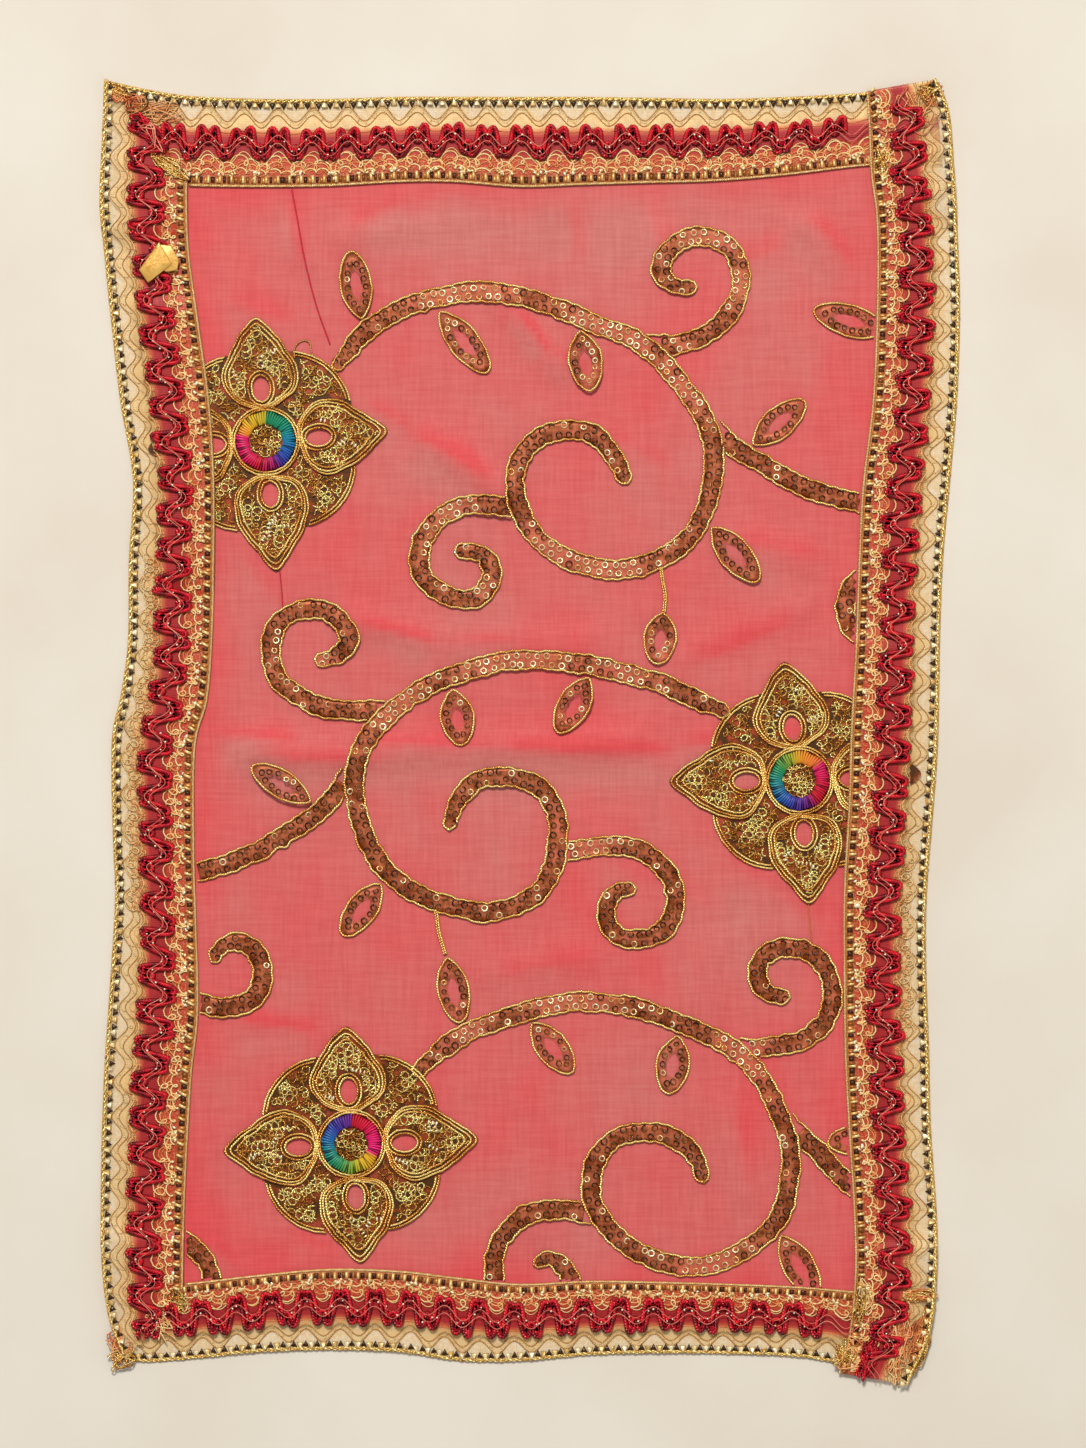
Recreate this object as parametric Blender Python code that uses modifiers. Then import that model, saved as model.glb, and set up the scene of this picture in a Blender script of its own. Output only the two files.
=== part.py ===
"""A small dupatta stole laid flat: a sheer net panel with corded vines, leaves and flowers, edged with zari lace.

Run with blender --background --python part.py. The stole lies on the plane z = 0, centred on the
origin, with its length along Y and its face up. Tables are in millimetres and the model is in metres.
"""

import math
from collections import namedtuple

import bmesh
import bpy
import numpy as np
from mathutils import Vector
from mathutils.bvhtree import BVHTree

MM = 0.001

# Driving sizes, in millimetres.
NET_WALL = 1.0  # net panel where it lies flat
LACE_WALL = 1.0
BRAID_WALL = 0.9
SEAM_GAP = 0.3  # between pieces that are sewn together
LACE_PITCH = 17.7  # one wave of the lace
VINE_WIDTH = 10.4
VINE_RIM = 1.1  # height of the two cords along a vine
VINE_BED = 0.7  # height of the band between them
TAPER = {0: 0.62, 1: 0.9}  # share of its width at a vine's last points
LEAF_WALL = 0.9
SMALL_PETAL_WALL = 1.0
LARGE_PETAL_WALL = 1.4
RING_RADIUS = 15.0
RING_HEIGHT = 2.7

# Places across a lace, from 0 at its outer edge to 1 at its inner edge.
RAMP_FOOT = 0.27  # the lace lies on the ground up to here
RAMP_HEAD = 0.33  # and on the net from here
NET_EDGE = 0.345
GAP_OUTER, GAP_INNER = 0.115, 0.26  # the cut-through gap of each wave
GAP_OUTER_HALF, GAP_INNER_HALF = 0.21, 0.10  # its half widths, in waves
BRAID_MIDDLE, BRAID_SWING, BRAID_HALF = 0.50, 0.07, 0.095

NET_COLUMNS, NET_ROWS = 30, 46
FOLD_CLEAR, FOLD_FULL = 12.0, 28.0  # folds grow between these distances from the lace
FLOWER_FLAT, FLOWER_FREE = 64.0, 96.0  # and between these distances from a flower's centre
LEAST_FOLD_WIDTH = 9.0
CORNER_MARGIN, CORNER_RAMP = 18.0, 14.0

COLOURS = {  # name: (red, green, blue, roughness, metallic)
    "net": (0.73, 0.13, 0.12, 0.6, 0.0),
    "lace": (0.72, 0.52, 0.30, 0.45, 0.3),
    "braid": (0.38, 0.01, 0.03, 0.25, 0.2),
    "zari": (0.52, 0.33, 0.10, 0.3, 0.9),
    "ring": (0.75, 0.03, 0.22, 0.5, 0.0),
    "foil": (0.80, 0.55, 0.16, 0.3, 0.8),
}

# One cross line of a lace: where it meets the outer and inner edges, and how far the outer edge curls up.
Section = namedtuple("Section", "outer_x outer_y inner_x inner_y curl")
TOP_LACE = [
    Section(-212.5, 326.0, -211.5, 280.0, 0.0),
    Section(-192.5, 321.5, -192.5, 274.0, 0.0),
    Section(-170.0, 318.0, -170.0, 272.5, 0.3),
    Section(-135.0, 316.5, -135.0, 272.0, 0.6),
    Section(-100.0, 316.5, -100.0, 272.5, 0.2),
    Section(-65.0, 317.5, -65.0, 274.5, 0.5),
    Section(-35.0, 317.5, -37.5, 274.5, 0.8),
    Section(-5.0, 317.5, -5.0, 272.0, 0.2),
    Section(25.0, 317.5, 25.0, 273.0, 0.4),
    Section(60.0, 317.0, 57.5, 274.0, 0.7),
    Section(95.0, 316.5, 92.5, 275.0, 0.3),
    Section(130.0, 317.5, 127.5, 278.0, 0.5),
    Section(165.0, 319.5, 165.0, 282.5, 0.2),
    Section(187.5, 322.5, 187.5, 283.5, 0.0),
    Section(202.5, 326.0, 206.0, 283.5, 0.0),
]
BOTTOM_LACE = [
    Section(-206.0, -314.0, -209.0, -279.0, 0.0),
    Section(-190.0, -315.0, -190.0, -277.0, 0.0),
    Section(-165.0, -313.0, -165.0, -274.5, 0.3),
    Section(-135.0, -310.0, -135.0, -271.0, 0.8),
    Section(-100.0, -309.0, -100.0, -268.0, 0.4),
    Section(-65.0, -310.0, -65.0, -269.0, 0.9),
    Section(-35.0, -314.5, -35.0, -272.5, 0.3),
    Section(-5.0, -314.5, -5.0, -275.5, 0.6),
    Section(30.0, -311.5, 30.0, -274.0, 0.3),
    Section(65.0, -310.5, 65.0, -274.5, 0.7),
    Section(100.0, -311.0, 100.0, -275.5, 0.2),
    Section(135.0, -312.5, 135.0, -277.0, 0.5),
    Section(165.0, -318.0, 165.0, -279.5, 0.0),
    Section(190.0, -322.5, 194.0, -281.5, 0.0),
]
LEFT_LACE = [
    Section(-212.5, 326.0, -170.0, 317.5, 2.6),
    Section(-213.5, 301.0, -170.5, 296.0, 1.0),
    Section(-215.0, 266.0, -171.0, 266.0, 0.8),
    Section(-213.0, 241.0, -170.0, 238.5, 1.4),
    Section(-209.5, 206.0, -165.5, 206.0, 0.6),
    Section(-205.0, 166.0, -160.0, 166.0, 0.3),
    Section(-198.5, 126.0, -157.5, 126.0, 0.9),
    Section(-200.5, 86.0, -157.5, 86.0, 1.2),
    Section(-201.0, 46.0, -158.5, 46.0, 0.4),
    Section(-204.5, 18.5, -161.0, 16.0, 1.5),
    Section(-209.0, -5.0, -167.0, -8.0, 1.8),
    Section(-208.5, -54.0, -167.5, -59.0, 0.7),
    Section(-207.5, -84.0, -166.5, -94.0, 0.5),
    Section(-210.5, -134.0, -165.5, -139.0, 1.1),
    Section(-213.0, -174.0, -169.0, -174.0, 1.5),
    Section(-214.5, -224.0, -172.0, -229.0, 1.0),
    Section(-214.0, -264.0, -173.0, -269.0, 0.8),
    Section(-210.0, -294.0, -173.0, -299.0, 0.6),
    Section(-200.0, -318.0, -170.0, -314.0, 1.0),
]
RIGHT_LACE = [
    Section(202.5, 326.0, 168.0, 320.0, 2.6),
    Section(209.0, 311.0, 169.0, 301.0, 1.8),
    Section(211.5, 286.0, 170.0, 278.5, 0.9),
    Section(213.5, 256.0, 173.0, 253.5, 0.6),
    Section(215.0, 211.0, 173.0, 211.0, 0.3),
    Section(213.5, 166.0, 171.0, 166.0, 0.5),
    Section(210.0, 126.0, 166.0, 123.5, 0.9),
    Section(206.5, 86.0, 164.0, 86.0, 0.4),
    Section(205.0, 46.0, 162.5, 46.0, 0.3),
    Section(204.0, -4.0, 160.0, 1.0, 0.8),
    Section(201.5, -39.0, 159.0, -34.0, 1.1),
    Section(198.5, -79.0, 156.5, -79.0, 0.5),
    Section(198.0, -114.0, 156.5, -114.0, 0.3),
    Section(199.5, -159.0, 157.0, -159.0, 0.6),
    Section(200.5, -199.0, 159.0, -199.0, 0.4),
    Section(203.5, -244.0, 161.5, -239.0, 0.7),
    Section(203.0, -274.0, 162.0, -271.5, 0.9),
    Section(200.0, -299.0, 159.0, -301.5, 1.4),
    Section(188.5, -326.0, 154.0, -320.0, 1.6),
]

# A fold of the net: a soft ridge from one end to the other.
Fold = namedtuple("Fold", "start_x start_y end_x end_y height width")
FOLDS = [
    Fold(-168, -7, -95, -11, 2.4, 7.0),
    Fold(-95, -11, 20, -6, 2.0, 8.0),
    Fold(20, -6, 160, 0, 2.3, 8.0),
    Fold(-118, 262, -112, 236, 1.2, 5.0),
    Fold(-112, 236, -98, 196, 0.8, 5.0),
    Fold(-92, 250, -25, 266, 1.7, 9.0),
    Fold(-12, 214, 14, 184, 1.8, 7.0),
    Fold(-70, 156, -14, 122, 2.0, 8.0),
    Fold(60, 266, 66, 232, 1.2, 9.0),
    Fold(128, 266, 164, 226, 1.8, 9.0),
    Fold(-88, 56, -40, 44, 1.6, 8.0),
    Fold(-40, 44, 34, 46, 1.1, 9.0),
    Fold(76, 34, 134, 60, 1.7, 9.0),
    Fold(100, 96, 150, 84, 1.2, 9.0),
    Fold(-150, -142, -104, -150, 1.5, 8.0),
    Fold(-164, -250, -146, -266, 1.6, 8.0),
    Fold(-20, -120, 30, -112, 1.0, 9.0),
    Fold(88, -132, 96, -104, 1.0, 9.0),
    Fold(-18, -200, 4, -262, 1.2, 9.0),
    Fold(96, -190, 110, -232, 0.9, 9.0),
]

# A flower: its centre, and where the tip of each large petal is from there.
Flower = namedtuple("Flower", "name x y east north west south")
FLOWERS = [
    Flower("flower_upper", -132.0, 145.3, (62.0, 5.0), (-5.5, 64.0), (-60.0, -4.0), (5.7, -66.0)),
    Flower("flower_middle", 134.6, -24.2, (62.0, 3.0), (-8.0, 61.0), (-66.4, -0.6), (5.5, -63.0)),
    Flower("flower_lower", -89.2, -205.7, (64.7, 1.7), (-3.3, 60.5), (-65.5, -3.6), (5.0, -60.8)),
]
LARGE_PETAL_HALF = 19.3  # half the width of a large petal
SMALL_PETAL_REACH = 49.5
SMALL_PETAL_ROOT = 37.0  # how far the small petals reach under the large ones
PETAL_EYE = (26.5, 6.4, 4.3)  # distance of a petal's open eye from the centre, and its half sizes
PETAL_POINTS, LOBE_POINTS, EYE_POINTS = 7, 36, 9
TRIM_STRIDE = 12  # of the close rows of a lace, for the line that trims what meets it
TRIM_HEIGHT = 12.0
OUTWARDS = {"left": (-90, 0), "right": (90, 0), "top": (0, 90), "bottom": (0, -90)}

# Where a lace rides over a flower: the stretch of Y that it covers on that side.
COVERED_BY_LEFT = (145.3 - 65.0, 145.3 + 65.0)
COVERED_BY_RIGHT = (-24.2 - 65.0, -24.2 + 65.0)

# The centre lines of the corded vines. A branch names the vine that it springs from.
VINES = {
    "vine_upper": [(-94, 186), (-82, 200), (-63, 212), (-45, 217.3), (-28, 219.8), (-15, 219.3), (1.7, 216), (18.3, 210),
                   (35, 203), (51.7, 196.5), (66.7, 184.5), (78.3, 170), (86.7, 157.5), (91.7, 142.5), (91.3, 124.5),
                   (86.7, 109.3), (78.3, 96), (65, 86.8), (50, 81.8), (35, 81.8), (18.3, 86.8), (3.3, 97.5), (-5, 111),
                   (-7.5, 124.3), (-4.2, 137.5), (5, 147.5), (18.3, 151), (31.7, 148.5), (40.8, 139.5), (49, 124.3)],
    "vine_middle": [(91, 13), (78.5, 18.5), (65, 24.5), (51.5, 28.5), (35, 32.5), (18.5, 35), (1.5, 36), (-15, 35),
                    (-36.5, 28.8), (-50, 23.5), (-63.5, 15), (-75, 4.5), (-83.5, -7.5), (-87.5, -20.5), (-87, -34),
                    (-84, -47.5), (-78.5, -60.5), (-68.5, -72.5), (-55, -81.5), (-38.5, -87.5), (-21.5, -90),
                    (-6.5, -86.5), (5, -79), (11.5, -67.5), (14, -52), (12.5, -39), (6, -29), (-3.5, -23.5),
                    (-13.5, -22), (-25, -24), (-34.5, -32), (-39, -42.5), (-40.5, -49)],
    "vine_lower": [(-53.5, -167.5), (-43.5, -158), (-31.5, -150.5), (-13.5, -143.5), (3.5, -138), (20, -135),
                   (36.5, -135.3), (53.5, -138), (70, -143.5), (86.5, -150.5), (101.5, -158), (112.5, -169),
                   (120, -180.5), (126.5, -195.5), (130.3, -210.5), (129.5, -224), (126, -239), (118.5, -250),
                   (106.5, -259), (93.5, -265), (78.5, -267), (63.5, -264), (50, -257.5), (38.5, -246.5),
                   (31.5, -234), (31, -220.5), (35, -210.5), (43.5, -202.5), (56.5, -200), (68.5, -201.5),
                   (78.5, -207.5), (85, -217.5), (87, -225)],
}
BRANCHES = {
    "vine_upper_hook": ("vine_upper", [(54, 194), (71.5, 193.5), (85, 197), (96.5, 205), (103.5, 216), (105.5, 227),
                                       (102.5, 238.5), (94, 246), (83.5, 247.5), (73.5, 244.5), (66.5, 237),
                                       (66.5, 228.5), (73.5, 222.5), (83.5, 222.5)]),
    "vine_upper_curl": ("vine_upper", [(-4, 112), (-12, 112.5), (-30, 113.5), (-46.5, 106), (-55, 91), (-53.5, 77.5),
                                       (-40, 67.5), (-26.5, 67.5), (-19, 77.5), (-21.5, 87), (-30, 90.5),
                                       (-37.5, 89.5)]),
    "vine_upper_branch": ("vine_upper", [(92, 153), (101.5, 142.5), (115, 134.5), (130, 126), (145, 119.5),
                                         (164, 114.5), (186, 109)]),
    "vine_middle_hook": ("vine_middle", [(-70, 11), (-76.5, 11), (-90, 11), (-103.5, 12.5), (-116.5, 18.5),
                                         (-126.5, 27.5), (-129.5, 41), (-127, 52), (-119, 59.5), (-108.5, 61.5),
                                         (-98.5, 58.5), (-91.5, 51), (-91, 43.5), (-98.5, 37), (-107.5, 36)]),
    "vine_middle_curl": ("vine_middle", [(12, -59.5), (21, -59), (35, -57), (50, -57.5), (61, -62.5), (70, -72.5),
                                         (73, -85.5), (68.5, -97.5), (58.5, -103), (46.5, -102.5), (39, -95.5),
                                         (39, -85.5), (44, -79.5), (53, -78)]),
    "vine_middle_branch": ("vine_middle", [(-90, -20), (-95, -28), (-101, -36), (-111.5, -44.5), (-125, -53),
                                           (-138.5, -60.5), (-151.5, -66), (-163.5, -69), (-186, -74)]),
    "vine_lower_hook": ("vine_lower", [(98, -157), (108.5, -158), (120, -157), (133.5, -155), (145, -147.5),
                                       (151, -135.5), (150, -124), (145, -114), (136.5, -109), (125, -108),
                                       (116, -113), (114, -121.5), (118.5, -130), (130, -132.5)]),
    "vine_lower_branch": ("vine_lower", [(128, -194), (134, -200.5), (143.5, -209), (151.5, -218), (160, -226),
                                         (178, -241)]),
    "vine_lower_curl": ("vine_lower", [(36, -241), (28.5, -240.5), (18.5, -239), (5, -239), (-5, -243), (-13.5, -252),
                                       (-17.5, -262), (-18, -272.5), (-18, -292)]),
}
# Vines that come out from under the lace.
ENDS = {
    "vine_end_left": [(-180, -131), (-165, -135), (-155, -137.5), (-145, -136.5), (-136.5, -130.5), (-133.5, -120.5),
                      (-136.5, -110.5), (-145, -105), (-153.5, -107), (-159, -115)],
    "vine_end_right": [(178, 83), (163, 75), (158, 67), (158, 58), (162, 50), (176, 40)],
    "vine_end_base": [(26, -290), (20, -273), (15.5, -266), (9, -263), (2, -266.5)],
    "vine_end_corner": [(-192, -247), (-173, -255), (-165, -260), (-160, -268), (-156, -290)],
}

# A leaf: its base beside the vine, its tip and its width.
Leaf = namedtuple("Leaf", "base_x base_y tip_x tip_y width")
LEAVES = [
    Leaf(-84, 205, -89.5, 240, 15.5),
    Leaf(-45, 210, -21, 180, 15.0),
    Leaf(25, 202, 30, 170.5, 16.5),
    Leaf(111, 143, 137, 165.5, 15.0),
    Leaf(91, 102, 114, 75.5, 15.5),
    Leaf(66.5, 59.5, 63.5, 34, 16.0),
    Leaf(178, 200, 142, 211, 15.5),
    Leaf(-39, 24, -34, -6.5, 16.5),
    Leaf(29.5, 27, 14, 0, 15.5),
    Leaf(-107.5, -36, -138.5, -17.3, 13.5),
    Leaf(-72.5, -73, -93.5, -101.5, 15.0),
    Leaf(-41.3, -113, -35, -145, 15.5),
    Leaf(1, -145, 21, -170, 15.5),
    Leaf(74, -150.5, 69, -180.5, 16.5),
    Leaf(125, -251, 143.5, -282, 15.5),
    Leaf(172, -203, 149, -205, 14.0),
]
# Bare cord stems that carry two of the leaves.
STEMS = {
    "stem_upper": [(66.5, 74.5), (67.6, 68), (67, 60)],
    "stem_middle": [(-46.5, -92), (-45.5, -100), (-42.3, -111)],
}
STEM_RADIUS = 0.7
LEAF_CLEARANCE = 1.1  # from a leaf to the side of a vine

# The outlines of the foil tab's face and of the flap folded under it.
TAB_FACE = [(-195.0, 230.5), (-185.0, 244.5), (-178.5, 233.5), (-190.5, 224.0)]
TAB_FLAP = [(-189.0, 229.5), (-180.0, 242.5), (-175.0, 235.5), (-176.0, 230.5), (-181.0, 229.5)]


def smoothstep(low, high, value):
    """0 up to low, 1 from high, and an S curve between."""
    t = min(1.0, max(0.0, (value - low) / (high - low)))
    return t * t * (3 - 2 * t)


def spline_rows(rows, per_span=12):
    """The rows of a table joined by a Catmull-Rom spline, as many rows close together."""
    rows = np.array(rows, float)
    padded = np.vstack([2 * rows[0] - rows[1], rows, 2 * rows[-1] - rows[-2]])
    joined = []
    for before, start, end, after in zip(padded, padded[1:], padded[2:], padded[3:]):
        for t in np.linspace(0, 1, per_span, endpoint=False):
            joined.append(
                0.5 * (2 * start + (end - before) * t + (2 * before - 5 * start + 4 * end - after) * t**2
                       + (3 * start - before - 3 * end + after) * t**3)
            )
    return np.array(joined + [rows[-1]])


def lengths_along(points):
    """How far each point is along the line through them."""
    return np.concatenate([[0.0], np.cumsum(np.linalg.norm(np.diff(points, axis=0), axis=1))])


def evenly_spaced(points, step):
    """A smooth line through the points, resampled about step apart."""
    dense = spline_rows(points)
    run = lengths_along(dense)
    stops = np.linspace(0, run[-1], max(3, round(run[-1] / step) + 1))
    return np.stack([np.interp(stops, run, dense[:, k]) for k in range(dense.shape[1])], axis=1)


class Lace:
    """One length of lace. Columns are counted in waves along it, and across runs from 0 outside to 1 inside."""

    def __init__(self, name, sections, crosses=(), covered=None):
        self.name = name
        self.rows = spline_rows(sections)
        self.run = lengths_along((self.rows[:, 0:2] + self.rows[:, 2:4]) / 2)
        self.waves = round(self.run[-1] / LACE_PITCH)
        self.crosses = crosses  # inner edges, as Y, of the laces that this one lies over
        self.covered = covered  # stretch of Y where it rides over a flower

    def section(self, wave):
        along = self.run[-1] * wave / self.waves
        return Section(*(np.interp(along, self.run, self.rows[:, k]) for k in range(5)))

    def place(self, wave, across):
        """X and Y, in millimetres."""
        s = self.section(wave)
        return s.outer_x + (s.inner_x - s.outer_x) * across, s.outer_y + (s.inner_y - s.outer_y) * across

    def edge(self, across):
        """The whole line at this place across, as points."""
        return self.rows[:, 0:2] * (1 - across) + self.rows[:, 2:4] * across

    def underside(self, wave, across):
        """Height of the lace's underside: on the ground outside, on the net inside, over the lace that it crosses."""
        y = self.place(wave, across)[1]
        on_net = NET_WALL + SEAM_GAP
        if self.covered:
            low, high = self.covered
            share = smoothstep(low - CORNER_RAMP, low, y) * (1 - smoothstep(high, high + CORNER_RAMP, y))
            on_net += share * (LARGE_PETAL_WALL + SEAM_GAP)
        height = on_net * smoothstep(RAMP_FOOT, RAMP_HEAD, across)
        for edge_y in self.crosses:
            reach = abs(edge_y) - CORNER_MARGIN
            over = smoothstep(reach - CORNER_RAMP, reach, y * math.copysign(1, edge_y))
            height = max(height, over * (NET_WALL + LACE_WALL + 2 * SEAM_GAP))
        return height + max(0.0, self.section(wave).curl) * max(0.0, 1 - across / RAMP_FOOT) ** 2


LACES = {
    "top": Lace("lace_top", TOP_LACE),
    "bottom": Lace("lace_bottom", BOTTOM_LACE),
    "left": Lace("lace_left", LEFT_LACE, (272.0, -274.0), COVERED_BY_LEFT),
    "right": Lace("lace_right", RIGHT_LACE, (282.0, -279.0), COVERED_BY_RIGHT),
}


def side_lines(across):
    """For each side, its line at this place across, as what to interpolate: X by Y, or Y by X."""
    lines = {}
    for side, lace in LACES.items():
        line = lace.edge(across)
        key, value = (1, 0) if side in ("left", "right") else (0, 1)
        order = np.argsort(line[:, key])
        lines[side] = (line[order, key], line[order, value])
    return lines


NET_LINES = side_lines(NET_EDGE)
INNER_LINES = side_lines(1.0)


def from_sides(x, y):
    """For each side, the distance from the inner edge of its lace, positive on the open net."""
    return {
        "left": x - np.interp(y, *INNER_LINES["left"]),
        "right": np.interp(y, *INNER_LINES["right"]) - x,
        "top": np.interp(x, *INNER_LINES["top"]) - y,
        "bottom": y - np.interp(x, *INNER_LINES["bottom"]),
    }


def fold_height(x, y):
    """How far the folds raise the net, which is flat under the lace and low under a flower."""
    height = 0.0
    for fold in FOLDS:
        run = Vector((fold.end_x - fold.start_x, fold.end_y - fold.start_y))
        point = Vector((x - fold.start_x, y - fold.start_y))
        along = min(1.0, max(0.0, point.dot(run) / run.length_squared))
        away = (point - run * along).length / max(fold.width, LEAST_FOLD_WIDTH)
        height = max(height, fold.height * math.exp(-away * away))
    for flower in FLOWERS:
        height *= smoothstep(FLOWER_FLAT, FLOWER_FREE, math.hypot(x - flower.x, y - flower.y))
    return height * smoothstep(FOLD_CLEAR, FOLD_FULL, min(from_sides(x, y).values()))


def net_place(u, v):
    """The point of the net at these shares of its width and height, which follow the four lace lines."""
    x, y = 0.0, 0.0
    for _ in range(6):
        left, right = np.interp(y, *NET_LINES["left"]), np.interp(y, *NET_LINES["right"])
        low, high = np.interp(x, *NET_LINES["bottom"]), np.interp(x, *NET_LINES["top"])
        x, y = left + (right - left) * u, low + (high - low) * v
    return x, y


def material(name):
    """A Principled material from the colour table."""
    found = bpy.data.materials.get(name)
    if found:
        return found
    red, green, blue, roughness, metallic = COLOURS[name]
    made = bpy.data.materials.new(name)
    made.use_nodes = True
    shader = made.node_tree.nodes["Principled BSDF"]
    shader.inputs["Base Color"].default_value = (red, green, blue, 1)
    shader.inputs["Roughness"].default_value = roughness
    shader.inputs["Metallic"].default_value = metallic
    return made


def add_object(name, data, finish, collection):
    """A new object of this mesh or curve, in a collection."""
    obj = bpy.data.objects.new(name, data)
    collection.objects.link(obj)
    data.materials.append(material(finish))
    return obj


def mesh_object(name, points, faces, finish, collection, smooth=True):
    """A mesh object from points in millimetres."""
    mesh = bpy.data.meshes.new(name)
    mesh.from_pydata([Vector(p) * MM for p in points], [], faces)
    mesh.update()
    if smooth:
        mesh.shade_smooth()
        mesh.set_sharp_from_angle(angle=math.radians(35))
    return add_object(name, mesh, finish, collection)


def wall(obj, thickness):
    """Gives an open underside its thickness, upwards."""
    solidify = obj.modifiers.new("wall", "SOLIDIFY")
    solidify.thickness = thickness * MM
    solidify.offset = 1.0
    solidify.use_even_offset = True


def build_net(parts):
    """The net panel: a folded top face over a flat underside."""
    top = []
    for row in range(NET_ROWS + 1):
        for column in range(NET_COLUMNS + 1):
            x, y = net_place(column / NET_COLUMNS, row / NET_ROWS)
            top.append((x, y, NET_WALL + fold_height(x, y)))
    width = NET_COLUMNS + 1
    faces = [
        (i, i + 1, i + 1 + width, i + width)
        for row in range(NET_ROWS)
        for i in range(row * width, row * width + NET_COLUMNS)
    ]
    rim = [*range(NET_COLUMNS), *range(NET_COLUMNS, width * NET_ROWS, width)]
    rim += [*range(width * (NET_ROWS + 1) - 1, width * NET_ROWS, -1), *range(width * NET_ROWS, 0, -width)]
    first_low = len(top)
    low = [(top[i][0], top[i][1], 0.0) for i in rim]
    for k, i in enumerate(rim):
        after = (k + 1) % len(rim)
        faces.append((i, first_low + k, first_low + after, rim[after]))
    faces.append(tuple(reversed(range(first_low, first_low + len(rim)))))
    return mesh_object("net_panel", top + low, faces, "net", parts)


class Ground:
    """Heights of the net's upper face, for what is sewn on it."""

    def __init__(self, net):
        shape = bmesh.new()
        shape.from_mesh(net.data)
        self.tree = BVHTree.FromBMesh(shape)
        shape.free()

    def height(self, x, y):
        hit = self.tree.ray_cast(Vector((x, y, 100)) * MM, Vector((0, 0, -1)))[0]
        return hit.z / MM if hit else 0.0

    def highest(self, x, y, reach):
        """The highest net within reach of a point, so that a stiff piece there clears it."""
        ring = [(math.cos(a) * r, math.sin(a) * r) for a in np.linspace(0, math.tau, 10) for r in (reach / 2, reach)]
        return max(self.height(x + dx, y + dy) for dx, dy in [(0, 0), *ring])


def build_lace(lace, parts):
    """A lace: an open underside with one gap left out of each wave, thickened upwards."""
    points, faces = [], []

    def add(wave, across):
        points.append((*lace.place(wave, across), lace.underside(wave, across)))
        return len(points) - 1

    def column(wave):
        return [add(wave, across) for across in (0.0, RAMP_FOOT, RAMP_HEAD, 1.0)]

    before = column(0)
    for wave in range(lace.waves):
        after = column(wave + 1)
        middle = wave + 0.5
        outer_a, outer_b = add(middle - GAP_OUTER_HALF, GAP_OUTER), add(middle + GAP_OUTER_HALF, GAP_OUTER)
        inner_a, inner_b = add(middle - GAP_INNER_HALF, GAP_INNER), add(middle + GAP_INNER_HALF, GAP_INNER)
        faces += [
            (before[0], after[0], outer_b, outer_a),
            (before[0], outer_a, inner_a, before[1]),
            (outer_b, after[0], after[1], inner_b),
            (before[1], inner_a, inner_b, after[1]),
            (before[1], after[1], after[2], before[2]),
            (before[2], after[2], after[3], before[3]),
        ]
        before = after
    (x0, y0, _), (x1, y1, _), (x2, y2, _) = (points[i] for i in faces[-1][:3])
    if (x1 - x0) * (y2 - y1) - (y1 - y0) * (x2 - x1) < 0:
        faces = [tuple(reversed(face)) for face in faces]
    wall(mesh_object(lace.name, points, faces, "lace", parts), LACE_WALL)


def build_braid(lace, name, first, last, parts):
    """The raised red zigzag that is worked along the middle of a lace, from one wave to another."""
    points, faces = [], []
    for k in range(2 * first, 2 * last + 1):
        wave = k / 2
        middle = BRAID_MIDDLE - BRAID_SWING * math.cos(math.tau * wave)
        for across in (middle - BRAID_HALF, middle + BRAID_HALF):
            # Half way between two columns the lace's face is the mean of theirs.
            ends = (math.floor(wave), math.ceil(wave))
            height = sum(lace.underside(w, max(across, RAMP_HEAD)) for w in ends) / 2 + LACE_WALL + SEAM_GAP
            points.append((*lace.place(wave, across), height))
        if k > 2 * first:
            a = len(points) - 4
            faces.append((a, a + 2, a + 3, a + 1))
    (x0, y0, _), (x1, y1, _), (x2, y2, _) = (points[i] for i in faces[0][:3])
    if (x1 - x0) * (y2 - y1) - (y1 - y0) * (x2 - x1) < 0:
        faces = [tuple(reversed(face)) for face in faces]
    wall(mesh_object(name, points, faces, "braid", parts), BRAID_WALL)


def vine_profile(name, widen, heighten, helpers):
    """The cross section of a vine: a flat band with a raised cord along each edge."""
    half = VINE_WIDTH / 2 + widen
    rim, bed = VINE_RIM + heighten, VINE_BED + heighten
    corners = [(-half, -heighten), (half, -heighten), (half, rim), (half - 1.6, bed), (1.6 - half, bed), (-half, rim)]
    outline = bpy.data.curves.new(name, "CURVE")
    outline.dimensions = "2D"
    spline = outline.splines.new("POLY")
    spline.points.add(len(corners) - 1)
    for point, (x, y) in zip(spline.points, corners):
        point.co = (x * MM, y * MM, 0, 1)
    spline.use_cyclic_u = True
    obj = bpy.data.objects.new(name, outline)
    helpers.objects.link(obj)
    obj.hide_render = True
    return obj


def vine_curve(name, line, profile, ground, collection, step=11.0):
    """A vine swept along its centre line, upright, and narrower at its free end."""
    points = evenly_spaced(line, step)
    data = bpy.data.curves.new(name, "CURVE")
    data.dimensions = "3D"
    data.twist_mode = "Z_UP"
    data.bevel_mode = "OBJECT"
    data.bevel_object = profile
    data.use_fill_caps = True
    spline = data.splines.new("POLY")
    spline.points.add(len(points) - 1)
    for k, (point, (x, y)) in enumerate(zip(spline.points, points)):
        height = ground.highest(x, y, VINE_WIDTH * 0.6) + SEAM_GAP
        point.co = (x * MM, y * MM, height * MM, 1)
        point.radius = TAPER.get(len(points) - 1 - k, 1.0)
    return add_object(name, data, "zari", collection)


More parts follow.
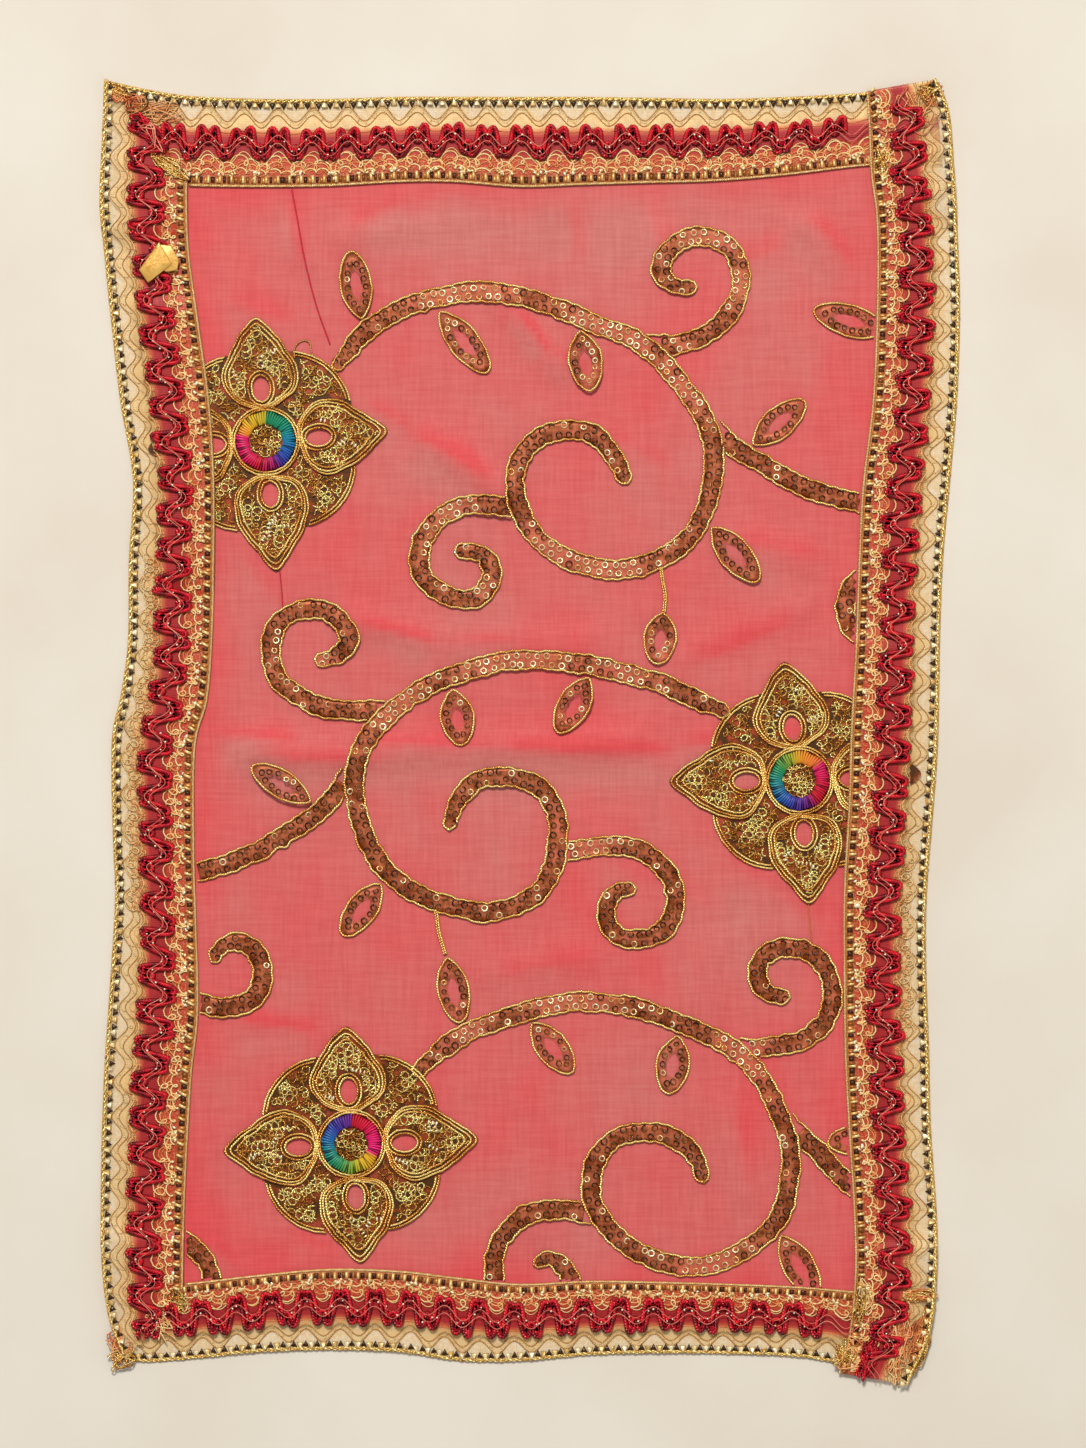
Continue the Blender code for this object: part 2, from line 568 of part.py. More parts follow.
def to_mesh(obj):
    """A curve object made a mesh object of the same name, with its caps welded."""
    name, collection = obj.name, obj.users_collection[0]
    mesh = bpy.data.meshes.new_from_object(obj.evaluated_get(bpy.context.evaluated_depsgraph_get()))
    shape = bmesh.new()
    shape.from_mesh(mesh)
    bmesh.ops.remove_doubles(shape, verts=shape.verts, dist=1e-6)
    bmesh.ops.recalc_face_normals(shape, faces=shape.faces)
    shape.to_mesh(mesh)
    shape.free()
    place = obj.matrix_world.copy()
    bpy.data.objects.remove(obj)
    made = bpy.data.objects.new(name, mesh)
    made.matrix_world = place
    collection.objects.link(made)
    return made


def cut(obj, cutter, operation="DIFFERENCE"):
    """A Boolean of one mesh object with another, which is only a helper."""
    boolean = obj.modifiers.new(operation.lower(), "BOOLEAN")
    boolean.operation = operation
    boolean.object = cutter
    cutter.hide_render = True
    cutter.display_type = "WIRE"


def build_vines(ground, trimmers, parts, helpers):
    """The three vines, their branches cut clear of them, and the ends that come out from under the lace."""
    profile = vine_profile("vine_profile", 0, 0, helpers)
    wide = vine_profile("vine_clearance_profile", SEAM_GAP, 1.5, helpers)
    cutters = {}
    for name, line in VINES.items():
        to_mesh(vine_curve(name, line, profile, ground, parts))
        cutters[name] = to_mesh(vine_curve(name + "_clearance", line, wide, ground, helpers))
    for name, (main, line) in BRANCHES.items():
        branch = to_mesh(vine_curve(name, line, profile, ground, parts))
        cut(branch, cutters[main])
        trim(branch, line, trimmers, VINE_WIDTH)
    for name, line in ENDS.items():
        end = to_mesh(vine_curve(name, line, profile, ground, parts, step=6.0))
        trim(end, line, trimmers, VINE_WIDTH)


def outline_object(name, loops, low, high, finish, collection, turn=0.0, place=(0, 0)):
    """A flat plate between two heights, from closed outlines of which the later ones are holes or other plates."""
    data = bpy.data.curves.new(name, "CURVE")
    data.dimensions = "2D"
    data.fill_mode = "BOTH"
    data.extrude = (high - low) / 2 * MM
    for loop in loops:
        spline = data.splines.new("POLY")
        spline.points.add(len(loop) - 1)
        for point, (x, y) in zip(spline.points, loop):
            point.co = (x * MM, y * MM, 0, 1)
        spline.use_cyclic_u = True
    obj = add_object(name, data, finish, collection)
    obj.location = Vector((*place, (high + low) / 2)) * MM
    obj.rotation_euler.z = turn
    bpy.context.view_layer.update()
    return obj


def ellipse(centre_x, centre_y, half_x, half_y, count):
    """Points round an ellipse, with none on its axes."""
    turns = [math.tau * (k + 0.3) / count for k in range(count)]
    return [(centre_x + half_x * math.cos(a), centre_y + half_y * math.sin(a)) for a in turns]


def leaf_outline(length, width, count=6):
    """A pointed leaf along +X from its base at 0: both sides from one formula."""
    side = []
    for k in range(1, count):
        share = 0.5 - 0.5 * math.cos(math.pi * k / count)
        side.append((length * share, width / 2 * math.sin(math.pi * share**0.85)))
    return [(0, 0), *side, (length, 0), *((x, -y) for x, y in reversed(side))]


def clear_of_vines(leaf):
    """The leaf's base, moved towards its tip until its outline clears every vine."""
    lines = np.vstack([evenly_spaced(line, 2.0) for line in [*VINES.values(), *(b[1] for b in BRANCHES.values())]])
    tip, base = np.array((leaf.tip_x, leaf.tip_y)), np.array((leaf.base_x, leaf.base_y), float)
    while True:
        run = tip - base
        length = np.linalg.norm(run)
        along, side = run / length, np.array((-run[1], run[0])) / length
        rim = np.array([base + x * along + y * side for x, y in leaf_outline(length, leaf.width)])
        least = np.linalg.norm(rim[:, None] - lines[None], axis=2).min()
        if least > VINE_WIDTH / 2 + LEAF_CLEARANCE or length < 12:
            return base, math.atan2(run[1], run[0]), length
        base = base + along * 0.5


def build_leaves(ground, trimmers, parts):
    """Each leaf is a raised rim of cord and sequins round bare net."""
    for number, leaf in enumerate(LEAVES, 1):
        base, turn, length = clear_of_vines(leaf)
        rim = leaf_outline(length, leaf.width)
        opening = [(0.30 * length + 0.42 * x, 0.38 * y) for x, y in leaf_outline(length, leaf.width, 4)]
        world = [(base[0] + x * math.cos(turn) - y * math.sin(turn), base[1] + x * math.sin(turn) + y * math.cos(turn))
                 for x, y in [*rim, (length / 2, 0)]]
        low = max(ground.highest(x, y, 4.0) for x, y in world) + SEAM_GAP
        plate = outline_object(f"leaf_{number:02d}", [rim, opening], low, low + LEAF_WALL, "zari", parts, turn, base)
        trim(to_mesh(plate), world, trimmers, 2.0)


def petal_outline(reach, count=PETAL_POINTS):
    """A large petal along +X, rounded beside the ring and pointed at its tip."""
    start = RING_RADIUS + 0.9
    side = []
    for k in range(1, count):
        share = (0.5 - 0.5 * math.cos(math.pi * k / count)) ** 1.15
        side.append((start + (reach - start) * share, LARGE_PETAL_HALF * math.sin(math.pi * share**0.62) ** 0.92))
    return [(start, 0), *side, (reach, 0), *((x, -y) for x, y in reversed(side))]


def turned(points, angle):
    """Points turned about the origin."""
    c, s = math.cos(angle), math.sin(angle)
    return [(x * c - y * s, x * s + y * c) for x, y in points]


def build_trimmers(name, across, helpers):
    """For each side, a prism over all that lies outwards of this line along its lace."""
    trimmers = {}
    for side, lace in LACES.items():
        line = [tuple(point) for point in lace.edge(across)[::TRIM_STRIDE]]
        out_x, out_y = OUTWARDS[side]
        loop = line + [(x + out_x, y + out_y) for x, y in reversed(line)]
        trimmer = to_mesh(outline_object(f"{name}_{side}", [loop], -1.0, TRIM_HEIGHT, "net", helpers))
        trimmer.hide_render = True
        trimmers[side] = trimmer
    return trimmers


def trim(obj, points, trimmers, reach):
    """Cuts an object where any of its points is within reach of the lace on a side."""
    for side, trimmer in trimmers.items():
        if any(from_sides(x, y)[side] < reach for x, y in points):
            cut(obj, trimmer)


def build_flower(flower, ground, trimmers, parts, helpers):
    """A flower of four small petals under four large ones, open at the middle and at each petal's eye."""
    place = (flower.x, flower.y)
    low = ground.highest(*place, 64.0) + SEAM_GAP
    tips = [(math.hypot(x, y), math.atan2(y, x)) for x, y in flower[3:]]
    tilt = math.atan2(flower.east[1] - flower.west[1], flower.east[0] - flower.west[0])
    lobes = []
    for k in range(LOBE_POINTS):
        angle = math.tau * (k + 0.5) / LOBE_POINTS
        reach = SMALL_PETAL_ROOT + (SMALL_PETAL_REACH - SMALL_PETAL_ROOT) * abs(math.sin(2 * angle)) ** 0.55
        lobes.append((reach * math.cos(angle), reach * math.sin(angle)))
    middle = ellipse(0, 0, RING_RADIUS + 0.5, RING_RADIUS + 0.5, 18)
    small = outline_object(flower.name, [lobes, middle], low, low + SMALL_PETAL_WALL, "zari", parts, tilt, place)
    petals = [turned(petal_outline(reach), angle) for reach, angle in tips]
    large = outline_object(flower.name + "_petals", petals, low + 0.1, low + LARGE_PETAL_WALL, "zari", helpers, 0, place)
    distance, along, across = PETAL_EYE
    eyes = [turned(ellipse(distance, 0, along, across, EYE_POINTS), angle) for _, angle in tips]
    holes = outline_object(flower.name + "_eyes", eyes, low - 1, low + 3, "zari", helpers, 0, place)
    body = to_mesh(small)
    cut(body, to_mesh(large), "UNION")
    cut(body, to_mesh(holes))
    trim(body, [place], trimmers, min(reach for reach, _ in tips))
    build_ring(flower, low, parts)


def build_ring(flower, low, parts):
    """The thread-wound ring and the stitched disc inside it, turned about the flower's centre."""
    profile = [(0, 0.8), (8.3, 0.8), (9.4, 2.2), (11.7, RING_HEIGHT), (14.0, 2.2), (RING_RADIUS, 0.9), (14.5, 0), (0, 0)]
    mesh = bpy.data.meshes.new(flower.name + "_ring")
    mesh.from_pydata([Vector((r, 0, z)) * MM for r, z in profile], [(k, k + 1) for k in range(len(profile) - 1)], [])
    ring = add_object(flower.name + "_ring", mesh, "ring", parts)
    ring.location = Vector((flower.x, flower.y, low)) * MM
    screw = ring.modifiers.new("turn", "SCREW")
    screw.steps = screw.render_steps = 18
    screw.use_merge_vertices = True
    screw.merge_threshold = 1e-5
    screw.use_smooth_shade = True


def build_stems(ground, parts):
    """Short bare cords that carry a leaf."""
    for name, line in STEMS.items():
        data = bpy.data.curves.new(name, "CURVE")
        data.dimensions = "3D"
        data.bevel_depth = STEM_RADIUS * MM
        data.bevel_resolution = 1
        data.use_fill_caps = True
        spline = data.splines.new("POLY")
        spline.points.add(len(line) - 1)
        for point, (x, y) in zip(spline.points, line):
            height = ground.highest(x, y, 5.0) + SEAM_GAP + STEM_RADIUS
            point.co = (x * MM, y * MM, height * MM, 1)
        add_object(name, data, "zari", parts)


def build_tab(parts, helpers):
    """A small tab of gold foil, folded over on itself and lying on the left braid."""
    lace = LACES["left"]
    rest = max(lace.underside(wave, 0.5) for wave in range(3, 7)) + LACE_WALL + BRAID_WALL + 2 * SEAM_GAP
    flap = outline_object("gold_tab_flap", [TAB_FLAP], rest, rest + 0.6, "foil", helpers)
    face = outline_object("gold_tab", [TAB_FACE], rest + 0.55, rest + 1.6, "foil", parts)
    cut(to_mesh(face), to_mesh(flap), "UNION")


def main():
    for obj in list(bpy.data.objects):
        bpy.data.objects.remove(obj)
    parts = bpy.data.collections.new("dupatta_stole")
    helpers = bpy.data.collections.new("cutters")
    for collection in (parts, helpers):
        bpy.context.scene.collection.children.link(collection)
    net = build_net(parts)
    ground = Ground(net)
    for lace in LACES.values():
        build_lace(lace, parts)
    build_braid(LACES["left"], "braid_left", 0, LACES["left"].waves, parts)
    build_braid(LACES["right"], "braid_right", 0, LACES["right"].waves, parts)
    build_braid(LACES["top"], "braid_top", 3, LACES["top"].waves - 3, parts)
    build_braid(LACES["bottom"], "braid_bottom", 3, LACES["bottom"].waves - 3, parts)
    at_lace = build_trimmers("lace_clearance", 1.01, helpers)
    build_vines(ground, at_lace, parts, helpers)
    build_leaves(ground, at_lace, parts)
    at_net_edge = build_trimmers("net_edge", NET_EDGE + 0.02, helpers)
    for flower in FLOWERS:
        build_flower(flower, ground, at_net_edge, parts, helpers)
    build_stems(ground, parts)
    build_tab(parts, helpers)


main()
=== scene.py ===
"""Looks of a dupatta stole laid flat: sheer net, corded and sequined vines, and a knitted zari lace border.

The stole lies on the plane z = 0 with its length along Y. Tables and paths are in millimetres, and meshes
in metres.
"""

import logging
import math
from collections import namedtuple
from dataclasses import dataclass, field
from enum import Enum
from typing import Sequence

import bpy
import numpy as np
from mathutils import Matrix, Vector, noise


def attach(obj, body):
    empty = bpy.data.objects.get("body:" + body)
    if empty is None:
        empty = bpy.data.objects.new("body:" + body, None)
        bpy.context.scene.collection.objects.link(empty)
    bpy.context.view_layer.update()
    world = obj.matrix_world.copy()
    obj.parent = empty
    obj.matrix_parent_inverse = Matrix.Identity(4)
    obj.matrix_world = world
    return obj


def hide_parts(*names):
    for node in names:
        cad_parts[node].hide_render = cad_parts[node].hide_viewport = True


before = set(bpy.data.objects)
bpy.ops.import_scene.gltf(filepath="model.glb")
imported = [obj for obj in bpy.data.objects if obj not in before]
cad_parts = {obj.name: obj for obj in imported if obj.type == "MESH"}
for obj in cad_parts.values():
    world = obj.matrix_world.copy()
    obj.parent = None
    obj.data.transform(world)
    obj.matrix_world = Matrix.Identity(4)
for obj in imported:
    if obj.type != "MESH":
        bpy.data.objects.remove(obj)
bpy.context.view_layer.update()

log = logging.getLogger("dupatta_stole")

Line = np.ndarray  # points of a path, a row each, or a number for each of them
Dice = np.random.RandomState
Place = tuple[float, float]
Spot = tuple[float, float, float]
Colour = tuple[float, float, float]  # red, green and blue, each from 0 to 255
Stops = tuple[tuple[float, Colour], ...]
Socket = bpy.types.NodeSocket
Material = bpy.types.Material
Mesh = bpy.types.Mesh
Piece = bpy.types.Object

MM = 0.001
BODY = "root"
SEED = 20

# Sizes shared with the frame, in millimetres.
NET_WALL = 1.0
LACE_WALL = 1.0
SEAM_GAP = 0.3
LACE_PITCH = 17.7
VINE_WIDTH = 10.4
VINE_STEP, VINE_END_STEP = 11.0, 6.0
LARGE_PETAL_WALL = 1.4
RING_RADIUS = 15.0
FOLD_CLEAR, FOLD_FULL = 12.0, 28.0  # folds grow between these distances from the lace
FLOWER_FLAT, FLOWER_FREE = 64.0, 96.0  # and between these distances from a flower's centre
LEAST_FOLD_WIDTH = 9.0
CORNER_MARGIN, CORNER_RAMP = 18.0, 14.0
LARGE_PETAL_HALF = 19.3
SMALL_PETAL_REACH, SMALL_PETAL_ROOT = 49.5, 37.0
EYE_DISTANCE, EYE_ALONG, EYE_ACROSS = 26.5, 6.4, 4.3  # a large petal's opening: its middle and half sizes
LEAF_CLEARANCE = 1.1
SEQUIN_RIM, SEQUIN_CUP = 0.68, 0.3  # the width of a sequin's rim, and its slant in radians
FOIL_TOP = 0.9
COVERED_BY_LEFT = (80.3, 210.3)  # the stretches of Y where a side lace rides over a flower
COVERED_BY_RIGHT = (-89.2, 40.8)

# Places across a lace, from 0 at its outer edge to 1 at its inner edge.
RAMP_FOOT, RAMP_HEAD = 0.27, 0.33  # it lies on the ground up to the first and on the net from the second
NET_EDGE = 0.345

# What the camera sees: its middle on the plane, its height over it and the depth of its frame.
VIEW_X, VIEW_Y, VIEW_HEIGHT, VIEW_DEPTH = 6.5, 4.0, 2400.0, 724.0
SENSOR = 24.0

# One cross line of a lace: where it meets the outer and inner edges, and how far the outer edge curls up.
Section = namedtuple("Section", "outer_x outer_y inner_x inner_y curl")
TOP_LACE = [
    Section(-212.5, 326.0, -211.5, 280.0, 0.0),
    Section(-192.5, 321.5, -192.5, 274.0, 0.0),
    Section(-170.0, 318.0, -170.0, 272.5, 0.3),
    Section(-135.0, 316.5, -135.0, 272.0, 0.6),
    Section(-100.0, 316.5, -100.0, 272.5, 0.2),
    Section(-65.0, 317.5, -65.0, 274.5, 0.5),
    Section(-35.0, 317.5, -37.5, 274.5, 0.8),
    Section(-5.0, 317.5, -5.0, 272.0, 0.2),
    Section(25.0, 317.5, 25.0, 273.0, 0.4),
    Section(60.0, 317.0, 57.5, 274.0, 0.7),
    Section(95.0, 316.5, 92.5, 275.0, 0.3),
    Section(130.0, 317.5, 127.5, 278.0, 0.5),
    Section(165.0, 319.5, 165.0, 282.5, 0.2),
    Section(187.5, 322.5, 187.5, 283.5, 0.0),
    Section(202.5, 326.0, 206.0, 283.5, 0.0),
]
BOTTOM_LACE = [
    Section(-206.0, -314.0, -209.0, -279.0, 0.0),
    Section(-190.0, -315.0, -190.0, -277.0, 0.0),
    Section(-165.0, -313.0, -165.0, -274.5, 0.3),
    Section(-135.0, -310.0, -135.0, -271.0, 0.8),
    Section(-100.0, -309.0, -100.0, -268.0, 0.4),
    Section(-65.0, -310.0, -65.0, -269.0, 0.9),
    Section(-35.0, -314.5, -35.0, -272.5, 0.3),
    Section(-5.0, -314.5, -5.0, -275.5, 0.6),
    Section(30.0, -311.5, 30.0, -274.0, 0.3),
    Section(65.0, -310.5, 65.0, -274.5, 0.7),
    Section(100.0, -311.0, 100.0, -275.5, 0.2),
    Section(135.0, -312.5, 135.0, -277.0, 0.5),
    Section(165.0, -318.0, 165.0, -279.5, 0.0),
    Section(190.0, -322.5, 194.0, -281.5, 0.0),
]
LEFT_LACE = [
    Section(-212.5, 326.0, -170.0, 317.5, 2.6),
    Section(-213.5, 301.0, -170.5, 296.0, 1.0),
    Section(-215.0, 266.0, -171.0, 266.0, 0.8),
    Section(-213.0, 241.0, -170.0, 238.5, 1.4),
    Section(-209.5, 206.0, -165.5, 206.0, 0.6),
    Section(-205.0, 166.0, -160.0, 166.0, 0.3),
    Section(-198.5, 126.0, -157.5, 126.0, 0.9),
    Section(-200.5, 86.0, -157.5, 86.0, 1.2),
    Section(-201.0, 46.0, -158.5, 46.0, 0.4),
    Section(-204.5, 18.5, -161.0, 16.0, 1.5),
    Section(-209.0, -5.0, -167.0, -8.0, 1.8),
    Section(-208.5, -54.0, -167.5, -59.0, 0.7),
    Section(-207.5, -84.0, -166.5, -94.0, 0.5),
    Section(-210.5, -134.0, -165.5, -139.0, 1.1),
    Section(-213.0, -174.0, -169.0, -174.0, 1.5),
    Section(-214.5, -224.0, -172.0, -229.0, 1.0),
    Section(-214.0, -264.0, -173.0, -269.0, 0.8),
    Section(-210.0, -294.0, -173.0, -299.0, 0.6),
    Section(-200.0, -318.0, -170.0, -314.0, 1.0),
]
RIGHT_LACE = [
    Section(202.5, 326.0, 168.0, 320.0, 2.6),
    Section(209.0, 311.0, 169.0, 301.0, 1.8),
    Section(211.5, 286.0, 170.0, 278.5, 0.9),
    Section(213.5, 256.0, 173.0, 253.5, 0.6),
    Section(215.0, 211.0, 173.0, 211.0, 0.3),
    Section(213.5, 166.0, 171.0, 166.0, 0.5),
    Section(210.0, 126.0, 166.0, 123.5, 0.9),
    Section(206.5, 86.0, 164.0, 86.0, 0.4),
    Section(205.0, 46.0, 162.5, 46.0, 0.3),
    Section(204.0, -4.0, 160.0, 1.0, 0.8),
    Section(201.5, -39.0, 159.0, -34.0, 1.1),
    Section(198.5, -79.0, 156.5, -79.0, 0.5),
    Section(198.0, -114.0, 156.5, -114.0, 0.3),
    Section(199.5, -159.0, 157.0, -159.0, 0.6),
    Section(200.5, -199.0, 159.0, -199.0, 0.4),
    Section(203.5, -244.0, 161.5, -239.0, 0.7),
    Section(203.0, -274.0, 162.0, -271.5, 0.9),
    Section(200.0, -299.0, 159.0, -301.5, 1.4),
    Section(188.5, -326.0, 154.0, -320.0, 1.6),
]

# A fold of the net: a soft ridge from one end to the other.
Fold = namedtuple("Fold", "start_x start_y end_x end_y height width")
FOLDS = [
    Fold(-168, -7, -95, -11, 2.4, 7.0),
    Fold(-95, -11, 20, -6, 2.0, 8.0),
    Fold(20, -6, 160, 0, 2.3, 8.0),
    Fold(-118, 262, -112, 236, 1.2, 5.0),
    Fold(-112, 236, -98, 196, 0.8, 5.0),
    Fold(-92, 250, -25, 266, 1.7, 9.0),
    Fold(-12, 214, 14, 184, 1.8, 7.0),
    Fold(-70, 156, -14, 122, 2.0, 8.0),
    Fold(60, 266, 66, 232, 1.2, 9.0),
    Fold(128, 266, 164, 226, 1.8, 9.0),
    Fold(-88, 56, -40, 44, 1.6, 8.0),
    Fold(-40, 44, 34, 46, 1.1, 9.0),
    Fold(76, 34, 134, 60, 1.7, 9.0),
    Fold(100, 96, 150, 84, 1.2, 9.0),
    Fold(-150, -142, -104, -150, 1.5, 8.0),
    Fold(-164, -250, -146, -266, 1.6, 8.0),
    Fold(-20, -120, 30, -112, 1.0, 9.0),
    Fold(88, -132, 96, -104, 1.0, 9.0),
    Fold(-18, -200, 4, -262, 1.2, 9.0),
    Fold(96, -190, 110, -232, 0.9, 9.0),
]

# A flower: its centre, and where the tip of each large petal is from there.
Flower = namedtuple("Flower", "name x y east north west south")
FLOWERS = [
    Flower("flower_upper", -132.0, 145.3, (62.0, 5.0), (-5.5, 64.0), (-60.0, -4.0), (5.7, -66.0)),
    Flower("flower_middle", 134.6, -24.2, (62.0, 3.0), (-8.0, 61.0), (-66.4, -0.6), (5.5, -63.0)),
    Flower("flower_lower", -89.2, -205.7, (64.7, 1.7), (-3.3, 60.5), (-65.5, -3.6), (5.0, -60.8)),
]

# The centre lines of the corded vines. A branch names the vine that it springs from.
VINES = {
    "vine_upper": [
        (-94, 186), (-82, 200), (-63, 212), (-45, 217.3), (-28, 219.8), (-15, 219.3), (1.7, 216),
        (18.3, 210), (35, 203), (51.7, 196.5), (66.7, 184.5), (78.3, 170), (86.7, 157.5), (91.7, 142.5),
        (91.3, 124.5), (86.7, 109.3), (78.3, 96), (65, 86.8), (50, 81.8), (35, 81.8), (18.3, 86.8),
        (3.3, 97.5), (-5, 111), (-7.5, 124.3), (-4.2, 137.5), (5, 147.5), (18.3, 151), (31.7, 148.5),
        (40.8, 139.5), (49, 124.3),
    ],
    "vine_middle": [
        (91, 13), (78.5, 18.5), (65, 24.5), (51.5, 28.5), (35, 32.5), (18.5, 35), (1.5, 36), (-15, 35),
        (-36.5, 28.8), (-50, 23.5), (-63.5, 15), (-75, 4.5), (-83.5, -7.5), (-87.5, -20.5), (-87, -34),
        (-84, -47.5), (-78.5, -60.5), (-68.5, -72.5), (-55, -81.5), (-38.5, -87.5), (-21.5, -90),
        (-6.5, -86.5), (5, -79), (11.5, -67.5), (14, -52), (12.5, -39), (6, -29), (-3.5, -23.5),
        (-13.5, -22), (-25, -24), (-34.5, -32), (-39, -42.5), (-40.5, -49),
    ],
    "vine_lower": [
        (-53.5, -167.5), (-43.5, -158), (-31.5, -150.5), (-13.5, -143.5), (3.5, -138), (20, -135),
        (36.5, -135.3), (53.5, -138), (70, -143.5), (86.5, -150.5), (101.5, -158), (112.5, -169),
        (120, -180.5), (126.5, -195.5), (130.3, -210.5), (129.5, -224), (126, -239), (118.5, -250),
        (106.5, -259), (93.5, -265), (78.5, -267), (63.5, -264), (50, -257.5), (38.5, -246.5), (31.5, -234),
        (31, -220.5), (35, -210.5), (43.5, -202.5), (56.5, -200), (68.5, -201.5), (78.5, -207.5),
        (85, -217.5), (87, -225),
    ],
}
BRANCHES = {
    "vine_upper_hook": ("vine_upper", [
        (54, 194), (71.5, 193.5), (85, 197), (96.5, 205), (103.5, 216), (105.5, 227), (102.5, 238.5),
        (94, 246), (83.5, 247.5), (73.5, 244.5), (66.5, 237), (66.5, 228.5), (73.5, 222.5), (83.5, 222.5),
    ]),
    "vine_upper_curl": ("vine_upper", [
        (-4, 112), (-12, 112.5), (-30, 113.5), (-46.5, 106), (-55, 91), (-53.5, 77.5), (-40, 67.5),
        (-26.5, 67.5), (-19, 77.5), (-21.5, 87), (-30, 90.5), (-37.5, 89.5),
    ]),
    "vine_upper_branch": ("vine_upper", [
        (92, 153), (101.5, 142.5), (115, 134.5), (130, 126), (145, 119.5), (164, 114.5), (186, 109),
    ]),
    "vine_middle_hook": ("vine_middle", [
        (-70, 11), (-76.5, 11), (-90, 11), (-103.5, 12.5), (-116.5, 18.5), (-126.5, 27.5), (-129.5, 41),
        (-127, 52), (-119, 59.5), (-108.5, 61.5), (-98.5, 58.5), (-91.5, 51), (-91, 43.5), (-98.5, 37),
        (-107.5, 36),
    ]),
    "vine_middle_curl": ("vine_middle", [
        (12, -59.5), (21, -59), (35, -57), (50, -57.5), (61, -62.5), (70, -72.5), (73, -85.5),
        (68.5, -97.5), (58.5, -103), (46.5, -102.5), (39, -95.5), (39, -85.5), (44, -79.5), (53, -78),
    ]),
    "vine_middle_branch": ("vine_middle", [
        (-90, -20), (-95, -28), (-101, -36), (-111.5, -44.5), (-125, -53), (-138.5, -60.5), (-151.5, -66),
        (-163.5, -69), (-186, -74),
    ]),
    "vine_lower_hook": ("vine_lower", [
        (98, -157), (108.5, -158), (120, -157), (133.5, -155), (145, -147.5), (151, -135.5), (150, -124),
        (145, -114), (136.5, -109), (125, -108), (116, -113), (114, -121.5), (118.5, -130), (130, -132.5),
    ]),
    "vine_lower_branch": ("vine_lower", [
        (128, -194), (134, -200.5), (143.5, -209), (151.5, -218), (160, -226), (178, -241),
    ]),
    "vine_lower_curl": ("vine_lower", [
        (36, -241), (28.5, -240.5), (18.5, -239), (5, -239), (-5, -243), (-13.5, -252), (-17.5, -262),
        (-18, -272.5), (-18, -292),
    ]),
}
# Vines that come out from under the lace.
ENDS = {
    "vine_end_left": [
        (-180, -131), (-165, -135), (-155, -137.5), (-145, -136.5), (-136.5, -130.5), (-133.5, -120.5),
        (-136.5, -110.5), (-145, -105), (-153.5, -107), (-159, -115),
    ],
    "vine_end_right": [(178, 83), (163, 75), (158, 67), (158, 58), (162, 50), (176, 40)],
    "vine_end_base": [(26, -290), (20, -273), (15.5, -266), (9, -263), (2, -266.5)],
    "vine_end_corner": [(-192, -247), (-173, -255), (-165, -260), (-160, -268), (-156, -290)],
}

# Where each vine starts at the rim of its flower, and each stem at its vine.
VINE_ROOTS = {"vine_upper": (-98.5, 181.5), "vine_middle": (100.0, 9.5), "vine_lower": (-58.0, -171.5)}
STEM_ROOTS = {"stem_upper": (65.5, 81.5), "stem_middle": (-47.5, -89.0)}
# A leaf: its base beside the vine, its tip and its width.
Leaf = namedtuple("Leaf", "base_x base_y tip_x tip_y width")
LEAVES = [
    Leaf(-84, 205, -89.5, 240, 15.5),
    Leaf(-45, 210, -21, 180, 15.0),
    Leaf(25, 202, 30, 170.5, 16.5),
    Leaf(111, 143, 137, 165.5, 15.0),
    Leaf(91, 102, 114, 75.5, 15.5),
    Leaf(66.5, 59.5, 63.5, 34, 16.0),
    Leaf(178, 200, 142, 211, 15.5),
    Leaf(-39, 24, -34, -6.5, 16.5),
    Leaf(29.5, 27, 14, 0, 15.5),
    Leaf(-107.5, -36, -138.5, -17.3, 13.5),
    Leaf(-72.5, -73, -93.5, -101.5, 15.0),
    Leaf(-41.3, -113, -35, -145, 15.5),
    Leaf(1, -145, 21, -170, 15.5),
    Leaf(74, -150.5, 69, -180.5, 16.5),
    Leaf(125, -251, 143.5, -282, 15.5),
    Leaf(172, -203, 149, -205, 14.0),
]
# Bare cord stems that carry two of the leaves.
STEMS = {
    "stem_upper": [(66.5, 74.5), (67.6, 68), (67, 60)],
    "stem_middle": [(-46.5, -92), (-45.5, -100), (-42.3, -111)],
}
# The outlines of the foil tab's face and of the flap folded under it.
TAB_FACE = [(-195.0, 230.5), (-185.0, 244.5), (-178.5, 233.5), (-190.5, 224.0)]
TAB_FLAP = [
    (-188.0, 232.0), (-184.6, 243.2), (-179.0, 242.6), (-175.0, 235.5), (-176.0, 230.5), (-181.0, 229.5),
]


# ---------------------------------------------------------------- lines and outlines


def smoothstep(low: float, high: float, value: Line) -> Line:
    """0 up to low, 1 from high, and an S curve between."""
    t = np.clip((np.asarray(value, float) - low) / (high - low), 0, 1)
    return t * t * (3 - 2 * t)


def around(count: int) -> Line:
    """Angles evenly spaced round a turn."""
    return np.linspace(0, math.tau, count, endpoint=False)


def ellipse(turn: Line, along: Line, across: Line) -> Line:
    """Flat points round the origin at these angles, from an ellipse's half sizes or each point's own."""
    return np.stack([along * np.cos(turn), across * np.sin(turn)], axis=1)


def raised(points: Line, height: Line) -> Line:
    """Points with one more column, such as their height: one number, or one for each point."""
    return np.column_stack([points, np.broadcast_to(height, len(points))])


def looped(outline: Line) -> Line:
    """An outline with its first point again at its end."""
    return np.vstack([outline, outline[:1]])


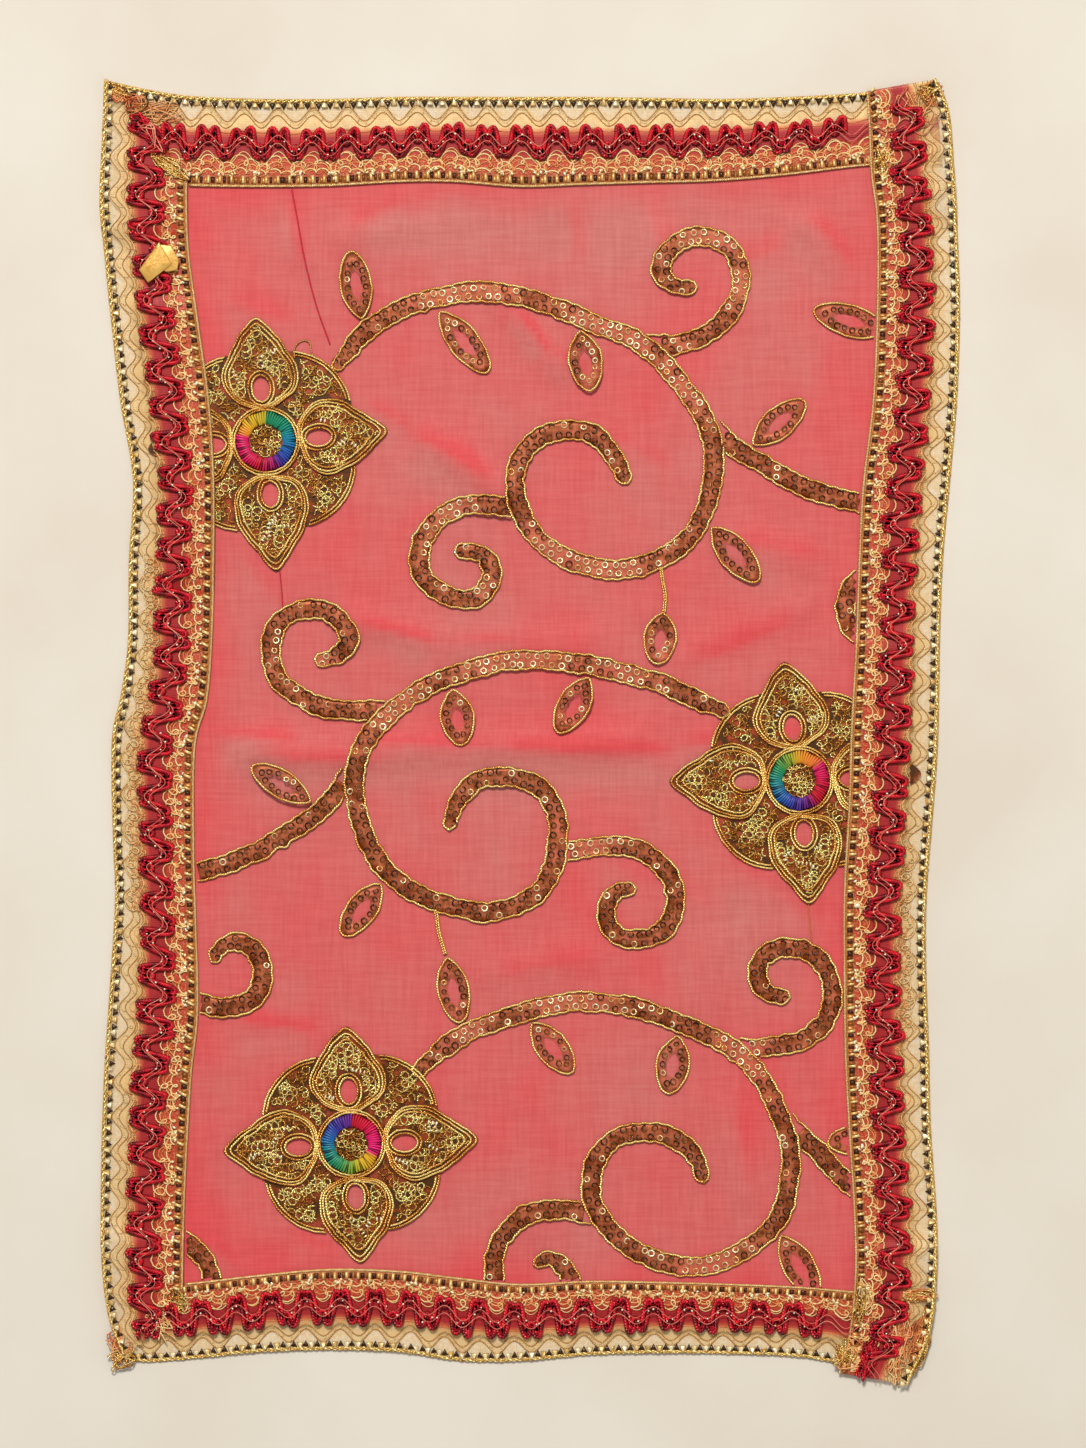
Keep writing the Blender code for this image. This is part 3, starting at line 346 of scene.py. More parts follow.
def spline_rows(rows: Sequence[Sequence[float]], per_span: int = 12) -> Line:
    """Joins the rows of a table by a Catmull-Rom spline.

    Args:
        rows: the rows to pass through.
        per_span: how many rows to make from each one to the next.

    Returns:
        Many rows close together.
    """
    rows = np.array(rows, float)
    padded = np.vstack([2 * rows[0] - rows[1], rows, 2 * rows[-1] - rows[-2]])
    joined = []
    for before, start, end, after in zip(padded, padded[1:], padded[2:], padded[3:]):
        for t in np.linspace(0, 1, per_span, endpoint=False):
            bend = (2 * before - 5 * start + 4 * end - after) * t**2
            bend = bend + (3 * start - before - 3 * end + after) * t**3
            joined.append(0.5 * (2 * start + (end - before) * t + bend))
    return np.array(joined + [rows[-1]])


def lengths_along(points: Line) -> Line:
    """How far each point is along the line through them."""
    return np.concatenate([[0.0], np.cumsum(np.linalg.norm(np.diff(points, axis=0), axis=1))])


def resampled(points: Line, step: float) -> Line:
    """The same line with other points.

    Args:
        points: the line.
        step: about how far apart the new ones are.

    Returns:
        The new points, evenly spaced.
    """
    run = lengths_along(points)
    stops = np.linspace(0, run[-1], max(3, round(run[-1] / step) + 1))
    return np.stack([np.interp(stops, run, points[:, k]) for k in range(points.shape[1])], axis=1)


def evenly_spaced(points: Sequence[Sequence[float]], step: float) -> Line:
    """A smooth line through the points, resampled about step apart."""
    return resampled(spline_rows(points), step)


def sideways(line: Line) -> Line:
    """The way to the left of a flat line.

    Args:
        line: its points, of which X and Y are read.

    Returns:
        A flat unit vector for each point.
    """
    run = np.gradient(line[:, :2], axis=0)
    run /= np.maximum(np.linalg.norm(run, axis=1, keepdims=True), 1e-9)
    return np.stack([-run[:, 1], run[:, 0]], axis=1)


def kept_runs(line: Line, keep: Line, least: int = 3) -> list[Line]:
    """Cuts a line down to the stretches that are kept.

    Args:
        line: its points.
        keep: which of them are kept.
        least: how many points a stretch has at least.

    Returns:
        The stretches.
    """
    runs, start = [], None
    for k, good in enumerate([*keep, False]):
        if good and start is None:
            start = k
        elif not good and start is not None:
            if k - start >= least:
                runs.append(line[start:k])
            start = None
    return runs


def turned_flat(points: Line, angle: float, place: Sequence[float]) -> Line:
    """Flat points turned about the origin and moved to a place."""
    c, s = math.cos(angle), math.sin(angle)
    x, y = points[:, 0], points[:, 1]
    return np.stack([x * c - y * s, x * s + y * c], axis=1) + place


def away_from(x: Line, y: Line, start: Sequence[float], end: Sequence[float]) -> tuple[Line, Line]:
    """Where points are beside a straight stretch.

    Args:
        x: the points' X.
        y: their Y.
        start: one end of the stretch.
        end: the other end.

    Returns:
        The signed distance from it, and the share of the way along it, from 0 to 1.
    """
    run_x, run_y = end[0] - start[0], end[1] - start[1]
    length = math.hypot(run_x, run_y)
    share = np.clip(((x - start[0]) * run_x + (y - start[1]) * run_y) / length**2, 0, 1)
    off_x, off_y = x - start[0] - share * run_x, y - start[1] - share * run_y
    side = np.sign(run_x * off_y - run_y * off_x)
    return np.hypot(off_x, off_y) * side, share


# ---------------------------------------------------------------- forms shared with the frame


class LaceLine:
    """One length of lace. Places along it are counted in waves, and across it from 0 outside to 1 inside."""

    def __init__(
        self, sections: list[Section], crosses: tuple[float, ...] = (), covered: Place | None = None
    ) -> None:
        """Joins the sections.

        Args:
            sections: the cross lines.
            crosses: inner edges, as Y, of the laces that this one lies over.
            covered: the stretch of Y where it rides over a flower.
        """
        self.rows = spline_rows(sections)
        self.run = lengths_along((self.rows[:, 0:2] + self.rows[:, 2:4]) / 2)
        self.waves = round(self.run[-1] / LACE_PITCH)
        self.pitch = self.run[-1] / self.waves
        self.crosses = crosses
        self.covered = covered

    def columns(self, wave: Line) -> Line:
        """The section's five values at each place along the lace, a row each."""
        along = self.run[-1] * np.clip(np.asarray(wave, float), 0, self.waves) / self.waves
        return np.stack([np.interp(along, self.run, self.rows[:, k]) for k in range(5)])

    def width(self, wave: Line) -> Line:
        """How wide the lace is, in millimetres."""
        outer_x, outer_y, inner_x, inner_y, _ = self.columns(wave)
        return np.hypot(inner_x - outer_x, inner_y - outer_y)

    def place(self, wave: Line, across: Line) -> tuple[Line, Line]:
        """X and Y, in millimetres."""
        outer_x, outer_y, inner_x, inner_y, _ = self.columns(wave)
        return outer_x + (inner_x - outer_x) * across, outer_y + (inner_y - outer_y) * across

    def edge(self, across: float) -> Line:
        """The whole line at this place across, as points."""
        return self.rows[:, 0:2] * (1 - across) + self.rows[:, 2:4] * across

    def underside(self, wave: Line, across: Line) -> Line:
        """The height of its underside: on the ground outside, on the net inside, over a lace that it crosses.

        Args:
            wave: places along it.
            across: places across it.

        Returns:
            The height at each place, with the curl of its outer edge.
        """
        y = self.place(wave, across)[1]
        on_net = np.full_like(y, NET_WALL + SEAM_GAP)
        if self.covered:
            low, high = self.covered
            share = smoothstep(low - CORNER_RAMP, low, y) * (1 - smoothstep(high, high + CORNER_RAMP, y))
            on_net += share * (LARGE_PETAL_WALL + SEAM_GAP)
        height = on_net * smoothstep(RAMP_FOOT, RAMP_HEAD, across)
        for edge_y in self.crosses:
            reach = abs(edge_y) - CORNER_MARGIN
            over = smoothstep(reach - CORNER_RAMP, reach, y * math.copysign(1, edge_y))
            height = np.maximum(height, over * (NET_WALL + LACE_WALL + 2 * SEAM_GAP))
        curl = np.maximum(0.0, self.columns(wave)[4])
        return height + curl * np.maximum(0.0, 1 - np.asarray(across) / RAMP_FOOT) ** 2

    def points(self, wave: Line, across: Line, lift: Line = 0.0) -> Line:
        """Points on the lace.

        Args:
            wave: places along it.
            across: places across it.
            lift: height over its underside.

        Returns:
            A row of X, Y and Z for each place.
        """
        wave, across = np.broadcast_arrays(np.asarray(wave, float), np.asarray(across, float))
        x, y = self.place(wave, across)
        return np.stack([x, y, self.underside(wave, across) + lift], axis=-1)


class Side(Enum):
    """The four lengths of lace."""

    TOP = "top"
    BOTTOM = "bottom"
    LEFT = "left"
    RIGHT = "right"


LACES = {
    Side.TOP: LaceLine(TOP_LACE),
    Side.BOTTOM: LaceLine(BOTTOM_LACE),
    Side.LEFT: LaceLine(LEFT_LACE, (272.0, -274.0), COVERED_BY_LEFT),
    Side.RIGHT: LaceLine(RIGHT_LACE, (282.0, -279.0), COVERED_BY_RIGHT),
}
# A corner where two laces meet on a slant: its inner point and its outer one.
MITRES = [((-170.3, 273.5), (-213.5, 327.5)), ((-172.5, -276.5), (-208.0, -319.0))]
MITRE_MARGIN = 3.0


def side_lines(across: float) -> dict[Side, tuple[Line, Line]]:
    """For each side, its line at one place across.

    Args:
        across: the place.

    Returns:
        What to interpolate: X by Y on the left and right, and Y by X at the top and bottom.
    """
    lines = {}
    for side, lace in LACES.items():
        line = lace.edge(across)
        key, value = (1, 0) if side in (Side.LEFT, Side.RIGHT) else (0, 1)
        order = np.argsort(line[:, key])
        lines[side] = (line[order, key], line[order, value])
    return lines


NET_LINES = side_lines(NET_EDGE)
INNER_LINES = side_lines(1.0)


def from_sides(x: Line, y: Line) -> Line:
    """The distance of each point from the nearest lace's inner edge, positive on the open net."""
    return np.minimum.reduce([
        x - np.interp(y, *INNER_LINES[Side.LEFT]),
        np.interp(y, *INNER_LINES[Side.RIGHT]) - x,
        np.interp(x, *INNER_LINES[Side.TOP]) - y,
        y - np.interp(x, *INNER_LINES[Side.BOTTOM]),
    ])


def free_of_lace(line: Line, clear: float = 0.3) -> Line:
    """Which points of a line show past the lace's inner edge."""
    return from_sides(line[:, 0], line[:, 1]) > clear


def past_mitre(side: Side, line: Line) -> Line:
    """Which points of a lace lie past the slant where it meets the next one.

    Args:
        side: which lace.
        line: its points.

    Returns:
        Whether each point is past it.
    """
    x, y = line[:, 0], line[:, 1]
    past = np.zeros(len(line), bool)
    for inner, outer in MITRES:
        up = math.copysign(1, inner[1])
        # Positive on the side of the top or bottom lace.
        slant = ((y - inner[1]) * (outer[0] - inner[0]) - (x - inner[0]) * (outer[1] - inner[1])) * -up
        near = (x < inner[0] + MITRE_MARGIN) & (y * up > abs(inner[1]) - MITRE_MARGIN)
        if side is Side.LEFT:
            past |= near & (slant > 0)
        elif side is (Side.TOP if up > 0 else Side.BOTTOM):
            past |= near & (slant < 0)
    return past


def net_place(u: Line, v: Line) -> tuple[Line, Line]:
    """Points of the net, which follow the four lace lines.

    Args:
        u: shares of its width.
        v: shares of its length.

    Returns:
        X and Y of each.
    """
    x, y = np.zeros_like(u), np.zeros_like(v)
    for _ in range(6):
        left, right = np.interp(y, *NET_LINES[Side.LEFT]), np.interp(y, *NET_LINES[Side.RIGHT])
        low, high = np.interp(x, *NET_LINES[Side.BOTTOM]), np.interp(x, *NET_LINES[Side.TOP])
        x, y = left + (right - left) * u, low + (high - low) * v
    return x, y


def net_top(x: Line, y: Line) -> Line:
    """The height of the net's upper face. Its folds are flat under the lace and low under a flower.

    Args:
        x: the points' X.
        y: their Y.

    Returns:
        The height at each point.
    """
    height = np.zeros_like(x)
    for fold in FOLDS:
        away, _ = away_from(x, y, fold[0:2], fold[2:4])
        height = np.maximum(height, fold.height * np.exp(-((away / max(fold.width, LEAST_FOLD_WIDTH)) ** 2)))
    for flower in FLOWERS:
        height = height * smoothstep(FLOWER_FLAT, FLOWER_FREE, np.hypot(x - flower.x, y - flower.y))
    return NET_WALL + height * smoothstep(FOLD_CLEAR, FOLD_FULL, from_sides(x, y))


def highest_net(line: Line, reach: float) -> Line:
    """The highest net near each point, so that what is sewn there clears it.

    Args:
        line: the points.
        reach: how far from each to look.

    Returns:
        The height there.
    """
    x, y = line[:, 0], line[:, 1]
    high = net_top(x, y)
    for turn in around(8):
        for r in (reach / 2, reach):
            high = np.maximum(high, net_top(x + r * math.cos(turn), y + r * math.sin(turn)))
    return high


# ---------------------------------------------------------------- finishes


def srgb(colour: Colour) -> tuple[float, float, float, float]:
    """A display colour as the linear one that a shader takes."""
    linear = [c / 255 / 12.92 if c <= 10.31475 else ((c / 255 + 0.055) / 1.055) ** 2.4 for c in colour]
    return (*linear, 1.0)


def feed(tree: bpy.types.NodeTree, node: bpy.types.Node, feeds: dict) -> None:
    """Links outputs to a node's inputs, or sets their plain values.

    Args:
        tree: the tree that the node is in.
        node: the node.
        feeds: for each input, what it gets.
    """
    for key, value in feeds.items():
        if isinstance(value, Socket):
            tree.links.new(value, node.inputs[key])
        else:
            node.inputs[key].default_value = value


def new_node(tree: bpy.types.NodeTree, kind: str, feeds: dict, settings: dict) -> bpy.types.Node:
    """A new node of a tree.

    Args:
        tree: the tree.
        kind: the node's type.
        feeds: for each of its inputs, the output that feeds it or its plain value.
        settings: its properties.

    Returns:
        The node.
    """
    node = tree.nodes.new(kind)
    for key, value in settings.items():
        setattr(node, key, value)
    feed(tree, node, feeds)
    return node


class ShaderBench:
    """Builds one material's nodes."""

    def __init__(self, name: str) -> None:
        """Makes the material, with its Principled shader as self.shader."""
        self.material = bpy.data.materials.new(name)
        self.material.use_nodes = True
        self.tree = self.material.node_tree
        self.shader = self.tree.nodes["Principled BSDF"]
        self.place = self.add("ShaderNodeTexCoord").outputs["Object"]

    def add(self, kind: str, feeds: dict | None = None, **settings: object) -> bpy.types.Node:
        """A new node."""
        return new_node(self.tree, kind, feeds or {}, settings)

    def math(self, operation: str, first: object, second: object = 0.0, clamp: bool = False) -> Socket:
        """A Math node's result, of two outputs or plain numbers."""
        feeds = {0: first, 1: second}
        return self.add("ShaderNodeMath", feeds, operation=operation, use_clamp=clamp).outputs[0]

    def plus(self, first: object, second: object, clamp: bool = False) -> Socket:
        """A sum."""
        return self.math("ADD", first, second, clamp)

    def times(self, first: object, second: object) -> Socket:
        """A product."""
        return self.math("MULTIPLY", first, second)

    def ranged(self, value: object, low: float, high: float, first: float = 0.0, last: float = 1.0) -> Socket:
        """The value mapped from low..high to first..last, held at both ends."""
        return self.add("ShaderNodeMapRange", dict(enumerate((value, low, high, first, last)))).outputs[0]

    def mix(self, share: object, first: object, second: object) -> Socket:
        """Two colours mixed, each an output or a display colour."""
        shades = [srgb(shade) if isinstance(shade, tuple) else shade for shade in (first, second)]
        feeds = {"Factor": share, 6: shades[0], 7: shades[1]}
        return self.add("ShaderNodeMix", feeds, data_type="RGBA").outputs[2]

    def ramp(self, value: object, stops: Stops) -> Socket:
        """A colour ramp.

        Args:
            value: what it reads.
            stops: its places, each with a display colour.

        Returns:
            The colour.
        """
        ramp = self.add("ShaderNodeValToRGB", {0: value})
        elements = ramp.color_ramp.elements
        elements[0].position, elements[1].position = stops[0][0], stops[-1][0]
        for place, _ in stops[1:-1]:
            elements.new(place)
        for element, (_, colour) in zip(elements, stops):
            element.color = srgb(colour)
        return ramp.outputs[0]

    def facing(self, way: tuple[float, float, float]) -> Socket:
        """How far the surface faces this way.

        Args:
            way: a direction of any length.

        Returns:
            A number from -1 to 1.
        """
        x, y, z = way
        length = math.sqrt(x * x + y * y + z * z)
        node = self.add("ShaderNodeVectorMath", operation="DOT_PRODUCT")
        self.tree.links.new(self.add("ShaderNodeNewGeometry").outputs["Normal"], node.inputs[0])
        node.inputs[1].default_value = (x / length, y / length, z / length)
        return node.outputs["Value"]

    def attribute(self, name: str) -> Socket:
        """A number stored on the mesh's points."""
        return self.add("ShaderNodeAttribute", attribute_name=name).outputs["Fac"]

    def upward(self) -> Socket:
        """How far the surface faces up, from -1 to 1."""
        split = self.add("ShaderNodeSeparateXYZ")
        self.tree.links.new(self.add("ShaderNodeNewGeometry").outputs["Normal"], split.inputs[0])
        return split.outputs["Z"]

    def noise(self, per_metre: float, detail: float = 2.0, stretch: Spot = (1, 1, 1)) -> Socket:
        """Noise over the piece.

        Args:
            per_metre: its scale.
            detail: octaves.
            stretch: a factor for the scale along each axis.

        Returns:
            The noise, from about 0.25 to 0.75.
        """
        mapping = self.add("ShaderNodeMapping", {"Vector": self.place, "Scale": stretch})
        feeds = {"Vector": mapping.outputs[0], "Scale": per_metre, "Detail": detail}
        return self.add("ShaderNodeTexNoise", feeds).outputs[0]

    def weave(self, pitch: float, distortion: float) -> Socket:
        """Crossed threads.

        Args:
            pitch: from one to the next, in millimetres.
            distortion: how unevenly they run.

        Returns:
            Their height, from 0 to 1.
        """
        feeds = {"Vector": self.place, "Scale": math.tau / (20 * pitch * MM), "Distortion": distortion}
        kind = "ShaderNodeTexWave"
        ways = [self.add(kind, feeds, wave_type="BANDS", bands_direction=axis) for axis in "XY"]
        return self.math("MAXIMUM", *(way.outputs["Fac"] for way in ways))

    def bump(self, height: object, strength: float, depth: float) -> None:
        """Gives the shader a bump."""
        node = self.add("ShaderNodeBump", {"Strength": strength, "Distance": depth * MM, "Height": height})
        self.settle(Normal=node.outputs[0])

    def settle(self, **values: object) -> None:
        """Sets the shader's sockets, whose names have _ for a space, to outputs or plain values."""
        feed(self.tree, self.shader, {name.replace("_", " "): value for name, value in values.items()})


@dataclass(frozen=True)
class ThreadFinish:
    """A twisted cord or yarn: painted light on top, painted shade on its underside where it meets the cloth.
    """

    name: str
    lit: Colour
    mid: Colour
    shade: Colour
    metal: float = 0.0
    rough: float = 0.45
    ply_pitch: float = 1.6  # of the twist, in millimetres
    ply_depth: float = 0.12
    sheen: float = 0.0
    coat: float = 0.0
    # How much lighter the plies' crests are and darker their grooves: painted light and shade.
    ply_painted_light: float = 0.14
    fleck_light: float = 0.16

    def build(self) -> Material:
        """The material, which reads a cord's attributes.

        Returns:
            The material.
        """
        bench = ShaderBench(self.name)
        turn = bench.times(bench.attribute("round"), 2 * math.tau)
        travel = bench.times(bench.attribute("run"), math.tau / self.ply_pitch)
        ply = bench.math("SINE", bench.plus(turn, travel))
        fleck = bench.noise(1100.0, 1.0)
        # Painted light on the plies' crests and painted shade in their grooves, over the lightness of its
        # tint and flecks.
        lightness = bench.plus(bench.attribute("tint"), bench.times(ply, self.ply_painted_light))
        lightness = bench.plus(lightness, bench.ranged(fleck, 0.3, 0.7, -self.fleck_light, self.fleck_light))
        body = bench.mix(bench.ranged(lightness, 0.35, 0.95), self.mid, self.lit)
        body = bench.mix(bench.ranged(lightness, 0.0, 0.35), self.shade, body)
        # Painted shade where the cord faces down, towards the cloth.
        colour = bench.mix(bench.ranged(bench.upward(), -0.1, 0.62), self.shade, body)
        rough = bench.ranged(fleck, 0.3, 0.7, self.rough - 0.08, self.rough + 0.1)
        bench.settle(Base_Color=colour, Roughness=rough, Metallic=self.metal, Sheen_Weight=self.sheen)
        bench.settle(Coat_Weight=self.coat, Coat_Roughness=0.25)
        bench.bump(ply, 0.6, self.ply_depth)
        return bench.material


@dataclass(frozen=True)
class ClothFinish:
    """A sheer cloth: open where its density is low, and closed where it doubles over itself."""

    name: str
    thin: Colour
    dense: Colour
    open_cover: float  # share of the light that one face stops where the density is 0
    shut_cover: float
    weave_pitch: float
    weave_cover: float
    streak: float = 0.0
    sheen: float = 0.0
    metal: float = 0.0
    rough: float = 0.6
    patch: float = 0.0  # how much its density changes over a few millimetres

    def build(self) -> Material:
        """The material, which reads the attribute closed.

        Returns:
            The material.
        """
        bench = ShaderBench(self.name)
        weave = bench.weave(self.weave_pitch, 0.6)
        down, along = (bench.noise(760.0, 2.0, stretch) for stretch in ((1.0, 0.07, 1.0), (0.07, 1.0, 1.0)))
        streaks = bench.math("SUBTRACT", bench.plus(down, along), 1.0)
        patch = bench.ranged(bench.noise(190.0, 2.0), 0.36, 0.64, -self.patch, self.patch)
        density = bench.plus(bench.attribute("closed"), bench.times(streaks, self.streak))
        density = bench.plus(density, patch, clamp=True)
        density = bench.plus(density, bench.times(bench.math("SUBTRACT", weave, 0.6), self.weave_cover))
        colour = bench.mix(density, self.thin, self.dense)
        shaded = tuple(0.74 * part for part in self.dense)
        colour = bench.mix(bench.ranged(streaks, -0.25, 0.3, 0.0, self.streak), colour, shaded)
        cover = bench.ranged(density, 0.0, 1.0, self.open_cover, self.shut_cover)
        rough = bench.ranged(weave, 0.0, 1.0, self.rough + 0.1, self.rough)
        bench.settle(Base_Color=colour, Alpha=cover, Roughness=rough, Metallic=self.metal)
        bench.settle(Sheen_Weight=self.sheen, Sheen_Roughness=0.4, Specular_IOR_Level=0.3)
        bench.bump(weave, 0.35, 0.08)
        return bench.material


@dataclass(frozen=True)
class WebFinish:
    """The knitted ground of the lace, whose colour changes across it."""

    name: str
    stops: Stops  # place across; colour
    open_cover: float = 0.08
    shut_cover: float = 0.86
    fuzz: Colour = (186, 106, 50)
    curl: Colour = (255, 230, 180)

    def build(self) -> Material:
        """The material, which reads the attributes closed and across.

        Returns:
            The material.
        """
        bench = ShaderBench(self.name)
        knit = bench.weave(0.9, 1.5)
        fuzz = bench.noise(520.0, 2.0)
        across = bench.attribute("across")
        colour = bench.ramp(across, self.stops)
        # The crimson middle keeps its own colour.
        plain = bench.plus(bench.ranged(across, 0.36, 0.42, 1.0, 0.0), bench.ranged(across, 0.64, 0.70))
        brown = bench.times(bench.ranged(fuzz, 0.35, 0.75, 0.0, 0.25), plain)
        colour = bench.mix(brown, colour, self.fuzz)
        curls = bench.times(bench.ranged(bench.noise(1100.0, 1.0), 0.54, 0.66, 0.0, 0.28), plain)
        colour = bench.mix(curls, colour, self.curl)
        density = bench.plus(bench.attribute("closed"), bench.ranged(fuzz, 0.3, 0.7, -0.15, 0.15), clamp=True)
        density = bench.plus(density, bench.times(bench.math("SUBTRACT", knit, 0.6), 0.15))
        cover = bench.ranged(density, 0.0, 1.0, self.open_cover, self.shut_cover)
        rough = bench.ranged(fuzz, 0.3, 0.7, 0.42, 0.58)
        bench.settle(Base_Color=colour, Alpha=cover, Roughness=rough)
        bench.settle(Metallic=0.1, Sheen_Weight=0.15, Sheen_Roughness=0.4)
        bench.bump(knit, 0.4, 0.1)
        return bench.material


@dataclass(frozen=True)
class SpangleFinish:
    """Small shiny stamps, dark, gold or flashing by their tint: painted reflections and highlights of one
    metal.
    """

    name: str
    dark: Colour
    gold: Colour
    flash: Colour
    metal: float = 0.8
    rough: float = 0.25
    glint: Spot = (0.55, 0.6, 0.75)  # the way that a part with a painted highlight faces
    crescent_highlight: float = 0.0  # how much painted gold highlight a dark stamp has there

    def build(self) -> Material:
        """The material, which reads the attribute tint of each stamp.

        Returns:
            The material.
        """
        bench = ShaderBench(self.name)
        tint = bench.attribute("tint")
        # Painted highlights: a gold crescent and a flash where the surface faces the glint's way, and a flash
        # on the brightest stamps.
        crescent_highlight = bench.ranged(bench.facing(self.glint), 0.80, 0.95, 0.0, self.crescent_highlight)
        lit = bench.plus(bench.ranged(tint, 0.35, 0.7), crescent_highlight, clamp=True)
        colour = bench.mix(lit, self.dark, self.gold)
        glint = bench.times(bench.ranged(bench.facing(self.glint), 0.72, 0.93), bench.ranged(tint, 0.55, 0.9))
        glint = bench.math("MAXIMUM", glint, bench.ranged(tint, 0.74, 0.95, 0.0, 0.85))
        colour = bench.mix(glint, colour, self.flash)
        scratch = bench.noise(2400.0, 1.0)
        rough = bench.ranged(scratch, 0.3, 0.7, self.rough - 0.08, self.rough + 0.12)
        bench.settle(Base_Color=colour, Roughness=rough, Metallic=self.metal)
        bench.bump(scratch, 0.3, 0.05)
        return bench.material


@dataclass(frozen=True)
class BandedFinish:
    """Satin thread wound round a ring, in bands of colour that run on one into the next."""

    name: str
    stops: Stops  # share of a turn, clockwise from the top; colour
    veil: Colour = (34, 20, 30)
    # The crease colour is painted shade, for the creases between bundles of thread.
    crease: Colour = (12, 6, 16)
    strands: int = 6  # of the thread

    def build(self) -> Material:
        """The material, which reads the attribute tint as a share of a turn.

        Returns:
            The material.
        """
        bench = ShaderBench(self.name)
        band = bench.mix(0.14, bench.ramp(bench.attribute("tint"), self.stops), self.veil)
        # Painted shade: darker where the thread is thin, in the creases between bundles, and where it doesn't
        # face up.
        dark = bench.mix(0.72, band, self.crease)
        top = bench.ranged(bench.upward(), 0.0, 0.7)
        body = bench.mix(bench.times(top, bench.ranged(bench.attribute("thickness"), 0.72, 0.98)), dark, band)
        strand = bench.math("SINE", bench.times(bench.attribute("round"), self.strands * math.tau))
        bench.settle(Base_Color=body, Roughness=0.45, Specular_IOR_Level=0.3)
        bench.bump(strand, 0.4, 0.06)
        return bench.material


@dataclass(frozen=True)
class FoilFinish:
    """Crumpled gold foil."""

    name: str
    lit: Colour
    shade: Colour

    def build(self) -> Material:
        """The material.

        Returns:
            The material.
        """
        bench = ShaderBench(self.name)
        crumple, fine = bench.noise(160.0, 3.0), bench.noise(900.0, 2.0)
        colour = bench.mix(bench.ranged(crumple, 0.3, 0.7), self.shade, self.lit)
        bench.settle(Base_Color=colour, Roughness=bench.ranged(fine, 0.3, 0.7, 0.22, 0.42), Metallic=0.35)
        bench.bump(bench.plus(crumple, bench.times(fine, 0.2)), 0.35, 0.4)
        return bench.material


@dataclass(frozen=True)
class FloorFinish:
    """A plain pale floor."""

    name: str
    base: Colour
    blotch: Colour

    def build(self) -> Material:
        """The material.

        Returns:
            The material.
        """
        bench = ShaderBench(self.name)
        patch = bench.ranged(bench.noise(7.0, 6.0), 0.38, 0.66)
        colour = bench.mix(patch, self.base, self.blotch)
        bench.settle(Base_Color=colour, Roughness=0.7, Specular_IOR_Level=0.25)
        return bench.material


# ---------------------------------------------------------------- Geometry Nodes and meshes


class Stamp(Enum):
    """Small shapes that are set on points."""

    SEQUIN = "sequin"
    FOIL = "foil"
    BAR = "bar"
    BEAD = "bead"


def linked(name: str, mesh: Mesh) -> Piece:
    """A new object of a mesh, at the origin, in the scene.

    Args:
        name: of the object.
        mesh: its mesh.

    Returns:
        The object.
    """
    obj = bpy.data.objects.new(name, mesh)
    bpy.context.scene.collection.objects.link(obj)
    return obj


def store(mesh: Mesh, name: str, values: Line) -> None:
    """Keeps a number or a vector for each point of a mesh.

    Args:
        mesh: the mesh.
        name: of the attribute.
        values: one for each point.
    """
    values = np.asarray(values, np.float32)
    vector = values.ndim == 2
    kept = mesh.attributes.new(name, "FLOAT_VECTOR" if vector else "FLOAT", "POINT")
    kept.data.foreach_set("vector" if vector else "value", values.ravel())


def point_mesh(name: str, places: Line, **values: Line) -> Mesh:
    """A mesh of loose points.

    Args:
        name: of the mesh.
        places: the points, in millimetres.
        values: its attributes, one value for each point.

    Returns:
        The mesh.
    """
    mesh = bpy.data.meshes.new(name)
    mesh.vertices.add(len(places))
    mesh.vertices.foreach_set("co", (places * MM).ravel())
    for key, value in values.items():
        store(mesh, key, value)
    return mesh


def applied(obj: Piece) -> Mesh:
    """Gives an object the mesh that its modifiers make, and removes them and the mesh that it had.

    Args:
        obj: the object.

    Returns:
        Its new mesh.
    """
    graph = bpy.context.evaluated_depsgraph_get()
    result = obj.evaluated_get(graph)
    made = bpy.data.meshes.new_from_object(result, preserve_all_data_layers=True, depsgraph=graph)
    obj.modifiers.clear()
    before, obj.data = obj.data, made
    bpy.data.meshes.remove(before)
    return made


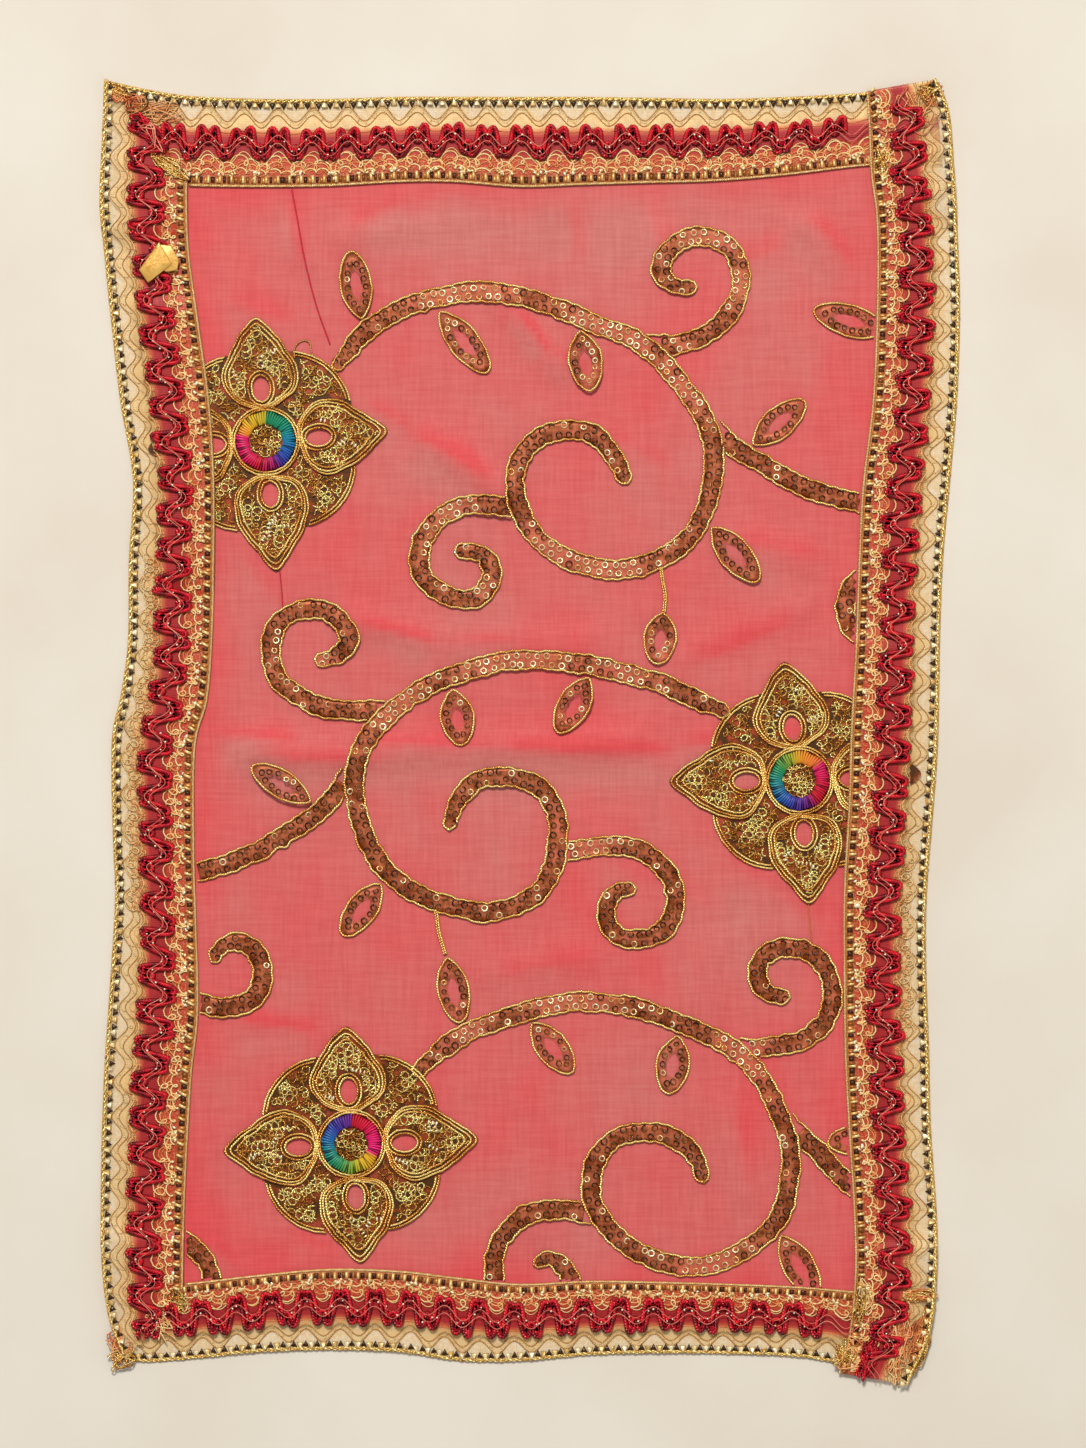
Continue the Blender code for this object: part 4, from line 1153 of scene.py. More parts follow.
class NodeTree:
    """A Geometry Nodes tree with named inputs, which ends in Realize Instances and Set Material."""

    def __init__(self, name: str, inputs: dict[str, str]) -> None:
        """Makes the tree's sockets.

        Args:
            name: the tree's name.
            inputs: for each named input, its socket type.
        """
        self.tree = bpy.data.node_groups.new(name, "GeometryNodeTree")
        face = self.tree.interface
        face.new_socket("Geometry", in_out="INPUT", socket_type="NodeSocketGeometry")
        sockets = {**inputs, "Finish": "NodeSocketMaterial"}
        self.keys = {
            key: face.new_socket(key, in_out="INPUT", socket_type=kind).identifier
            for key, kind in sockets.items()
        }
        face.new_socket("Geometry", in_out="OUTPUT", socket_type="NodeSocketGeometry")
        self.given = new_node(self.tree, "NodeGroupInput", {}, {}).outputs

    def add(self, kind: str, feeds: dict, **settings: object) -> Socket:
        """Adds a Geometry Nodes node."""
        return new_node(self.tree, "GeometryNode" + kind, feeds, settings).outputs[0]

    def reads(self, attribute: str, kind: str = "FLOAT_VECTOR") -> Socket:
        """What the mesh has stored under this name."""
        return self.add("InputNamedAttribute", {"Name": attribute}, data_type=kind)

    def finish(self, geometry: Socket) -> None:
        """Ends the tree with this geometry, realized and with its material set."""
        smooth = self.add("SetShadeSmooth", {"Geometry": geometry})
        real = self.add("RealizeInstances", {"Geometry": smooth})
        dressed = self.add("SetMaterial", {"Geometry": real, "Material": self.given["Finish"]})
        new_node(self.tree, "NodeGroupOutput", {"Geometry": dressed}, {})

    def run(self, name: str, mesh: Mesh, finish: Material, **values: float) -> Piece:
        """Runs the tree on a mesh and keeps the result as a plain mesh.

        Args:
            name: of the piece.
            mesh: what the tree reads.
            finish: the material it sets.
            values: the named inputs.

        Returns:
            The piece, at the origin.
        """
        obj = linked(name, mesh)
        modifier = obj.modifiers.new("nodes", "NODES")
        modifier.node_group = self.tree
        for key, value in {"Finish": finish, **values}.items():
            modifier[self.keys[key]] = value
        applied(obj).name = name
        return obj


def cord_tree() -> NodeTree:
    """Turns edge paths into round cords, with each point's thickness from its attribute.

    Returns:
        The tree.
    """
    tree = NodeTree("cord_on_path", {"Radius": "NodeSocketFloat", "Sides": "NodeSocketInt"})
    curve = tree.add("MeshToCurve", {"Mesh": tree.given["Geometry"]})
    upright = tree.add("SetCurveNormal", {"Curve": curve}, mode="Z_UP")
    feeds = {"Resolution": tree.given["Sides"], "Radius": tree.given["Radius"]}
    circle = tree.add("CurvePrimitiveCircle", feeds)
    # The profile starts at the bottom, so that the step in "round" is out of sight.
    down = tree.add("Transform", {"Geometry": circle, "Rotation": (0, 0, math.pi / 2)})
    share = tree.add("SplineParameter", {})
    feeds = {"Geometry": down, "Name": "round", "Value": share}
    profile = tree.add("StoreNamedAttribute", feeds, data_type="FLOAT")
    thickness = tree.reads("thickness", "FLOAT")
    feeds = {"Curve": upright, "Profile Curve": profile, "Scale": thickness, "Fill Caps": True}
    tree.finish(tree.add("CurveToMesh", feeds))
    return tree


def stamp_tree(stamp: Stamp) -> NodeTree:
    """Sets a small shape on every point, by its attributes turn and size.

    Args:
        stamp: which shape.

    Returns:
        The tree.
    """
    tree = NodeTree(f"{stamp.value}_on_points", {"Width": "NodeSocketFloat", "Depth": "NodeSocketFloat"})
    width, depth = tree.given["Width"], tree.given["Depth"]
    if stamp is Stamp.SEQUIN:
        circle = tree.add("CurvePrimitiveCircle", {"Resolution": 8, "Radius": width})
        section = tree.add("CurvePrimitiveQuadrilateral", {"Width": SEQUIN_RIM * MM, "Height": depth})
        cupped = tree.add("Transform", {"Geometry": section, "Rotation": (0, 0, SEQUIN_CUP)})
        shape = tree.add("CurveToMesh", {"Curve": circle, "Profile Curve": cupped})
    elif stamp is Stamp.FOIL:
        feeds = {"Vertices": 3, "Radius Top": FOIL_TOP * MM, "Radius Bottom": width, "Depth": depth}
        shape = tree.add("MeshCone", feeds)
    elif stamp is Stamp.BAR:
        size = new_node(tree.tree, "ShaderNodeCombineXYZ", {"X": width, "Y": width, "Z": depth}, {})
        shape = tree.add("MeshCube", {"Size": size.outputs[0]})
    else:
        shape = tree.add("MeshIcoSphere", {"Radius": width, "Subdivisions": 1})
    turn = new_node(tree.tree, "FunctionNodeEulerToRotation", {"Euler": tree.reads("turn")}, {}).outputs[0]
    feeds = {"Points": tree.given["Geometry"], "Instance": shape, "Rotation": turn}
    feeds["Scale"] = tree.reads("size")
    tree.finish(tree.add("InstanceOnPoints", feeds))
    return tree


@dataclass
class Paths:
    """Paths that become cords of one yarn."""

    lines: list[Line] = field(default_factory=list)
    tints: list[Line] = field(default_factory=list)
    thicknesses: list[Line] = field(default_factory=list)
    closings: list[bool] = field(default_factory=list)

    def add(self, line: Line, tint: Line = 0.5, thickness: Line = 1.0, closed: bool = False) -> None:
        """Adds a path.

        Args:
            line: its points, in millimetres.
            tint: how light it is, one number or one for each point.
            thickness: a factor for its radius, one number or one for each point.
            closed: whether its last point joins its first.
        """
        if len(line) < 2:
            return
        self.lines.append(np.asarray(line, float))
        self.tints.append(np.broadcast_to(np.asarray(tint, float), len(line)))
        self.thicknesses.append(np.broadcast_to(np.asarray(thickness, float), len(line)))
        self.closings.append(closed)

    def mesh(self, name: str) -> Mesh:
        """The paths as edges.

        Args:
            name: of the mesh.

        Returns:
            The mesh, with the attributes run, tint and thickness.
        """
        edges, first = [], 0
        for line, closed in zip(self.lines, self.closings):
            last = first + len(line) - 1
            steps = np.arange(first, last)
            edges.append(np.stack([steps, steps + 1], axis=1))
            if closed:
                edges.append(np.array([[last, first]]))
            first = last + 1
        run = np.concatenate([lengths_along(line) for line in self.lines])
        tint, thickness = np.concatenate(self.tints), np.concatenate(self.thicknesses)
        mesh = point_mesh(name, np.vstack(self.lines), run=run, tint=tint, thickness=thickness)
        edges = np.vstack(edges)
        mesh.edges.add(len(edges))
        mesh.edges.foreach_set("vertices", edges.ravel())
        return mesh


Book = dict["Yarn", Paths]  # the paths of each yarn


@dataclass
class Points:
    """Places for one kind of stamp."""

    places: list[Line] = field(default_factory=list)
    turns: list[Line] = field(default_factory=list)
    sizes: list[Line] = field(default_factory=list)
    tints: list[Line] = field(default_factory=list)

    def add(self, place: Line, turn: Line, size: Line, tint: Line) -> None:
        """Adds stamps.

        Args:
            place: their places, a row each, in millimetres.
            turn: their Euler angles.
            size: factors for their size along each axis.
            tint: how light each is.
        """
        self.places.append(place)
        self.turns.append(turn)
        self.sizes.append(np.broadcast_to(np.asarray(size, float), place.shape))
        self.tints.append(tint)

    def mesh(self, name: str) -> Mesh:
        """The places as loose points, with the attributes turn, size and tint."""
        turns, sizes, tints = np.vstack(self.turns), np.vstack(self.sizes), np.concatenate(self.tints)
        return point_mesh(name, np.vstack(self.places), turn=turns, size=sizes, tint=tints)


def sheet_mesh(
    name: str, points: Line, faces: Sequence[Sequence[int]], density: Line, across: Line | None = None
) -> Mesh:
    """An open cloth mesh.

    Args:
        name: the mesh's name.
        points: X, Y and Z of each point, in millimetres.
        faces: each face's points.
        density: how closed the cloth is at each point, from 0 to 1.
        across: each point's place across a lace.

    Returns:
        The mesh, smooth and facing up.
    """
    used = sorted({i for face in faces for i in face})
    renumbered = {old: new for new, old in enumerate(used)}
    points = points[used]
    faces = [[renumbered[i] for i in face] for face in faces]
    a, b, c = (points[i] for i in faces[0][:3])
    if (b[0] - a[0]) * (c[1] - a[1]) - (b[1] - a[1]) * (c[0] - a[0]) < 0:
        faces = [face[::-1] for face in faces]
    mesh = bpy.data.meshes.new(name)
    mesh.from_pydata((points * MM).tolist(), [], faces)
    mesh.shade_smooth()
    store(mesh, "closed", density[used])
    if across is not None:
        store(mesh, "across", across[used])
    return mesh


def thickened(obj: Piece, wall: float) -> None:
    """Gives an open sheet a real thickness below it.

    Args:
        obj: the sheet.
        wall: its thickness, in millimetres.
    """
    solidify = obj.modifiers.new("wall", "SOLIDIFY")
    solidify.thickness = wall * MM
    solidify.offset = -1.0
    applied(obj)


def grid_faces(rows: int, columns: int) -> list[tuple[int, ...]]:
    """The quads of a grid of points.

    Args:
        rows: how many rows of points.
        columns: how many points in a row.

    Returns:
        Each quad's four points.
    """
    return [
        (r * columns + c, r * columns + c + 1, (r + 1) * columns + c + 1, (r + 1) * columns + c)
        for r in range(rows - 1)
        for c in range(columns - 1)
    ]


def whole_faces(rows: int, shown: Line) -> list[tuple[int, ...]]:
    """The quads of a grid of points whose corners all show."""
    return [quad for quad in grid_faces(rows, len(shown) // rows) if all(shown[i] for i in quad)]


# ---------------------------------------------------------------- the workroom: yarns, finishes and trees


class Yarn(Enum):
    """The cords and threads, each with its finish."""

    CRIMSON = ThreadFinish(
        "crimson_yarn", (232, 20, 40), (172, 2, 26), (96, 2, 16), 0.3, 0.28, 1.4, 0.3, 0.0, 0.06,
    )
    PINK = ThreadFinish("pink_thread", (255, 170, 136), (230, 98, 80), (160, 26, 30), 0.0, 0.4, 1.0)
    IVORY = ThreadFinish("ivory_thread", (255, 230, 164), (238, 176, 94), (174, 84, 28), 0.1, 0.4, 1.1)
    PEACH = ThreadFinish("peach_thread", (255, 192, 124), (228, 128, 66), (170, 58, 22), 0.1, 0.42, 1.1)
    BRONZE = ThreadFinish("bronze_thread", (232, 168, 88), (204, 138, 64), (146, 86, 34), 0.3, 0.38, 1.0)
    EDGE = ThreadFinish("edge_chain", (255, 234, 156), (236, 186, 90), (158, 106, 38), 0.5, 0.3, 1.9, 0.22)
    SELVEDGE = ThreadFinish(
        "inner_cord", (255, 234, 172), (244, 194, 114), (176, 108, 44), 0.35, 0.34, 1.8, 0.22,
    )
    CORD = ThreadFinish("zari_cord", (255, 222, 132), (226, 148, 52), (48, 20, 0), 0.55, 0.26, 1.3, 0.2)
    WIRE = ThreadFinish("zari_wire", (255, 238, 146), (200, 124, 20), (32, 12, 0), 0.55, 0.26, 1.2, 0.16)
    CLARET = ThreadFinish("claret_thread", (232, 24, 62), (208, 14, 50), (150, 6, 34), 0.0, 0.5, 0.9)
    ORANGE = ThreadFinish("orange_thread", (226, 140, 76), (204, 112, 52), (150, 70, 30), 0.0, 0.5, 0.9)


class Cloth(Enum):
    """The sheer cloths, each with its finish."""

    # The net's thin colour is greyed with painted shade, the floor's shadow seen through the net.
    NET = ClothFinish("coral_net", (217, 128, 121), (221, 73, 77), 0.78, 0.97, 0.8, 0.14, 0.24, 0.0)
    WEB = WebFinish("lace_web", (
        (0.0, (226, 172, 76)), (0.06, (255, 230, 166)), (0.34, (255, 214, 138)), (0.40, (226, 112, 70)),
        (0.45, (190, 36, 38)), (0.62, (176, 18, 24)), (0.70, (214, 68, 28)), (0.84, (204, 52, 10)),
        (0.89, (168, 76, 20)), (0.94, (206, 112, 34)), (1.0, (186, 112, 44)),
    ))
    BED = ClothFinish(
        "vine_bed", (255, 150, 96), (142, 56, 8), 0.2, 0.86, 0.7, 0.2, 0.6, 0.0, 0.3, 0.36, 0.36,
    )
    PLATE = ClothFinish(
        "petal_ground", (202, 88, 34), (76, 42, 2), 0.25, 0.95, 0.8, 0.16, 0.4, 0.0, 0.2, 0.4, 0.6,
    )


class Spangle(Enum):
    """The small shiny stamps, each with its finish."""

    SEQUIN = SpangleFinish(
        "sequin", (46, 17, 2), (214, 146, 60), (255, 248, 200), 0.45, 0.24, (0.5, -0.6, 0.7), 0.8,
    )
    TRIANGLE = SpangleFinish("edge_foil", (60, 36, 8), (240, 190, 96), (255, 240, 196), 0.35, 0.3, (0, 0, 1))
    RUNG = SpangleFinish("ladder_foil", (70, 30, 6), (218, 130, 42), (255, 226, 150), 0.3, 0.32, (0, 0, 1))
    BEAD = SpangleFinish("gold_bead", (188, 136, 66), (246, 214, 142), (255, 250, 222), 0.4, 0.25)


RING_BANDS = {
    "flower_upper": (
        (0.0, (34, 140, 84)), (0.14, (22, 150, 116)), (0.24, (12, 132, 170)), (0.33, (36, 92, 184)),
        (0.40, (70, 50, 160)), (0.445, (180, 30, 110)), (0.54, (214, 16, 44)), (0.62, (224, 16, 90)),
        (0.78, (236, 18, 110)), (0.795, (240, 134, 34)), (0.88, (244, 190, 30)), (0.995, (196, 176, 44)),
    ),
    "flower_middle": (
        (0.0, (240, 160, 40)), (0.12, (244, 120, 50)), (0.15, (232, 30, 110)), (0.27, (214, 16, 60)),
        (0.38, (206, 20, 40)), (0.44, (120, 30, 130)), (0.54, (60, 56, 168)), (0.64, (24, 104, 176)),
        (0.74, (20, 146, 140)), (0.84, (40, 150, 84)), (0.93, (150, 176, 50)), (0.995, (236, 170, 40)),
    ),
    "flower_lower": (
        (0.0, (196, 20, 40)), (0.10, (224, 20, 60)), (0.20, (236, 20, 110)), (0.315, (236, 30, 120)),
        (0.33, (244, 176, 30)), (0.43, (226, 190, 40)), (0.49, (150, 178, 50)), (0.57, (50, 152, 84)),
        (0.68, (20, 148, 130)), (0.78, (20, 110, 180)), (0.88, (60, 60, 170)), (0.985, (110, 40, 140)),
    ),
}


class Workroom:
    """Makes each material and tree once, and turns paths and points into pieces."""

    def __init__(self) -> None:
        """Starts with the trees."""
        self.materials: dict[object, Material] = {}
        self.cord = cord_tree()
        self.stamps = {stamp: stamp_tree(stamp) for stamp in Stamp}

    def material(self, finish: object) -> Material:
        """The material of a finish, or of an option that holds one.

        Args:
            finish: which one.

        Returns:
            The material, made the first time it is asked for.
        """
        finish = finish.value if isinstance(finish, Enum) else finish
        if finish not in self.materials:
            self.materials[finish] = finish.build()
        return self.materials[finish]

    def cords(self, name: str, paths: Paths, finish: object, radius: float, sides: int = 5) -> Piece:
        """A piece of cords along paths, with a radius in millimetres."""
        return self.cord.run(name, paths.mesh(name), self.material(finish), Radius=radius * MM, Sides=sides)

    def stamped(
        self, name: str, points: Points, stamp: Stamp, finish: Spangle, width: float, depth: float
    ) -> Piece:
        """A piece of stamps on points, with its sizes in millimetres."""
        tree, mesh = self.stamps[stamp], points.mesh(name)
        return tree.run(name, mesh, self.material(finish), Width=width * MM, Depth=depth * MM)

    def cloth(self, name: str, mesh: Mesh, finish: Cloth, wall: float) -> Piece:
        """A thin piece of cloth.

        Args:
            name: of the piece.
            mesh: its open sheet.
            finish: its finish.
            wall: its thickness, in millimetres.

        Returns:
            The piece.
        """
        obj = linked(name, mesh)
        mesh.materials.append(self.material(finish))
        thickened(obj, wall)
        return obj


def joined(name: str, pieces: list[Piece]) -> Piece:
    """Joins pieces into the first one.

    Args:
        name: its new name.
        pieces: the pieces.

    Returns:
        The first one.
    """
    first = pieces[0]
    with bpy.context.temp_override(active_object=first, object=first, selected_editable_objects=pieces):
        bpy.ops.object.join()
    first.name = name
    first.data.name = name
    return first


def hand_in(piece: Piece, slot: str, *nodes: str) -> Piece:
    """Says that a piece is part of the stole.

    Args:
        piece: the piece.
        slot: not used.
        nodes: the nodes that it stands for.

    Returns:
        The piece.
    """
    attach(piece, BODY)
    if nodes:
        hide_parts(*nodes)
    log.info("%s: %d faces", piece.name, len(piece.data.polygons))
    return piece


@dataclass
class SewnPart:
    """A sub-assembly of the stole. Its pieces are made in a workroom."""

    room: Workroom

    def build(self) -> None:
        """Makes and hands in its pieces."""
        raise NotImplementedError


# ---------------------------------------------------------------- the net


# A crease where the net doubles: its two ends, how far its middle bows to the left, how red and how wide.
Crease = namedtuple("Crease", "start_x start_y end_x end_y bow depth width")
CREASES = [
    Crease(-163, -1, -112, -5, 1.5, 0.9, 5.0),
    Crease(-150, -9, -60, -13, -2.0, 0.7, 5.0),
    Crease(-95, -6, 0, -8, 2.0, 0.7, 5.0),
    Crease(-30, -5, 84, -9, -1.5, 1.0, 5.0),
    Crease(60, -8, 160, 0, 2.0, 0.7, 6.5),
    Crease(-66, 152, -14, 122, 3.0, 1.0, 7.0),
    Crease(-84, 166, -56, 149, 1.0, 0.6, 5.0),
    Crease(-9, 213, 12, 186, 1.0, 1.1, 3.4),
    Crease(8, 192, 28, 177, 1.0, 0.6, 4.0),
    Crease(-92, 251, -58, 268, 2.5, 0.8, 8.0),
    Crease(-62, 266, -20, 272, 1.5, 0.8, 8.0),
    Crease(-119, 272, -113, 230, -1.0, 0.7, 3.0),
    Crease(134, 262, 166, 226, 3.0, 0.8, 7.0),
    Crease(56, 272, 70, 236, 0.5, 0.6, 8.0),
    Crease(20, 270, 25, 232, 0.5, 0.45, 6.0),
    Crease(-88, 56, -42, 43, 1.0, 0.9, 4.6),
    Crease(-46, 44, -4, 46, 1.0, 0.6, 5.0),
    Crease(74, 34, 136, 60, -2.0, 0.6, 8.0),
    Crease(96, 99, 154, 85, 1.0, 0.5, 8.0),
    Crease(-150, -143, -102, -150, 1.0, 0.7, 5.0),
    Crease(-164, -250, -145, -270, 1.0, 0.8, 4.6),
    Crease(-156, 218, -114, 204, 1.0, 0.45, 8.0),
    Crease(-124, -249, -86, -263, -1.0, 0.45, 7.0),
    Crease(-24, -123, 36, -111, 1.0, 0.4, 7.0),
    Crease(103, -172, 109, -236, 1.0, 0.35, 7.0),
    Crease(-70, 92, -34, 126, 1.0, 0.4, 8.0),
    Crease(92, 231, 132, 246, 1.0, 0.5, 9.0),
    Crease(36, 152, 74, 130, 1.0, 0.4, 7.0),
    Crease(-154, 102, -116, 56, 1.0, 0.4, 9.0),
    Crease(96, -57, 154, -103, 1.0, 0.4, 8.0),
    Crease(-60, -150, -66, -230, 1.0, 0.35, 8.0),
    Crease(30, -60, 100, -90, 1.0, 0.3, 9.0),
]
# Where the net lies thin and grey with painted shade, or thick and red: the middle of a patch, its half sizes
# and the change.
Patch = namedtuple("Patch", "x y reach_x reach_y change")
PATCHES = [
    Patch(-45, 250, 62, 18, -0.26),
    Patch(72, 262, 60, 14, -0.20),
    Patch(60, 232, 26, 26, -0.14),
    Patch(-128, 240, 30, 26, -0.10),
    Patch(110, 190, 44, 26, -0.10),
    Patch(-20, 150, 54, 34, -0.10),
    Patch(0, -24, 150, 9, -0.26),
    Patch(0, 5, 160, 8, 0.20),
    Patch(-140, -160, 20, 60, 0.12),
    Patch(20, -100, 70, 26, -0.10),
    Patch(-10, -190, 60, 30, 0.08),
    Patch(140, -250, 26, 30, 0.10),
    Patch(-40, 100, 40, 24, 0.08),
]


@dataclass
class NetCloth(SewnPart):
    """The sheer net panel, with soft folds and with creases where it doubles over itself."""

    width: float = 401.0
    length: float = 617.0
    columns: int = 134
    rows: int = 204
    wall: float = 0.25
    edge_fade: float = 26.0  # creases and puffs fade, and the lace's painted shade fades out, over this distance from the lace
    crease_lift: float = 0.9
    puff: float = 0.35  # of the shallow billows between the creases
    drop: float = 0.25  # below the folds, so that what is sewn on the net stays clear of it
    closed: float = 0.53
    patch_strength: float = 1.05

    def creases(self, x: Line, y: Line) -> tuple[Line, Line, Line]:
        """What the creases do to the cloth.

        Args:
            x: the points' X.
            y: their Y.

        Returns:
            How red they make each point, how grey the cloth beside them is (thinner, with painted shade), and
            how far they lift it.
        """
        red, grey, lift = np.zeros_like(x), np.zeros_like(x), np.zeros_like(x)
        for crease in CREASES:
            away, share = away_from(x, y, crease[0:2], crease[2:4])
            away = away - crease.bow * 4 * share * (1 - share)
            depth = crease.depth * (smoothstep(0, 0.3, share) * (1 - smoothstep(0.7, 1, share)))
            # One side of a crease is sharp, where the fold turns, and the other runs out softly.
            soft = np.where(away > 0, crease.width, crease.width * 0.38)
            red = np.maximum(red, depth * np.exp(-((away / soft) ** 2)))
            # Beside the sharp side the cloth is thinner and greyer: thinner cloth, with painted shade beside
            # the fold.
            beside = np.exp(-(((away + 2.0 * crease.width) / (1.6 * crease.width)) ** 2))
            grey = np.maximum(grey, depth * beside)
            lift = np.maximum(lift, depth * np.exp(-((away / crease.width) ** 2)))
        return red, grey, lift

    def billows(self, x: Line, y: Line) -> tuple[Line, Line]:
        """Broad uneven puffs of the cloth.

        Args:
            x: the points' X.
            y: their Y.

        Returns:
            How high they are, and how closed the cloth looks there.
        """
        spots = np.stack([x, y], axis=1)
        broad = np.array([noise.noise((px / 55, py / 70, 3.0)) for px, py in spots])
        fine = np.array([noise.noise((px / 17 + py / 40, py / 26 - px / 50, 8.0)) for px, py in spots])
        return broad * 0.65 + fine * 0.35, broad * 0.75 + fine * 0.35

    def build(self) -> None:
        """Makes the panel."""
        u, v = np.meshgrid(np.linspace(0, 1, self.columns), np.linspace(0, 1, self.rows))
        x, y = net_place(u.ravel(), v.ravel())
        inside = smoothstep(0, self.edge_fade, from_sides(x, y))
        red, grey, lift = self.creases(x, y)
        puffs, cover = self.billows(x, y)
        rise = lift * self.crease_lift * 0.35 + puffs * self.puff * 0.6 - self.drop
        height = net_top(x, y) + inside * rise
        creased = (0.62 * red - 0.38 * grey) * (0.3 + 0.7 * inside)
        # Denser and redder near the lace: painted shade by its edge.
        density = self.closed + 0.55 * cover + creased + 0.22 * (1 - inside)
        for patch in PATCHES:
            away = ((x - patch.x) / patch.reach_x) ** 2 + ((y - patch.y) / patch.reach_y) ** 2
            density += self.patch_strength * patch.change * np.exp(-away)
        points = np.stack([x, y, height], axis=1)
        mesh = sheet_mesh("net_cloth", points, grid_faces(self.rows, self.columns), np.clip(density, 0.05, 1))
        panel = self.room.cloth("net_cloth", mesh, Cloth.NET, self.wall)
        hand_in(panel, "net", "net_panel")


# ---------------------------------------------------------------- the lace


@dataclass(frozen=True)
class Ripple:
    """A thread that waves along a lace, from its place across at a crest to that at a trough."""

    yarn: Yarn
    crest: float
    trough: float
    lift: float = 0.75
    thick: float = 1.0
    beats: float = 1.0
    shift: float = 0.0  # of its crests, in waves
    tint: float = 0.5


@dataclass(frozen=True)
class Scribble:
    """A thread worked in small loops along a ripple."""

    yarn: Yarn
    crest: float
    trough: float
    reach: float  # half the size of a loop, in millimetres
    loops: int  # in a wave
    lift: float = 0.85
    thick: float = 1.15
    tint: float = 0.6
    tall: float = 1.0
    between: Place | None = None  # the stretch of Y where it is worked


@dataclass(frozen=True)
class Meander:
    """The crimson yarn: twin tips towards the outer edge at a crest, and twin tips inwards at a trough."""

    outer: float
    dip: float
    middle: float
    inner: float
    rise: float
    outer_gap: float  # half the distance between the tips, in waves
    inner_gap: float

    def knots(self) -> list[Place]:
        """One wave of it.

        Returns:
            Places along and across.
        """
        half = [(0.0, self.dip), (self.outer_gap, self.outer), (0.26, self.middle)]
        half.append((0.5 - self.inner_gap, self.inner))
        return [*((-along, across) for along, across in reversed(half[1:])), *half, (0.5, self.rise)]


@dataclass(frozen=True)
class Knit:
    """How one length of lace is worked."""

    first: Ripple  # the two ripples that bound the openings
    second: Ripple
    half_moons: bool
    ripples: tuple[Ripple, ...]
    scribbles: tuple[Scribble, ...]
    meander: Meander
    rung_tilt: float
    bare: Place  # waves left without crimson at its start and end


def open_knit(meander: Meander, rung_tilt: float, bare: Place) -> Knit:
    """The clean open knit of the top and bottom laces.

    Args:
        meander: of the crimson yarn.
        rung_tilt: slant of the ladder's bars.
        bare: waves left without crimson at its start and end.

    Returns:
        The knit.
    """
    return Knit(
        first=Ripple(Yarn.BRONZE, 0.10, 0.265, 0.7, 0.8),
        second=Ripple(Yarn.BRONZE, 0.18, 0.335, 0.8, 0.8),
        half_moons=True,
        ripples=(
            Ripple(Yarn.IVORY, 0.115, 0.28, 0.5, 0.7, tint=0.8),
            Ripple(Yarn.PEACH, 0.365, 0.395, 0.6, 0.9, tint=0.5),
            Ripple(Yarn.PINK, 0.42, 0.56, 3.0, 0.85, tint=0.6),
            Ripple(Yarn.PINK, 0.50, 0.65, 3.0, 0.85, tint=0.5),
            Ripple(Yarn.PEACH, 0.74, 0.87, 1.0, 1.1, tint=0.6),
            Ripple(Yarn.IVORY, 0.60, 0.76, 0.9, 1.1, 1.0, tint=0.7),
            Ripple(Yarn.PEACH, 0.80, 0.85, 0.8, 1.0, 3.0, tint=0.6),
        ),
        scribbles=(
            Scribble(Yarn.IVORY, 0.145, 0.30, 1.1, 4, 0.6, 0.6, 0.9),
            Scribble(Yarn.IVORY, 0.68, 0.77, 2.2, 3, 1.0, 1.6, 0.75),
            Scribble(Yarn.PEACH, 0.74, 0.81, 2.0, 3, 0.9, 1.7, 0.6),
            Scribble(Yarn.IVORY, 0.82, 0.84, 1.3, 3, 1.0, 1.7, 0.85),
        ),
        meander=meander,
        rung_tilt=rung_tilt,
        bare=bare,
    )


def crowded_knit(rung_tilt: float, loose: float, jumbled: Place) -> Knit:
    """The crowded knit of the side laces.

    Args:
        rung_tilt: slant of the ladder's bars.
        loose: how far its outer threads swing, as a share.
        jumbled: the stretch of Y where its outer threads are tangled in loops.

    Returns:
        The knit.
    """
    return Knit(
        first=Ripple(Yarn.BRONZE, 0.11, 0.11 + 0.15 * loose, 0.7, 0.8),
        second=Ripple(Yarn.BRONZE, 0.19, 0.19 + 0.15 * loose, 0.8, 0.8),
        half_moons=False,
        ripples=(
            Ripple(Yarn.IVORY, 0.26, 0.36, 0.8, 1.0, tint=0.8),
            Ripple(Yarn.BRONZE, 0.29, 0.375, 0.9, 0.7, shift=0.06, tint=0.7),
            Ripple(Yarn.PEACH, 0.31, 0.40, 0.8, 0.9, shift=0.12, tint=0.8),
            Ripple(Yarn.PINK, 0.41, 0.60, 3.0, 0.85, tint=0.6),
            Ripple(Yarn.PINK, 0.46, 0.65, 3.0, 0.85, shift=0.05, tint=0.5),
            Ripple(Yarn.PEACH, 0.70, 0.84, 1.0, 1.1, tint=0.6),
        ),
        scribbles=(
            Scribble(Yarn.IVORY, 0.19, 0.25, 2.2, 4, 1.0, 1.1, 0.75, between=jumbled),
            Scribble(Yarn.PEACH, 0.27, 0.33, 2.0, 5, 0.9, 1.0, 0.55, between=jumbled),
            Scribble(Yarn.IVORY, 0.16, 0.16 + 0.14 * loose, 1.2, 4, 0.6, 0.6, 0.9),
            Scribble(Yarn.PEACH, 0.28, 0.37, 1.5, 4, 0.8, 0.9, 0.6),
            Scribble(Yarn.IVORY, 0.67, 0.79, 2.6, 3, 1.1, 1.7, 0.75, 1.1),
            Scribble(Yarn.PEACH, 0.73, 0.82, 2.3, 3, 1.0, 1.8, 0.55, 1.1),
            Scribble(Yarn.IVORY, 0.80, 0.84, 1.6, 3, 1.2, 1.7, 0.9),
        ),
        meander=Meander(0.35, 0.46, 0.53, 0.70, 0.60, 0.15, 0.13),
        rung_tilt=rung_tilt,
        bare=(0.4, 0.4),
    )


